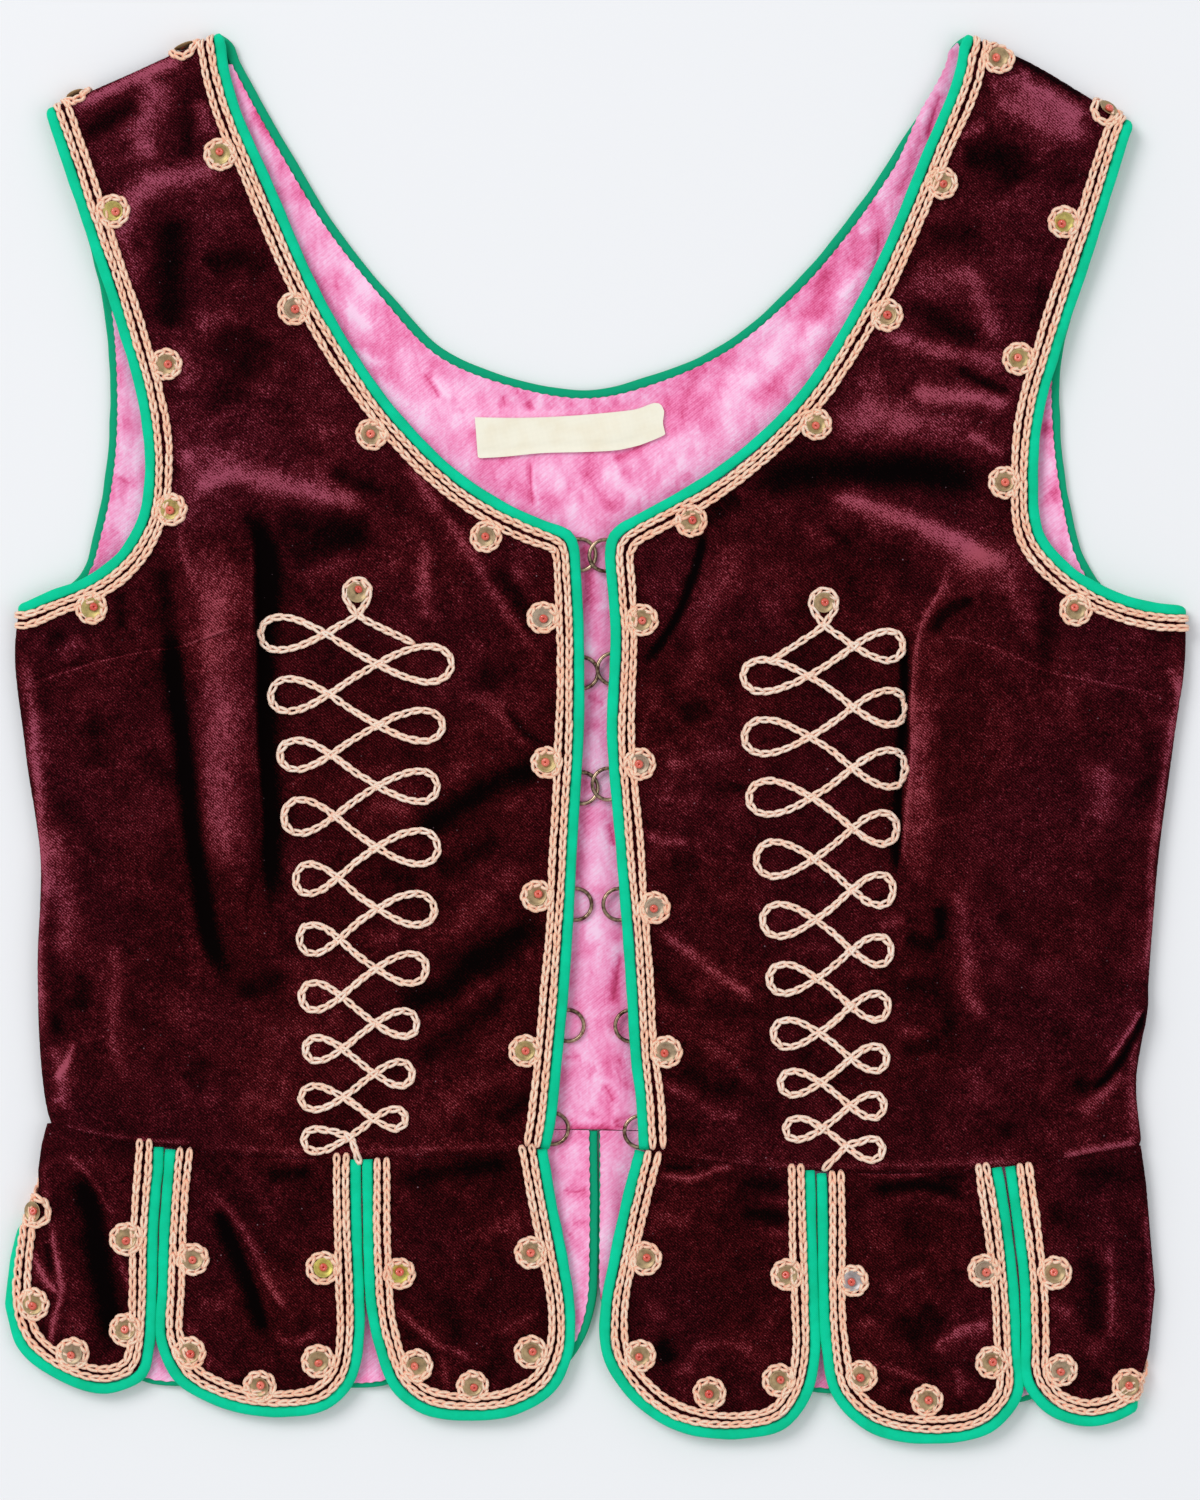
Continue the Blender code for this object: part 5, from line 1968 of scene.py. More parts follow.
FRONT_TABS = (
    TabCut(
        "tab_side_left", Side.LEFT,
        (
            (-137.9, -212.6, -155.2), (-146, -214.6, -155.2), (-155.2, -215.6, -155.6),
            (-162, -213.4, -156.4), (-170.4, -211.0, -157.0), (-176.8, -211.2, -157.4),
            (-187.6, -212.6, -157.6), (-203, -213.3, -158.0), (-219, -208.2, -158.9),
            (-228.5, -196.6, -161.3),
        ),
        (-174, -234.9),
        (
            *ridges(
                (2.6, 5, 8, -199, -150, -195, -178, -190, -200, -182, -228),
                (1, 7, -184, -142, -170, -178), (-1, 10, -212, -176, -214, -200, -205, -226),
            ),
            Fold(((-199, -162), (-196, -171), (-194.5, -182), (-193, -191)), -1.4, 1.8, 2.4, 0.2, True),
        ),
        (
            Rosette(0.152, 4.9), Rosette(0.311, 6.5), Rosette(0.452, 6.8), Rosette(0.65, 6.5),
            Rosette(0.804, 6.9),
        ),
        (
            (-197.6, -137.9), (-199.65, -146), (-200.9, -155.2), (-200.6, -160), (-201.3, -163.5),
            (-202.2, -166), (-204.25, -171.4), (-206.7, -176.8), (-208.8, -187.6),
            (-210.4, -203), (-206.4, -219), (-203, -226), (-203, -250),
        ),
        painted_light_marks=painted_light_strokes(
            (0.5, 0.7, 1.8, -190.5, -148, -184.5, -153.5, -179.5, -160.5, -175.5, -168, -171.5, -171),
            (-1.2, 4.3, 4, -187, -154, -183, -164, -181, -173, -179, -188, -176, -202, -174, -219),
            (0.35, 1.4, -197.5, -148, -198.5, -159, -196.5, -166.5),
            (
                0.85, 1.1, -196, -170.5, -194.5, -184, -192.5, -193, -192, -198.5, -194, -205.5, -196,
                -216.5, -195, -221.5,
            ),
            (0.85, 1.1, -204, -181.5, -201, -188.5, -197, -195, -192.5, -199.5),
            (-0.5, 1.4, -197.5, -180.5, -195.5, -192), (0.55, 1.3, -173, -183, -169, -193, -166.5, -201),
            (0.3, 2.2, -188, -205, -184, -213),
        ),
    ),
    TabCut(
        "tab_left_outer", Side.LEFT,
        (
            (-147.0, -155.2, -84.6), (-176.8, -157.4, -84.2), (-198.4, -158.0, -83.4),
            (-216, -158.6, -83.5), (-230.8, -151.6, -86.8), (-239.5, -137, -94.4),
        ),
        (-114, -243.6),
        ridges(
            (1.4, 9, -140, -160, -112, -236), (1, 7, 8, -96, -158, -104, -226),
            (-0.8, 5, -146, -196, -120, -156),
        ),
        (
            Rosette(0.173, 8.1), Rosette(0.335, 5.9), Rosette(0.487, 6.7), Rosette(0.649, 10.8),
            Rosette(0.814, 10.1, 1.0),
        ),
        painted_light_marks=painted_light_strokes(
            (
                0.65, 2.2, 0.7, -140.5, -163, -135.5, -166, -131.5, -170.5, -126.5, -177.5, -122, -187,
                -118.5, -195, -114, -202.5, -110, -209,
            ),
            (
                -1.3, 1.4, 3.6, -138, -167.5, -133, -175, -129, -184, -124, -196.5, -121, -205.5, -118.5,
                -215.5,
            ),
            (0.5, 1.4, -116.5, -212, -110.5, -216.5, -105, -215.5, -99, -210.5),
            (0.3, 2.9, -144, -203, -133, -201, -128, -196),
            (0.4, 1.8, -148.5, -208.5, -141.5, -218, -138, -228), (0.3, 1.8, -120.5, -151.5, -95.5, -150),
            (-0.6, 2.5, -119, -157, -102, -155), (0.25, 2.5, -130, -151, -121, -164, -117, -172),
            (-0.3, 5, -130, -218, -126, -222), (0.35, 1.1, -134.5, -229, -127.5, -227),
        ),
    ),
    TabCut(
        "tab_left_inner", Side.LEFT,
        (
            (-150.6, -84.6, -17.0), (-166, -84.4, -14.4), (-187.6, -83.9, -10.1),
            (-205, -82.9, -7.7), (-221, -79.2, -8.6), (-234, -73.8, -14.6),
            (-241.6, -64.6, -26),
        ),
        (-46, -244.9),
        ridges(
            (1.3, 9, 8, -66, -156, -42, -232), (1, 7, -30, -152, -28, -228),
            (-0.8, 5, -74, -186, -50, -214),
        ),
        (
            Rosette(0.188, 8.3, 0.8), Rosette(0.355, 7.9), Rosette(0.499, 8.4), Rosette(0.67, 10.3),
            Rosette(0.855, 8.3),
        ),
        painted_light_marks=painted_light_strokes(
            (-0.6, 3.2, -72, -159, -57, -156, -30, -152), (0.35, 3.2, -43, -181, -35, -175, -26, -171),
            (0.2, 2.9, -44, -199, -39, -188), (-0.35, 3.6, -54, -198, -49, -217),
            (0.65, 1.4, -74, -203.5, -67.5, -208.5, -62, -213.5, -56.5, -218, -49.5, -220, -43, -224.5),
            (0.5, 1.1, -56, -220, -54.5, -227, -53.5, -235),
            (0.35, 1.8, -35.5, -213.5, -27.5, -209, -20, -205), (-0.35, 2.9, -32, -221, -42, -230),
            (-0.4, 2.2, -67, -212, -66, -216),
        ),
    ),
    TabCut(
        "tab_right_inner", Side.RIGHT,
        (
            (-147.3, 13.4, 78.4), (-166, 8.6, 78.8), (-187.6, 4.0, 79.4),
            (-205, 1.0, 80.0), (-221, 1.6, 80.3), (-235, 9.6, 77.4),
            (-246.4, 24, 69.6),
        ),
        (50, -251.5),
        ridges(
            (1.3, 8, 9, 30, -154, 44, -244), (1, 7, 66, -158, 60, -238), (-0.8, 5, 48, -168, 26, -196),
        ),
        (
            Rosette(0.155, 8.3), Rosette(0.324, 8.2), Rosette(0.479, 12.0), Rosette(0.646, 8.7),
            Rosette(0.817, 7.0),
        ),
        painted_light_marks=painted_light_strokes(
            (0.7, 1.3, 21.5, -155.5, 30, -157.5, 37, -157, 42.5, -154.5, 51, -153),
            (-0.5, 1.1, 24, -153.5, 35, -153.5), (-0.5, 2.2, 51, -159, 67, -161),
            (-0.6, 2.5, 51, -170, 69, -172), (0.35, 1.4, 58, -165, 69, -166),
            (0.25, 1.8, 58, -177, 69, -177), (0.25, 2.9, 18, -173, 35, -173),
            (0.3, 2.9, 19, -201, 22, -210), (0.4, 1.8, 33, -220.5, 40.5, -217, 49.5, -217.5, 58, -220.5),
            (-0.8, 3.2, 22, -216, 27, -224), (0.35, 2.5, 28, -228, 35, -225),
            (0.35, 2.5, 51, -230, 53, -237), (-0.3, 2.9, 44, -225, 47, -227),
        ),
    ),
    TabCut(
        "tab_right_outer", Side.RIGHT,
        (
            (-154.5, 78.5, 145.8), (-177, 79.0, 149.4), (-198, 79.2, 151.6),
            (-218, 80.4, 152.4), (-236, 84.2, 152.8), (-247, 94.4, 144.6),
        ),
        (119, -253.2),
        ridges(
            (1.4, 9, 98, -160, 114, -246), (1.1, 8, 7, 136, -158, 128, -238),
            (-0.8, 5, 112, -172, 132, -206),
        ),
        (
            Rosette(0.174, 8.2, -0.9), Rosette(0.332, 8.4), Rosette(0.498, 11.6), Rosette(0.705, 6.9),
            Rosette(0.847, 7.5),
        ),
        painted_light_marks=painted_light_strokes(
            (0.55, 1.1, 92, -155.5, 102, -156.5, 114.5, -156, 123, -154),
            (-0.6, 2.2, 97, -162, 116, -160, 132, -163), (-0.5, 1.1, 121.5, -157, 133, -158),
            (0.3, 2.2, 108, -166, 116, -163, 125, -166, 133, -172), (-0.25, 5.4, 109, -175, 122, -180),
            (0.3, 2.2, 103, -199, 109, -194, 119, -190), (-0.55, 5.8, 107, -206, 114, -213, 121, -202),
            (0.6, 1.4, 3.6, 120, -220.5, 125.5, -214.5, 132.5, -211, 142, -209.5),
            (0.55, 1.3, 94, -221.5, 100, -224.5, 107.5, -226.5, 114.5, -229.5, 120.5, -230),
            (-0.4, 2.2, 109, -233, 113, -234), (0.45, 1.8, 128, -224.5, 131, -232, 129, -237),
            (0.25, 2.5, 103, -231, 105, -236), (0.3, 2.9, 96, -208, 98, -211),
            (-0.3, 2.9, 127, -190, 131, -193),
        ),
    ),
    TabCut(
        "tab_side_right", Side.RIGHT,
        (
            (-150.5, 145.8, 225.0), (-177, 149.4, 225.0), (-198, 151.6, 222.0),
            (-214, 152.0, 217.0), (-232, 153.0, 206.0), (-241.5, 160.4, 194),
        ),
        (177.5, -247),
        ridges(
            (1.3, 8, 160, -156, 172, -232), (1.1, 6, 7, 186, -152, 184, -214),
        ),
        (
            Rosette(0.197, 8.5), Rosette(0.375, 10.2, -0.8), Rosette(0.568, 5.5),
        ),
        (
            (194.6, -140), (197.4, -160), (200.6, -198), (198.4, -220), (192, -243),
        ),
        painted_light_marks=painted_light_strokes(
            (0.5, 1.4, 184, -178, 184.5, -191, 184.5, -205.5, 183.5, -215.5),
            (-0.45, 3.6, 176, -183, 179, -202, 176, -216), (-0.4, 2.9, 165, -165, 165, -175),
            (-0.35, 4.3, 171, -157, 190, -155), (0.3, 2.2, 162, -203, 171, -206),
            (0.3, 3.6, 175, -221, 182, -216), (-0.5, 2.2, 179, -226, 180, -231),
            (0.6, 1.3, 196.5, -165, 199, -195, 198.5, -209, 196, -224.5),
        ),
    ),
)


@dataclass(frozen=True)
class Layers:
    """Heights and walls that the pieces share."""

    velvet: float = 1.2
    lining: float = 1.0
    gap: float = 0.3
    front: float = 6.6
    right_lap: float = 1.5
    lap_full: float = 8.0
    lap_gone: float = 90.0
    tab: float = 5.7
    tab_settle: float = 26.0
    tab_clearance: float = 0.2
    roll_run: float = 2.5
    shoulder_drift: float = 3.0
    lowest_face: float = 3.9
    mark_rise: float = 0.32
    tucked: float = 0.9
    seam_gap: float = 0.08

    @property
    def lining_top(self) -> float:
        """Height of the lining's upper face."""
        return self.velvet + self.gap + self.lining


# Fronts -------------------------------------------------------------------------


class FrontSurface(Surface):
    """Outer face of a front, round its side and over its shoulder.

    Attributes:
        turn_points: points along what rolls under at the end of an edge.
        bare_points: how many of them the rows leave bare at the shoulder.
        sewn_points: how many of them the rows cover at the side.
        draw: share by which the tape is drawn in at a turn.
        draw_spread: distance over which it is.
        sunk: how far the tape is lowered where it lies face down.
    """

    turn_points = 12
    bare_points = 8
    sewn_points = 5
    draw = 0.3
    draw_spread = 3.0
    sunk = 0.5

    def __init__(self, cut: FrontCut, layers: Layers, tape: Tape) -> None:
        """Work out the front's lines from its cut.

        Args:
            cut: the front's finished edges and folds.
            layers: the shared heights.
            tape: the binding, which the velvet stops short of.
        """
        self.cut, self.layers = cut, layers
        out = self.out = cut.side.value
        radius = layers.front / 2
        outer = smooth_line(cut.outer) + (-out * radius, 0)
        self.side_y, self.side_x = by_y(outer)
        shoulder = beside(smooth_line(cut.shoulder), out * radius)
        self.run = shoulder[-1] - shoulder[0]
        self.shoulder_length = float(np.linalg.norm(self.run))
        self.run = self.run / self.shoulder_length
        self.up = np.array([-self.run[1], self.run[0]]) * -out
        self.shoulder_start = shoulder[0]
        away = shoulder - shoulder[0]
        self.shoulder_s, self.shoulder_d = away @ self.run, away @ self.up
        finer = Ripple(11 if out < 0 else 12, 46, 0.16)
        seam = Fold(tuple(map(tuple, evenly(smooth_line(cut.waist), 8))), -1.5, 1.6, 1.6, 0.001)
        self.relief = Relief((*cut.folds, *cut.creases, seam), (finer,))
        self.inner = beside(smooth_line(cut.inner), -out * tape.reach)
        armhole = beside(smooth_line(cut.armhole), out * tape.reach)
        self.armhole = armhole[np.abs(armhole[:, 0]) < abs(outer[-1, 0])]
        waist = smooth_line(cut.waist)
        kept = (np.abs(waist[:, 0]) < abs(outer[0, 0])) & (
            np.abs(waist[:, 0]) > abs(self.inner[0, 0])
        )
        self.waist = np.vstack(
            [[outer[0, 0], waist[kept][0, 1]], waist[kept], [self.inner[0, 0], waist[kept][-1, 1]]]
        )

    def height(self, points: Points) -> Points:
        """Height of the outer face where it isn't rolled."""
        layers = self.layers
        # lines of painted highlight and shade, which also lift or lower the velvet a little
        marks = Relief(self.cut.painted_light_marks).height(points)
        height = layers.front + self.relief.height(points) + layers.mark_rise * marks
        if self.cut.side is Side.RIGHT:
            lap = (layers.lap_gone - points[:, 0]) / (layers.lap_gone - layers.lap_full)
            height = height + layers.right_lap * smooth_step(lap)
        low = layers.lowest_face
        return np.where(height < low + 1, low + np.exp(np.minimum(height - low - 1, 0)), height)

    def past_shoulder(self, plan: Points) -> tuple[Points, Points]:
        """Distance beyond the shoulder's crease, and place along it."""
        away = plan - self.shoulder_start
        s = away @ self.run
        return away @ self.up - np.interp(s, self.shoulder_s, self.shoulder_d), s

    def past_side(self, plan: Points) -> tuple[Points, Points]:
        """Distance beyond the side's crease, and the crease's x."""
        crease = np.interp(plan[:, 1], self.side_y, self.side_x)
        return self.out * (plan[:, 0] - crease), crease

    def place(self, plan: Points) -> Points:
        """The places in space of points of the spread."""
        placed = np.column_stack([plan, np.zeros(len(plan))])
        over, s = self.past_shoulder(plan)
        out, crease = self.past_side(plan)
        foot = plan.copy()
        top = over > 0
        foot[top] = plan[top] - over[top, None] * self.up
        side = (out > 0) & ~top
        foot[side, 0] = crease[side]
        height = self.height(foot)
        placed[:, 2] = height
        if top.any():
            placed[top] = rolled(foot[top], np.tile(self.up, (top.sum(), 1)), over[top], height[top], 0.0)
            share = np.clip(s[top] / self.shoulder_length, 0, 1)
            done = np.clip(over[top] / (math.pi * self.layers.front / 2 + self.layers.roll_run), 0, 1)
            placed[top, 0] -= self.out * self.layers.shoulder_drift * share * done
        if side.any():
            ways = np.tile([float(self.out), 0.0], (side.sum(), 1))
            placed[side] = rolled(foot[side], ways, out[side], height[side], 0.0)
        return placed

    def nap(self, plan: Points) -> Points:
        """Painted light at each point: painted highlight and painted shade along the folds and the marks.
        """
        folds = Relief(self.cut.folds).height(plan)
        return 0.1 * np.tanh(folds / 3.2) + Relief(self.cut.painted_light_marks).height(plan)

    def turn(self, foot: Points) -> Points:
        """Length of cloth that rolls under beyond a point of a crease."""
        return math.pi * self.height(foot) / 2 + self.layers.roll_run

    def edges(self) -> dict[str, Points]:
        """The velvet's edges in the spread, with what rolls under."""
        over_inner = self.past_shoulder(self.inner)[0]
        inner = self.inner[over_inner < 0]
        over_armhole = self.past_shoulder(self.armhole)[0]
        armhole = self.armhole[over_armhole < 0]
        ends = {}
        for name, line in (("inner", inner), ("armhole", armhole)):
            past = self.past_shoulder(line[-1:])[0][0]
            foot = line[-1] - past * self.up
            turn = self.turn(foot[None])[0]
            beyond = foot + np.linspace(0, turn, self.turn_points)[:, None] * self.up
            ends[name] = np.vstack([line, beyond])
        start = armhole[0]
        crease = np.interp(start[1], self.side_y, self.side_x)
        corner = np.array([crease, start[1]])
        turn = self.turn(corner[None])[0]
        under = corner + np.linspace(turn, 0, self.turn_points)[:, None] * (self.out, 0)
        rows_end = -self.bare_points
        return {
            "inner": ends["inner"],
            "armhole": np.vstack([under, ends["armhole"]]),
            "inner_rows": ends["inner"][:rows_end],
            "armhole_rows": np.vstack([under[-self.sewn_points :], ends["armhole"][:rows_end]]),
        }

    def outline(self) -> Points:
        """The whole cut edge of the front in the spread."""
        edges = self.edges()
        levels = np.linspace(self.waist[0, 1], edges["armhole"][0, 1], 60)[:-1]
        creases = np.interp(levels, self.side_y, self.side_x)
        foot = np.column_stack([creases, levels])
        side = foot + self.turn(foot)[:, None] * (self.out, 0)
        return np.vstack([self.waist[::-1], side, edges["armhole"], edges["inner"][::-1]])

    def bend(self, line: Points) -> Points:
        """Share by which the tape is drawn in where it turns over or round the side."""
        past = np.maximum(self.past_shoulder(line)[0], self.past_side(line)[0])
        middle = math.pi * self.layers.front / 4
        return self.draw * np.exp(-(((past - middle) / self.draw_spread) ** 2))

    def sinks(self, line: Points) -> Points:
        """How far the tape is lowered where it lies face down."""
        over = np.maximum(self.past_shoulder(line)[0], self.past_side(line)[0])
        return self.sunk * np.clip(over / (math.pi * self.layers.front / 2), 0, 1)


@dataclass(frozen=True)
class Motif:
    """A chain-stitched line that loops from side to side down a front.

    The line is x = reach sin t, y = -fall t - swing sin 2t about its middle,
    and it narrows on the way down. It starts with a small loop round a sequin.

    Attributes:
        top: where it starts to fall.
        middle: x of its middle at the top and at the bottom.
        outward: its reach towards the side, at the top, the middle and the bottom.
        inward: its reach towards the front edge, likewise.
        pitch: fall from loop to loop, at the top, the middle and the bottom.
        loops: how many loops lie on each side.
        fatness: height of a loop as a share of the pitch.
        crown: middle of the sequin above its top.
        crown_radius: radius of the small loop.
        crown_drop: from the sequin's middle down to where the line crosses.
        start: where the line begins, on the first inward loop.
        tail: its last points.
    """

    top: float
    middle: tuple[float, float]
    outward: tuple[float, float, float]
    inward: tuple[float, float, float]
    pitch: tuple[float, float, float]
    crown: tuple[float, float]
    start: tuple[float, float]
    tail: Knots
    loops: float = 9.93
    fatness: float = 2.45
    crown_radius: float = 4.9
    crown_drop: float = 8.6

    def line(self, out: int) -> Points:
        """The line in the front's spread.

        Args:
            out: +1 for the right front, -1 for the left.

        Returns:
            The line's points.
        """
        t = np.linspace(0.12, (2 * self.loops - 1) * math.pi, 2400)
        share = t / t[-1]
        places = (0, 0.5, 1)
        pitch = np.interp(share, places, self.pitch)
        fall = np.concatenate([[0], np.cumsum(np.diff(t) * pitch[1:])]) / (2 * math.pi)
        side = np.sin(t)
        outward, inward = (np.interp(share, places, reach) for reach in (self.outward, self.inward))
        reach = np.where(side > 0, outward, inward)
        rng = np.random.default_rng(17 + out)
        knots = np.arange(0, t[-1] + 2, math.pi / 2)
        uneven = np.interp(t, knots, rng.normal(0, 0.035, len(knots)))
        x = np.interp(share, (0, 1), self.middle) + out * reach * side * (1 + uneven)
        swing = self.fatness * pitch / (2 * math.pi) * (1 + 2 * uneven)
        y = self.top - fall - swing * np.sin(2 * t)
        bottom = -0.5 * math.pi
        turns = np.linspace(bottom + 0.75 * out, bottom + (2 * math.pi - 0.75) * out, 40)
        around = np.column_stack([np.cos(turns), np.sin(turns)]) * self.crown_radius
        under = np.array([[0.0, -self.crown_drop]])
        crown = np.array(self.crown) + np.vstack([under, around, under])
        return np.vstack([self.start, crown, np.column_stack([x, y]), self.tail])


MOTIFS = {
    Side.LEFT: Motif(
        42.6, (-88.6, -84.8), (33.0, 20.6, 20.4), (36.6, 28.2, 15.4), (21.6, 22.2, 14.4), (-86.0, 52.6),
        (-65.4, 34.2), ((-91, -140.5), (-87, -145), (-86, -151)),
    ),
    Side.RIGHT: Motif(
        38.4, (84.8, 86.4), (26.8, 20.8, 15.4), (35.6, 26.4, 18.0), (21.8, 21.9, 14.4), (81.4, 49.0),
        (61.6, 27.6), ((91.1, -144.6), (87, -148.5), (82.6, -153)),
    ),
}


@dataclass
class Front:
    """One front with its binding track, stitches, motif and rosettes."""

    cut: FrontCut
    layers: Layers
    tape: Tape
    dress: Finishes
    haberdashery: Haberdashery
    spacing: float = 1.55

    def __post_init__(self) -> None:
        """Work out the surface and its edges."""
        self.surface = FrontSurface(self.cut, self.layers, self.tape)
        self.edges = self.surface.edges()
        self.out = self.cut.side.value
        self.name = f"front_{self.cut.side.word}"

    def build(self) -> tuple[Cloth, bpy.types.Object]:
        """Mesh the velvet."""
        cloth = Cloth(
            self.name, self.surface, self.surface.outline(), self.layers.velvet,
            self.dress.velvet, "velvet", self.spacing,
            [*self.surface.relief.refinement(), *Relief(self.cut.painted_light_marks).refinement()],
        )
        return cloth, cloth.build()

    def tracks(self) -> tuple[Track, Track]:
        """Binding tracks of the inner edge and the armhole."""
        inner = evenly(self.edges["inner"], self.tape.step)
        armhole = evenly(self.edges["armhole"], self.tape.step)
        surface = self.surface
        return (
            Track.on(surface, inner, self.out, surface.sinks(inner)).drawn_in(surface.bend(inner)),
            Track.on(surface, armhole, -self.out, surface.sinks(armhole)).drawn_in(
                surface.bend(armhole)
            ),
        )

    def embroider(self) -> list[bpy.types.Object]:
        """Sew the rows, rosettes and looped line."""
        sewing, surface, out = self.haberdashery, self.surface, self.out
        rows = Chain(f"edge_stitches_{self.cut.side.word}", self.dress.thread, seed=100 + out)
        inner, armhole = self.edges["inner_rows"], self.edges["armhole_rows"]
        sewing.edge_rows(rows, surface, inner, -out)
        sewing.edge_rows(rows, surface, armhole, out)
        sewing.rosettes(rows, surface, surface.inner, -out, self.cut.inner_rosettes, surface.up)
        sewing.rosettes(rows, surface, surface.armhole, out, self.cut.armhole_rosettes, surface.up)
        motif = MOTIFS[self.cut.side]
        line = motif.line(out)
        loops = Chain(f"motif_{self.cut.side.word}", self.dress.motif, seed=300 + out)
        loops.sew(surface, line, sewing.motif_loop)
        sewing.sequin(surface, np.array(motif.crown))
        return [rows.build(), loops.build()]


# Tabs ---------------------------------------------------------------------------


class TabSurface(Surface):
    """Outer face of a front tab.

    Attributes:
        seam_look: how far above the seam the front's height is taken.
        dip: depth of the hollow along the seam.
        dip_width: how far the hollow spreads.
        lowest_drop: how much lower than a front the face may lie.
        under_level: height of the outer face once turned under.
    """

    seam_look = 3.5
    dip = 1.5
    dip_width = 1.8
    lowest_drop = 0.6
    under_level = 0.8

    def __init__(self, cut: TabCut, front: FrontSurface, layers: Layers, tape: Tape) -> None:
        """Hang the tab from its front.

        Args:
            cut: the tab's edges and folds.
            front: the surface of its front.
            layers: the shared heights.
            tape: the binding.
        """
        self.cut, self.front, self.layers = cut, front, layers
        self.seam_x, self.seam_y = by_x(front.waist)
        edge = beside(cut.outline(layers.tab_clearance), tape.reach)
        above = round(cut.above / cut.edge_step)
        self.full_edge = edge[above:-above]
        self.edge = edge[edge[:, 1] < self.seam_below(edge[:, 0])]
        self.row_edge = edge[edge[:, 1] < self.seam_below(edge[:, 0]) + layers.tucked]
        seed = sum(map(ord, cut.name))
        self.relief = Relief(cut.folds, (Ripple(seed, 34, 0.13),))

    def seam_below(self, x: Points) -> Points:
        """Height in the spread of the tab's upper edge at each x."""
        return np.interp(x, self.seam_x, self.seam_y) - self.layers.seam_gap

    def height(self, points: Points) -> Points:
        """Height of the outer face where it isn't turned under."""
        seam_y = np.interp(points[:, 0], self.seam_x, self.seam_y)
        at_seam = self.front.height(np.column_stack([points[:, 0], seam_y + self.seam_look]))
        down = seam_y - points[:, 1]
        settled = smooth_step(down / self.layers.tab_settle)
        dip = self.dip * np.exp(-((down / self.dip_width) ** 2))
        low = self.layers.lowest_face - self.lowest_drop
        height = (
            at_seam + (self.layers.tab - at_seam) * settled
            + self.relief.height(points) * settled - dip
            + self.layers.mark_rise * Relief(self.cut.painted_light_marks).height(points) * settled
        )
        return np.maximum(height, low)

    def place(self, plan: Points) -> Points:
        """The places in space of points of the spread."""
        height = self.height(plan)
        placed = np.column_stack([plan, height])
        if self.cut.turned_under is None:
            return placed
        lowest = self.under_level
        crease_y, crease_x = by_y(np.array(self.cut.turned_under))
        radius = (height - lowest) / 2
        out = self.cut.side.value
        start = np.interp(plan[:, 1], crease_y, crease_x) - out * radius
        past = out * (plan[:, 0] - start)
        under = past > 0
        if under.any():
            foot = np.column_stack([start, plan[:, 1]])[under]
            ways = np.tile([float(out), 0.0], (under.sum(), 1))
            placed[under] = rolled(foot, ways, past[under], height[under], lowest)
        return placed

    def nap(self, plan: Points) -> Points:
        """Painted light at each point: painted highlight and painted shade along the folds and the marks, a
        little darker over all.
        """
        folds = Relief(self.cut.folds).height(plan)
        return 0.12 * np.tanh(folds / 2.6) + Relief(self.cut.painted_light_marks).height(plan) - 0.06

    def outline(self) -> Points:
        """The whole cut edge of the tab in the spread."""
        left, right = self.edge[0], self.edge[-1]
        xs = np.linspace(right[0], left[0], 40)
        top = np.column_stack([xs, self.seam_below(xs)])
        return np.vstack([self.edge, top])


@dataclass
class Tab:
    """One front tab with its binding, rows and rosettes."""

    cut: TabCut
    front: FrontSurface
    layers: Layers
    tape: Tape
    dress: Finishes
    haberdashery: Haberdashery
    spacing: float = 1.4

    def build(self, rests_on: Sequence[str]) -> None:
        """Mesh the tab and sew all that it carries."""
        surface = TabSurface(self.cut, self.front, self.layers, self.tape)
        cloth = Cloth(
            self.cut.name, surface, surface.outline(), self.layers.velvet,
            self.dress.velvet, "velvet", self.spacing,
            [*surface.relief.refinement(), *Relief(self.cut.painted_light_marks).refinement()],
        )
        piece = cloth.build()
        edge = evenly(surface.edge, self.tape.step)
        seed = sum(map(ord, self.cut.name))
        tape = self.tape.sew(
            f"binding_{self.cut.name}", Track.on(surface, edge, -1), self.dress.tape, seed
        )
        rows = Chain(f"stitches_{self.cut.name}", self.dress.thread, seed=seed)
        self.haberdashery.edge_rows(rows, surface, surface.row_edge, 1)
        self.haberdashery.rosettes(rows, surface, surface.full_edge, 1, self.cut.rosettes)
        sewn = rows.build()
        cloth.lay(piece, [self.cut.name], rests_on, [tape, sewn])


# Back ---------------------------------------------------------------------------


@dataclass(frozen=True)
class BackTabCut:
    """One back tab.

    Attributes:
        number: its number from the left.
        left: x of its left edge.
        right: x of its right edge.
        lowest: y of its lowest point.
        overlaps: how far its lining covers the binding on the left and the right.
        rounding: height of its rounded end.
        squareness: 1 is an oval end, less is squarer.
        creases: those of its lining, painted lighter or darker as painted highlight and painted shade, and
            raised or lowered a little.
    """

    number: int
    left: float
    right: float
    lowest: float
    overlaps: tuple[float, float] = (1.4, 1.4)
    rounding: float = 30.0
    squareness: float = 0.7
    creases: tuple[Fold, ...] = ()


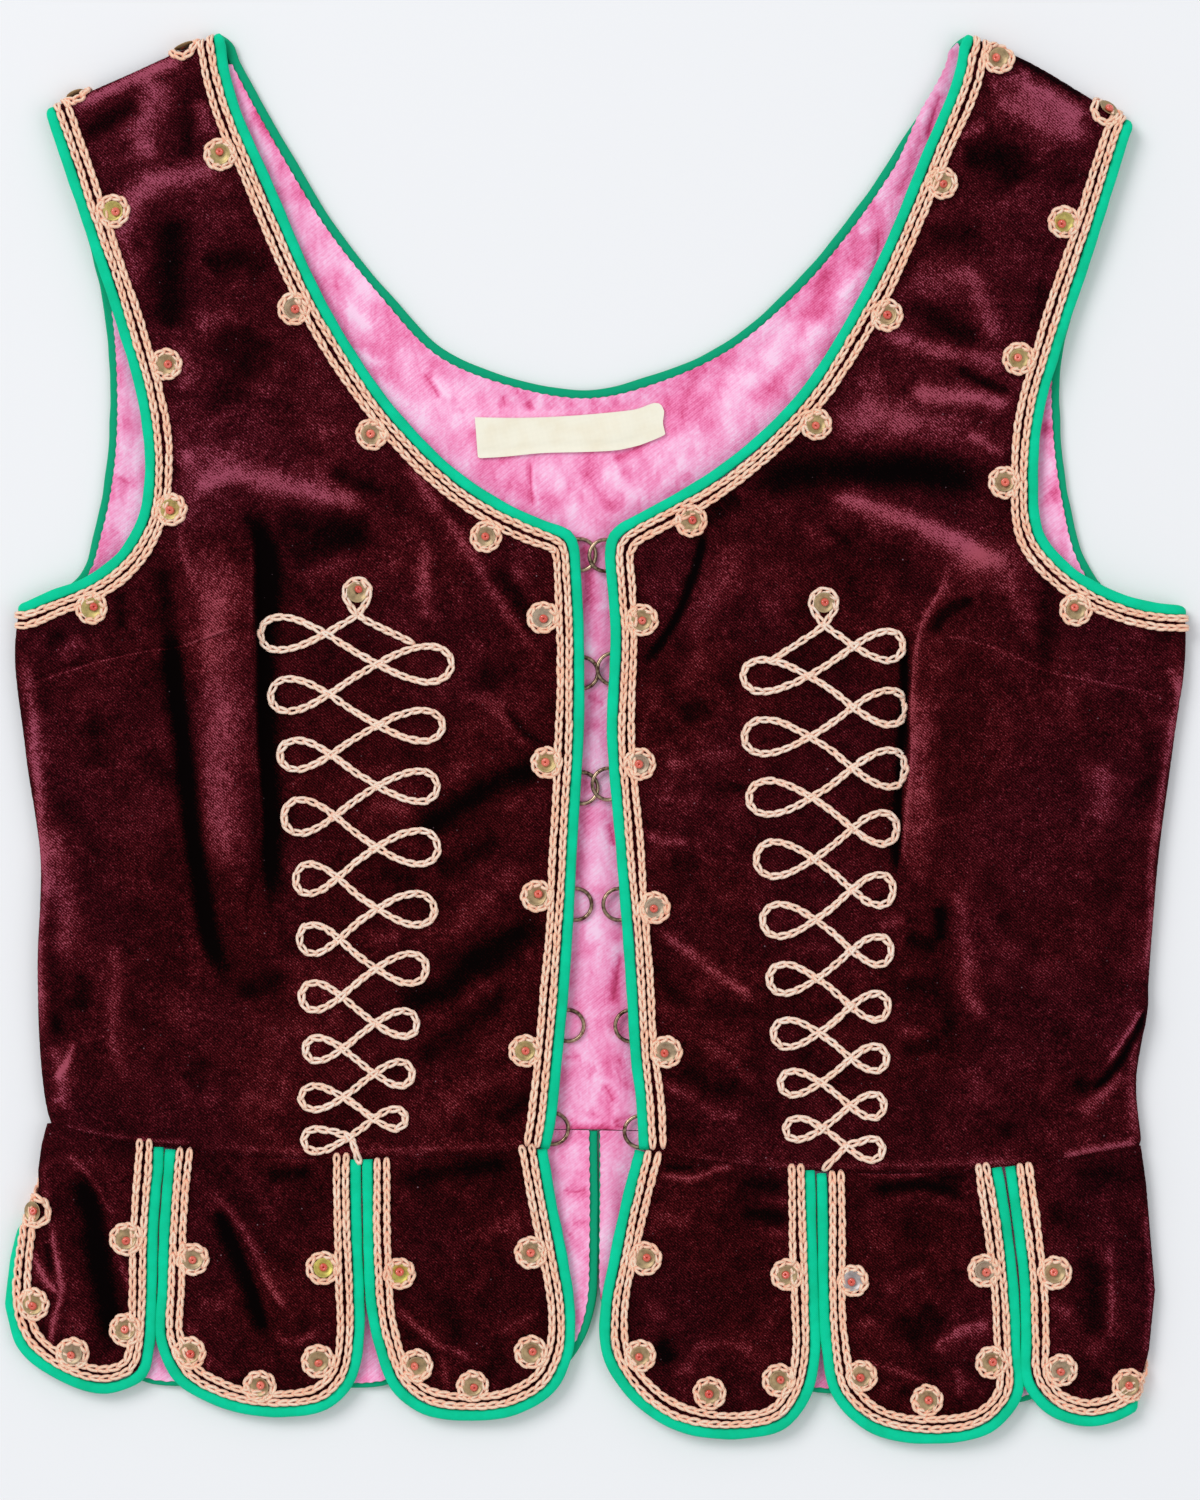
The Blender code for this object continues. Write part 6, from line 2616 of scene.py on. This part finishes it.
@dataclass
class Back:
    """The back with its lining, six tabs and the bindings round them.

    Attributes:
        spacing: distance between the points of its smoothed edges.
        velvet_spacing: distance between the mesh's points on the panel.
        tab_spacing: the same on a tab.
        satin_spacing: the same on a lining.
        satin_edge: distance between the points of a lining's edge.
        neck: finished edge of the neck.
        waist: seam of the tabs.
        tab_points: points along half of a tab's rounded end.
        end_overlap: how far a tab's lining covers the binding at its rounded end.
        neck_overlap: how far the lining covers the binding at the neck.
        armhole_overlap: the same at an armhole.
        shoulder_overlap: how much more it covers towards the shoulder.
        shoulder_from: height at which that begins.
        shoulder_fade: length over which it grows.
        seam_overlap: the same at the side seams, below 0 where it stops short.
        waist_overlap: the same at the waist.
        waist_band: the height of the waist and how far about it that holds.
        whip_pitch: distance between the whip stitches.
        whip_depth: how far they draw the lining's edge in and out.
        edge_rise: how high the lining's sewn edge stands over its face.
        tab_edge_drop: how much less it does on a tab.
        wall_shares: thickness of the panel's and of a tab's lining, in linings.
        edge_fade: how far in from its edge the panel's lining settles.
        tab_fade: the same on a tab, beyond what the lining covers.
        creases: those of the panel's lining, painted lighter or darker as painted highlight and painted
            shade, and raised or lowered a little.
    """

    layers: Layers
    tape: Tape
    dress: Finishes
    fronts: dict[Side, Front]
    spacing: float = 6.0
    velvet_spacing: float = 5.0
    tab_spacing: float = 3.2
    satin_spacing: float = 2.4
    satin_edge: float = 0.9
    neck: Knots = (
        (-130.4, 247.6), (-124.9, 236.9), (-110.5, 211.7), (-92, 181.6), (-74.5, 160.2),
        (-55, 140.2), (-31, 130), (-2.5, 125.6), (22, 131.6), (46, 142.4), (67, 160),
        (91, 187.8), (112.7, 220), (120, 231.5), (128.4, 247.4),
    )
    waist: Knots = ((186, -144.4), (95, -142.5), (0, -140.4), (-95, -139.5), (-188, -138.4))
    tabs: tuple[BackTabCut, ...] = (
        BackTabCut(1, -177.0, -118.4, -232.8),
        BackTabCut(2, -118.0, -59.4, -233.4),
        BackTabCut(
            3, -59.0, 0.2, -234.0, (1.4, 1.3), 40.0, 1.0,
            painted_light_strokes(
                (0.4, 2.5, -8, -146, -9, -155), (-0.75, 0.9, -12.5, -162, -8, -163, -2.5, -161.5),
                (0.4, 1.8, -11.5, -166, -8.5, -169.5), (-0.6, 1.3, -9.5, -174, -6, -174, -2, -172.5),
                (-0.6, 0.7, -11, -179, -8.5, -177.5), (-0.8, 0.8, -6, -179.5, -4.5, -180),
                (0.3, 1.8, -7, -184.5, -8.5, -193), (-0.5, 1.8, -4, -198.5, -7, -202, -7, -211),
            ),
        ),
        BackTabCut(
            4, 0.8, 58.4, -234.0, (4.1, 1.4), 40.0, 1.0,
            painted_light_strokes(
                (0.35, 2.9, 2, -144, 4, -166, 3, -191), (-0.4, 0.7, 0.5, -155.5, 3, -156.5),
                (-1, 1.8, 1.5, -198.5, 1, -209),
            ),
        ),
        BackTabCut(5, 58.8, 116.4, -235.4),
        BackTabCut(6, 116.8, 169.6, -239.0),
    )
    tab_points: int = 14
    end_overlap: float = 2.5
    neck_overlap: float = 1.1
    armhole_overlap: float = 1.4
    shoulder_overlap: float = 3.6
    shoulder_from: float = 203.0
    shoulder_fade: float = 24.0
    seam_overlap: float = -0.5
    waist_overlap: float = -0.05
    waist_band: tuple[float, float] = (-141.0, 6.0)
    whip_pitch: float = 3.5
    whip_depth: float = 0.22
    edge_rise: float = 1.1
    tab_edge_drop: float = 0.25
    wall_shares: tuple[float, float] = (0.6, 0.35)
    edge_fade: float = 6.5
    tab_fade: float = 4.6
    creases: tuple[Fold, ...] = painted_light_strokes(
        (-0.5, 1.8, -130, 244.5, -124, 230, -117, 214), (-0.25, 2.2, -121, 223, -112, 207, -105, 190),
        (-0.35, 2.5, -107, 180, -99, 162, -89, 142), (0.35, 2.2, -98, 181, -89, 169, -76, 154),
        (0.8, 1.4, -90.5, 155, -86, 151.5, -81, 147), (0.6, 1.4, -88, 141, -82.5, 137, -76.5, 133.5),
        (-0.35, 2.5, -71, 147, -62, 140, -53, 134), (0.55, 3.2, -81, 130, -71, 122, -57, 108),
        (0.35, 2.9, -57, 122, -48, 108, -46, 95), (-0.8, 0.9, -62.5, 132, -59.5, 127.5, -56.5, 122),
        (0.6, 0.9, -58.5, 130, -55, 125, -52, 122), (-0.8, 0.9, -34, 124, -33, 119),
        (0.4, 0.7, -30.5, 124, -29.5, 120.5), (-0.8, 1.1, -25, 122, -23.5, 117.5),
        (0.45, 0.7, -21, 123, -20, 119), (-0.7, 0.9, -17.5, 121.5, -16, 117.5),
        (-0.6, 1.1, -9, 121.5, -9.5, 118.5), (-0.6, 1.3, -2.5, 122, 1, 118),
        (-0.5, 1.1, 7.5, 123, 5.5, 119), (0.3, 1.1, 15.5, 124, 19, 121.5),
        (-0.25, 1.8, -33, 125.5, -13.5, 122.5, 8.5, 124), (-0.35, 3.2, 26, 127, 37, 132, 51, 139),
        (-0.4, 2.5, 28, 116, 33, 118, 39, 124), (0.6, 2.5, 37, 113, 30, 108, 21, 97),
        (0.45, 1.8, 33.5, 102, 25.5, 94, 19, 86), (-0.9, 1.3, 5.5, 99.5, 12, 103.5, 19, 107.5),
        (-0.3, 1.4, 9, 97, 13.5, 93), (-0.5, 1.4, 34, 96, 30.5, 92.5),
        (-0.25, 2.2, -43, 100, -39, 93, -35, 88), (0.35, 1.4, -34, 99.5, -32, 93),
        (-0.7, 0.5, -24, 101, -24, 93, -23, 83), (0.4, 0.7, -22, 101, -22.5, 93, -21, 83),
        (0.45, 2.5, -18, 99, -13, 90, -8, 81), (-0.55, 2.2, -6, 98, 0, 90, 6, 81),
        (0.45, 2.2, 3, 98, 9, 91, 15, 86), (0.4, 1.8, 15.5, 90.5, 11, 84),
        (0.6, 3.2, 44, 118, 50, 124, 59, 133), (0.5, 2.5, 59, 127, 63, 138, 70, 149),
        (-0.45, 2.2, 56, 121, 65, 129, 73, 139), (0.35, 1.1, 73, 139.5, 77.5, 145.5, 82.5, 150),
        (0.35, 2.2, 68, 145, 73, 156, 77, 163), (-0.4, 2.2, 78, 158, 80, 163, 87, 172),
        (0.7, 1.1, 87, 158, 91, 162.5, 96, 169.5), (-0.3, 1.8, 77.5, 151.5, 84, 156),
        (0.6, 1.4, 94, 181.5, 98.5, 184), (-0.9, 0.7, 101, 184.5, 101, 176, 98.5, 165),
        (0.3, 1.4, 103.5, 188.5, 105.5, 194), (-0.5, 1.4, 107.5, 194, 113.5, 208.5, 117, 217.5),
        (-1, 0.9, 118.5, 215.5, 121.5, 226.5, 124, 233), (0.5, 0.7, 116.5, 221, 119, 227),
        (-0.45, 1.4, 121.5, 235.5, 126.5, 243.5, 129, 249), (0.35, 2.5, -11, 84, -5, 80, 0, 73),
        (-0.5, 2.5, 5, 86, 8, 81), (-0.9, 1.8, -6, 73, -3, 61, -3, 45.5),
        (0.3, 1.8, 1, 64.5, 2.5, 50, 3, 35.5), (0.7, 1.8, -3, 35.5, -2, 28.5),
        (-0.7, 1.4, -3.5, 16, -0.5, 14, 3, 12.5), (0.6, 2.9, -3, 3, 0, -5, 1, -13),
        (-0.45, 1.4, -4.5, -14, -3, -20), (-0.45, 1.8, -2.5, -22.5, -4, -29, -4, -35),
        (0.35, 3.2, 0, -27, 0, -40, -1, -54), (-0.9, 0.9, 4, -30, 5.5, -35.5, 6, -39),
        (-0.35, 1.1, -6, -40, -7, -51), (0.35, 3.6, 0, -60, 0, -76, 0, -90),
        (-1, 1.1, 8.5, -76.5, 7, -87, 5.5, -96), (-0.35, 1.4, -8.5, -76, -9, -88.5),
        (-0.7, 0.9, -12.5, -114, -9, -114.5, -5.5, -113.5),
        (-0.45, 1.8, -11, -116.5, -11, -124.5, -11, -133), (-0.6, 1.1, -2.5, -118, 0, -119.5),
        (-0.7, 0.7, 2, -124, 4.5, -127, 6, -131), (-0.5, 1.4, 6, -112, 9, -117.5, 11, -126.5),
        (-0.5, 0.9, -4, -136.5, -2, -134.5, 1, -137), (-1, 0.7, -13.5, -139.5, 1, -140.5, 13.5, -138.5),
        (-0.8, 1.1, 5.5, -138, 10, -136.5, 12.5, -134.5), (-0.5, 0.7, -10.5, -138, -8, -136),
        (0.3, 2.9, -3, -105, -1, -116, -3, -128), (-0.3, 2.2, -173, 136, -170, 126, -168, 117),
        (0.5, 2.5, -170, 111, -170, 102), (-0.7, 1.1, -174, 94.5, -170.5, 93, -165, 90.5),
        (0.4, 1.8, -174, 86, -171, 80.5), (-0.5, 1.4, -175.5, 76, -171.5, 73.5),
        (-0.4, 1.4, 161.5, 115, 162.5, 107.5), (0.5, 1.8, 163, 102, 162.5, 93),
        (-0.4, 1.4, 163, 89.5, 165, 84), (0.4, 1.4, 167.5, 75, 172, 68),
    )

    def lines(self) -> dict[str, Any]:
        """The back's edges in plan."""
        found: dict[str, Any] = {}
        for side, front in self.fronts.items():
            out, surface = side.value, front.surface
            levels = np.linspace(surface.waist[0, 1], surface.armhole[0, 1], 40)
            creases = np.interp(levels, surface.side_y, surface.side_x)
            seam = np.column_stack([creases - out * (self.layers.roll_run + self.layers.gap), levels])
            ends = [front.edges["armhole"][-1], front.edges["inner"][-1]]
            shoulder = evenly(np.array(ends), 4.0)
            shoulder = surface.place(shoulder)[:, :2] + (0, -self.layers.gap)
            armhole = beside(smooth_line(front.cut.back_armhole, self.spacing), out * self.tape.reach)
            armhole = armhole[
                (np.abs(armhole[:, 0]) < abs(seam[-1, 0])) & (armhole[:, 1] < shoulder[0, 1])
            ]
            found[side] = {"seam": seam, "armhole": armhole, "shoulder": shoulder}
        neck = beside(smooth_line(self.neck, self.spacing), -self.tape.reach)
        low, high = found[Side.LEFT]["shoulder"][-1], found[Side.RIGHT]["shoulder"][-1]
        found["neck"] = neck[(neck[:, 0] > low[0]) & (neck[:, 0] < high[0])]
        found["waist"] = np.array(self.waist)
        return found

    def outline(self, lines: dict[str, Any]) -> Points:
        """The back's whole edge."""
        left, right = lines[Side.LEFT], lines[Side.RIGHT]
        return np.vstack(
            [
                left["seam"], left["armhole"], left["shoulder"], lines["neck"],
                right["shoulder"][::-1], right["armhole"][::-1], right["seam"][::-1],
                lines["waist"],
            ]
        )

    def build(self) -> None:
        """Mesh the back, its lining and its tabs, and bind the edges."""
        lines = self.lines()
        outline = self.outline(lines)
        dress, layers = self.dress, self.layers
        down = FlatSurface(0.0, facing=Facing.DOWN)
        velvet = Cloth(
            "back_panel", down, outline, layers.velvet, dress.velvet, "velvet", self.velvet_spacing
        )
        panel = velvet.build()
        velvet.lay(panel, ["back_panel"], ["floor"])
        self.line(outline, lines)
        left_inner, left_armhole = self.fronts[Side.LEFT].tracks()
        right_inner, right_armhole = self.fronts[Side.RIGHT].tracks()
        neck = left_inner.joined(self.face_down(lines["neck"], 1), right_inner.reversed())
        self.tape.sew("binding_neck", neck, dress.tape, 21)
        for side, track in ((Side.LEFT, left_armhole), (Side.RIGHT, right_armhole)):
            rest = self.face_down(lines[side]["armhole"][::-1], side.value)
            self.tape.sew(
                f"binding_armhole_{side.word}", track.joined(rest), dress.tape, 22, closed=True
            )
        for cut in self.tabs:
            self.build_tab(cut)

    def face_down(self, line: Points, hand: int) -> Track:
        """The binding's track along a flat edge that lies face down."""
        line = evenly(smooth_line(line, 2.0), self.tape.step)
        count = len(line)
        ways = hand * left_of(line)
        return Track(
            np.column_stack([line, np.zeros(count)]),
            np.tile([0.0, 0.0, -1.0], (count, 1)),
            np.column_stack([ways, np.zeros(count)]),
            np.full(count, self.tape.proud),
        )

    def whipped(self, edge: Points, overlaps: Points, seed: int) -> Points:
        """The lining's edge where it is whipped to the binding.

        Args:
            edge: the velvet's edge, evenly spaced.
            overlaps: how far the lining goes beyond it at each point.
            seed: starts the unevenness of the stitches.

        Returns:
            The wavy edge.
        """
        rng = np.random.default_rng(seed)
        along = lengths_along(edge)
        phase = 0.9 * np.sin(along / 9.0 + rng.uniform(0, 6)) + 0.7 * np.sin(along / 3.9)
        waves = np.sin(along * 2 * math.pi / self.whip_pitch + phase)
        drift = np.sin(along / 13 + rng.uniform(0, 6))
        offsets = overlaps + self.whip_depth * (waves + 0.8 * drift) * (overlaps > 0)
        return edge + offsets[:, None] * left_of(edge)

    def line(self, outline: Points, lines: dict[str, Any]) -> None:
        """Mesh the satin lining and lay it on the panel."""
        layers = self.layers
        edge = evenly(outline, 0.8)
        neck, armholes = lines["neck"], [lines[side]["armhole"] for side in Side]
        neck = np.vstack([neck, lines[Side.RIGHT]["shoulder"][-1:]])
        near = [nearest_on(edge, line)[0] < 0.5 for line in (neck, *armholes)]
        shoulder = smooth_step((edge[:, 1] - self.shoulder_from) / self.shoulder_fade)
        at_neck = self.neck_overlap + self.shoulder_overlap * shoulder * (edge[:, 0] > 0)
        overlaps = np.where(near[0], at_neck, self.seam_overlap)
        overlaps = np.where(near[1] | near[2], self.armhole_overlap, overlaps)
        level, band = self.waist_band
        overlaps = np.where(np.abs(edge[:, 1] - level) < band, self.waist_overlap, overlaps)
        trimmed = self.whipped(edge, overlaps, 5)
        whole = trimmed[near[0] | near[1] | near[2]]
        raised = evenly(whole, 2.0)
        surface = FlatSurface(
            layers.lining_top, Relief((), (Ripple(31, 30, 0.05),)),
            raised=(raised, self.edge_rise), painted_light_marks=Relief(self.creases), fade=self.edge_fade,
        )
        lining = Cloth(
            "back_lining", surface, trimmed, layers.lining * self.wall_shares[0],
            self.dress.satin, "satin", self.satin_spacing,
            Relief(self.creases).refinement(), self.satin_edge,
        )
        piece = lining.build()
        lining.lay(piece, ["back_lining"], ["back_panel"])

    def tab_outline(self, cut: BackTabCut) -> Points:
        """A back tab's finished edge: straight sides and a rounded end."""
        xs, ys = by_x(np.array(self.waist))
        top = np.interp((cut.left, cut.right), xs, ys) - 2 * self.layers.gap
        middle, half = (cut.left + cut.right) / 2, (cut.right - cut.left) / 2
        start = cut.lowest + cut.rounding
        turns = np.linspace(math.pi, 2 * math.pi, 2 * self.tab_points - 1)
        power = cut.squareness
        end = np.column_stack(
            [
                middle + half * np.sign(np.cos(turns)) * np.abs(np.cos(turns)) ** power,
                start + cut.rounding * np.sign(np.sin(turns)) * np.abs(np.sin(turns)) ** power,
            ]
        )
        return np.vstack([[cut.left, top[0]], end, [cut.right, top[1]]])

    def build_tab(self, cut: BackTabCut) -> None:
        """Mesh a back tab, its lining and its binding."""
        layers, dress = self.layers, self.dress
        outline = self.tab_outline(cut)
        edge = beside(outline, self.tape.reach)
        edge[0, 1], edge[-1, 1] = outline[0, 1], outline[-1, 1]
        name = f"tab_back_{cut.number}"
        down = FlatSurface(0.0, facing=Facing.DOWN)
        velvet = Cloth(name, down, edge, layers.velvet, dress.velvet, "velvet", self.tab_spacing)
        piece = velvet.build()
        tape = self.tape.sew(f"binding_{name}", self.face_down(edge, -1), dress.tape, cut.number)
        velvet.lay(piece, [name], ["floor"], [tape])
        fine = evenly(edge, 0.8)[::-1]
        middle, half = (cut.left + cut.right) / 2, (cut.right - cut.left) / 2
        across = (fine[:, 0] - middle) / half
        end = smooth_step((cut.lowest + cut.rounding - fine[:, 1]) / cut.rounding)
        sides = np.where(across < 0, *cut.overlaps)
        overlaps = sides + (self.end_overlap - sides) * end
        trimmed = self.whipped(fine, overlaps, 60 + cut.number)
        top = 0.35 + np.interp(trimmed[[0, -1], 0], *by_x(np.array(self.waist))) - 2 * layers.gap
        trimmed[[0, -1], 1] = top
        surface = FlatSurface(
            layers.lining_top, Relief((), (Ripple(50 + cut.number, 24, 0.1),)),
            raised=(evenly(trimmed, 2.0), self.edge_rise - self.tab_edge_drop),
            painted_light_marks=Relief(cut.creases), fade=self.tab_fade + max(cut.overlaps),
        )
        lining = Cloth(
            f"lining_{name}", surface, trimmed, layers.lining * self.wall_shares[1],
            dress.satin, "satin", self.satin_spacing,
            Relief(cut.creases).refinement(), self.satin_edge,
        )
        satin = lining.build()
        lining.lay(satin, [f"lining_{name}"], [name])


# Rings and label ------------------------------------------------------------------


@dataclass
class LacingRings:
    """The lacing rings under the two front edges."""

    layers: Layers
    dress: Finishes
    radius: float = 5.65
    wire: float = 0.72
    around: int = 56
    section: int = 12
    left: Knots = (
        (-6.1, 66.2), (-5.4, 23.8), (-5.4, -17.6), (-7.6, -59.4),
        (-10.4, -103.0), (-16.0, -140.0),
    )
    right: Knots = (
        (2.9, 65.9), (5.8, 25.2), (4.0, -16.2), (7.9, -59.4),
        (12.2, -103.0), (15.5, -141.0),
    )

    def build(self) -> None:
        """Make each ring at its listed place and hide its node."""
        base = self.layers.lining_top + self.layers.gap + self.wire
        turns = np.arange(self.section) * 2 * math.pi / self.section
        profile = np.column_stack([self.radius + self.wire * np.cos(turns), self.wire * np.sin(turns)])
        for side, places in (("left", self.left), ("right", self.right)):
            lift = self.layers.right_lap if side == "right" else 0.0
            for number, (x, y) in enumerate(places, 1):
                name = f"ring_{side}_{number}"
                ring = Scatter(name, self.dress.brass, "brass", profile, self.around)
                ring.add(np.array([x, y, base + lift]), np.eye(3))
                piece = ring.build()
                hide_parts(name)


@dataclass
class Label:
    """The bare cloth label in the back neck.

    Attributes:
        top: its upper edge from the left.
        bottom: its lower edge from the right.
        hem: width of the fold along its lower edge.
        wall: its thickness.
        lift: how high its face lies over the lining.
        spacing: distance between the mesh's points.
    """

    layers: Layers
    dress: Finishes
    top: Knots = (
        (-43.9, 115.6), (-27.7, 115.4), (-13.3, 115.9), (1.1, 117.0), (13.7, 118.4), (23.0, 120.2),
        (24.2, 117.6),
    )
    bottom: Knots = (
        (23.6, 113.6), (24.6, 109.4), (20.9, 107.7), (15.5, 105.6), (8.3, 103.9), (-2.5, 103.2),
        (-20.5, 102.7), (-34.9, 101.3), (-42.8, 100.9),
    )
    hem: float = 2.3
    wall: float = 0.5
    lift: float = 0.8
    spacing: float = 1.4

    def build(self) -> None:
        """Mesh the label a little wavy on the lining."""
        lower = evenly(smooth_line(self.bottom[3:]), 4.0)
        outline = np.vstack([smooth_line(self.top), self.bottom[:3], lower])
        level = self.layers.lining_top + self.layers.gap + self.lift
        fold = Fold(tuple(map(tuple, lower + (0, self.hem))), -0.35, 0.8, 0.8, 0.02)
        surface = FlatSurface(level, Relief((fold,), (Ripple(77, 18, 0.05),)))
        cloth = Cloth(
            "label", surface, outline, self.wall, self.dress.label, "label", self.spacing
        )
        piece = cloth.build()
        cloth.lay(piece, ["label"], ["back_lining"])


# Studio -------------------------------------------------------------------------


@dataclass(frozen=True)
class Studio:
    """Floor, soft light and the camera straight above.

    Attributes:
        middle: what the camera looks down on.
        distance: the camera's height.
        frame_height: what the picture's height covers.
        image: width and height of the picture in pixels.
        sensor: height of the camera's sensor.
        world: strength of the light from all round.
        key: power of the main light in watts.
        fill_share: power of the second light, in main lights.
        floor_reach: from the middle of the floor to its sides, in metres.
        floor_drop: how far the floor lies under the model's, in metres.
    """

    middle: tuple[float, float] = (1.08, -3.96)
    distance: float = 2000.0
    frame_height: float = 540.0
    image: tuple[int, int] = (1200, 1500)
    sensor: float = 36.0
    world: float = 0.60
    key: float = 205.0
    fill_share: float = 0.22
    floor_reach: float = 3.0
    floor_drop: float = 0.0002

    def add_camera(self) -> None:
        """Look straight down with the bodice filling the picture."""
        data = bpy.data.cameras.new("camera")
        data.sensor_fit = "VERTICAL" if self.image[1] >= self.image[0] else "HORIZONTAL"
        data.sensor_height = self.sensor
        data.lens = self.sensor * self.distance / self.frame_height
        data.clip_end = 20
        camera = bpy.data.objects.new("camera", data)
        camera.location = (self.middle[0] * MM, self.middle[1] * MM, self.distance * MM)
        bpy.context.scene.collection.objects.link(camera)
        bpy.context.scene.camera = camera

    def add_floor(self, finish: bpy.types.Material) -> None:
        """Lay a plain pale floor."""
        mesh = bpy.data.meshes.new("floor")
        reach, ways = self.floor_reach, ((-1, -1), (1, -1), (1, 1), (-1, 1))
        corners = [(x * reach, y * reach, -self.floor_drop) for x, y in ways]
        mesh.from_pydata(corners, [], [(0, 1, 2, 3)])
        mesh.materials.append(finish)
        floor = bpy.data.objects.new("floor", mesh)
        bpy.context.scene.collection.objects.link(floor)

    def add_lights(self) -> None:
        """Light the bodice softly from the upper left."""
        self.softbox("key", (-3.4, 3.0, 4.6), 3.2, self.key)
        self.softbox("fill", (3.6, -1.4, 4.2), 3.6, self.key * self.fill_share)
        world = bpy.data.worlds.new("studio")
        world.use_nodes = True
        background = world.node_tree.nodes["Background"]
        background.inputs["Color"].default_value = (0.96, 0.98, 1.0, 1)
        background.inputs["Strength"].default_value = self.world
        bpy.context.scene.world = world
        bpy.context.scene.view_settings.view_transform = "Standard"

    def softbox(self, name: str, place: tuple[float, float, float], size: float, power: float) -> None:
        """Add one square soft light aimed at the bodice."""
        data = bpy.data.lights.new(name, "AREA")
        data.size = size
        data.energy = power
        light = bpy.data.objects.new(name, data)
        light.location = place
        light.rotation_euler = (-Vector(place)).to_track_quat("-Z", "Y").to_euler()
        bpy.context.scene.collection.objects.link(light)


def main() -> None:
    """Build the bodice and its studio."""
    logging.basicConfig(level=logging.INFO, format="%(message)s")
    dress = Finishes()
    studio = Studio()
    studio.add_camera()
    studio.add_floor(dress.floor)
    studio.add_lights()
    layers, tape = Layers(), Tape()
    haberdashery = Haberdashery(dress)
    fronts = {
        cut.side: Front(cut, layers, tape, dress, haberdashery)
        for cut in (LEFT_FRONT, RIGHT_FRONT)
    }
    Back(layers, tape, dress, fronts).build()
    for front in fronts.values():
        cloth, piece = front.build()
        cloth.lay(piece, [front.name], ["back_lining"], front.embroider())
    for cut in FRONT_TABS:
        surface = fronts[cut.side].surface
        Tab(cut, surface, layers, tape, dress, haberdashery).build(["floor"])
    LacingRings(layers, dress).build()
    Label(layers, dress).build()
    haberdashery.finish()


if __name__ == "__main__":
    main()
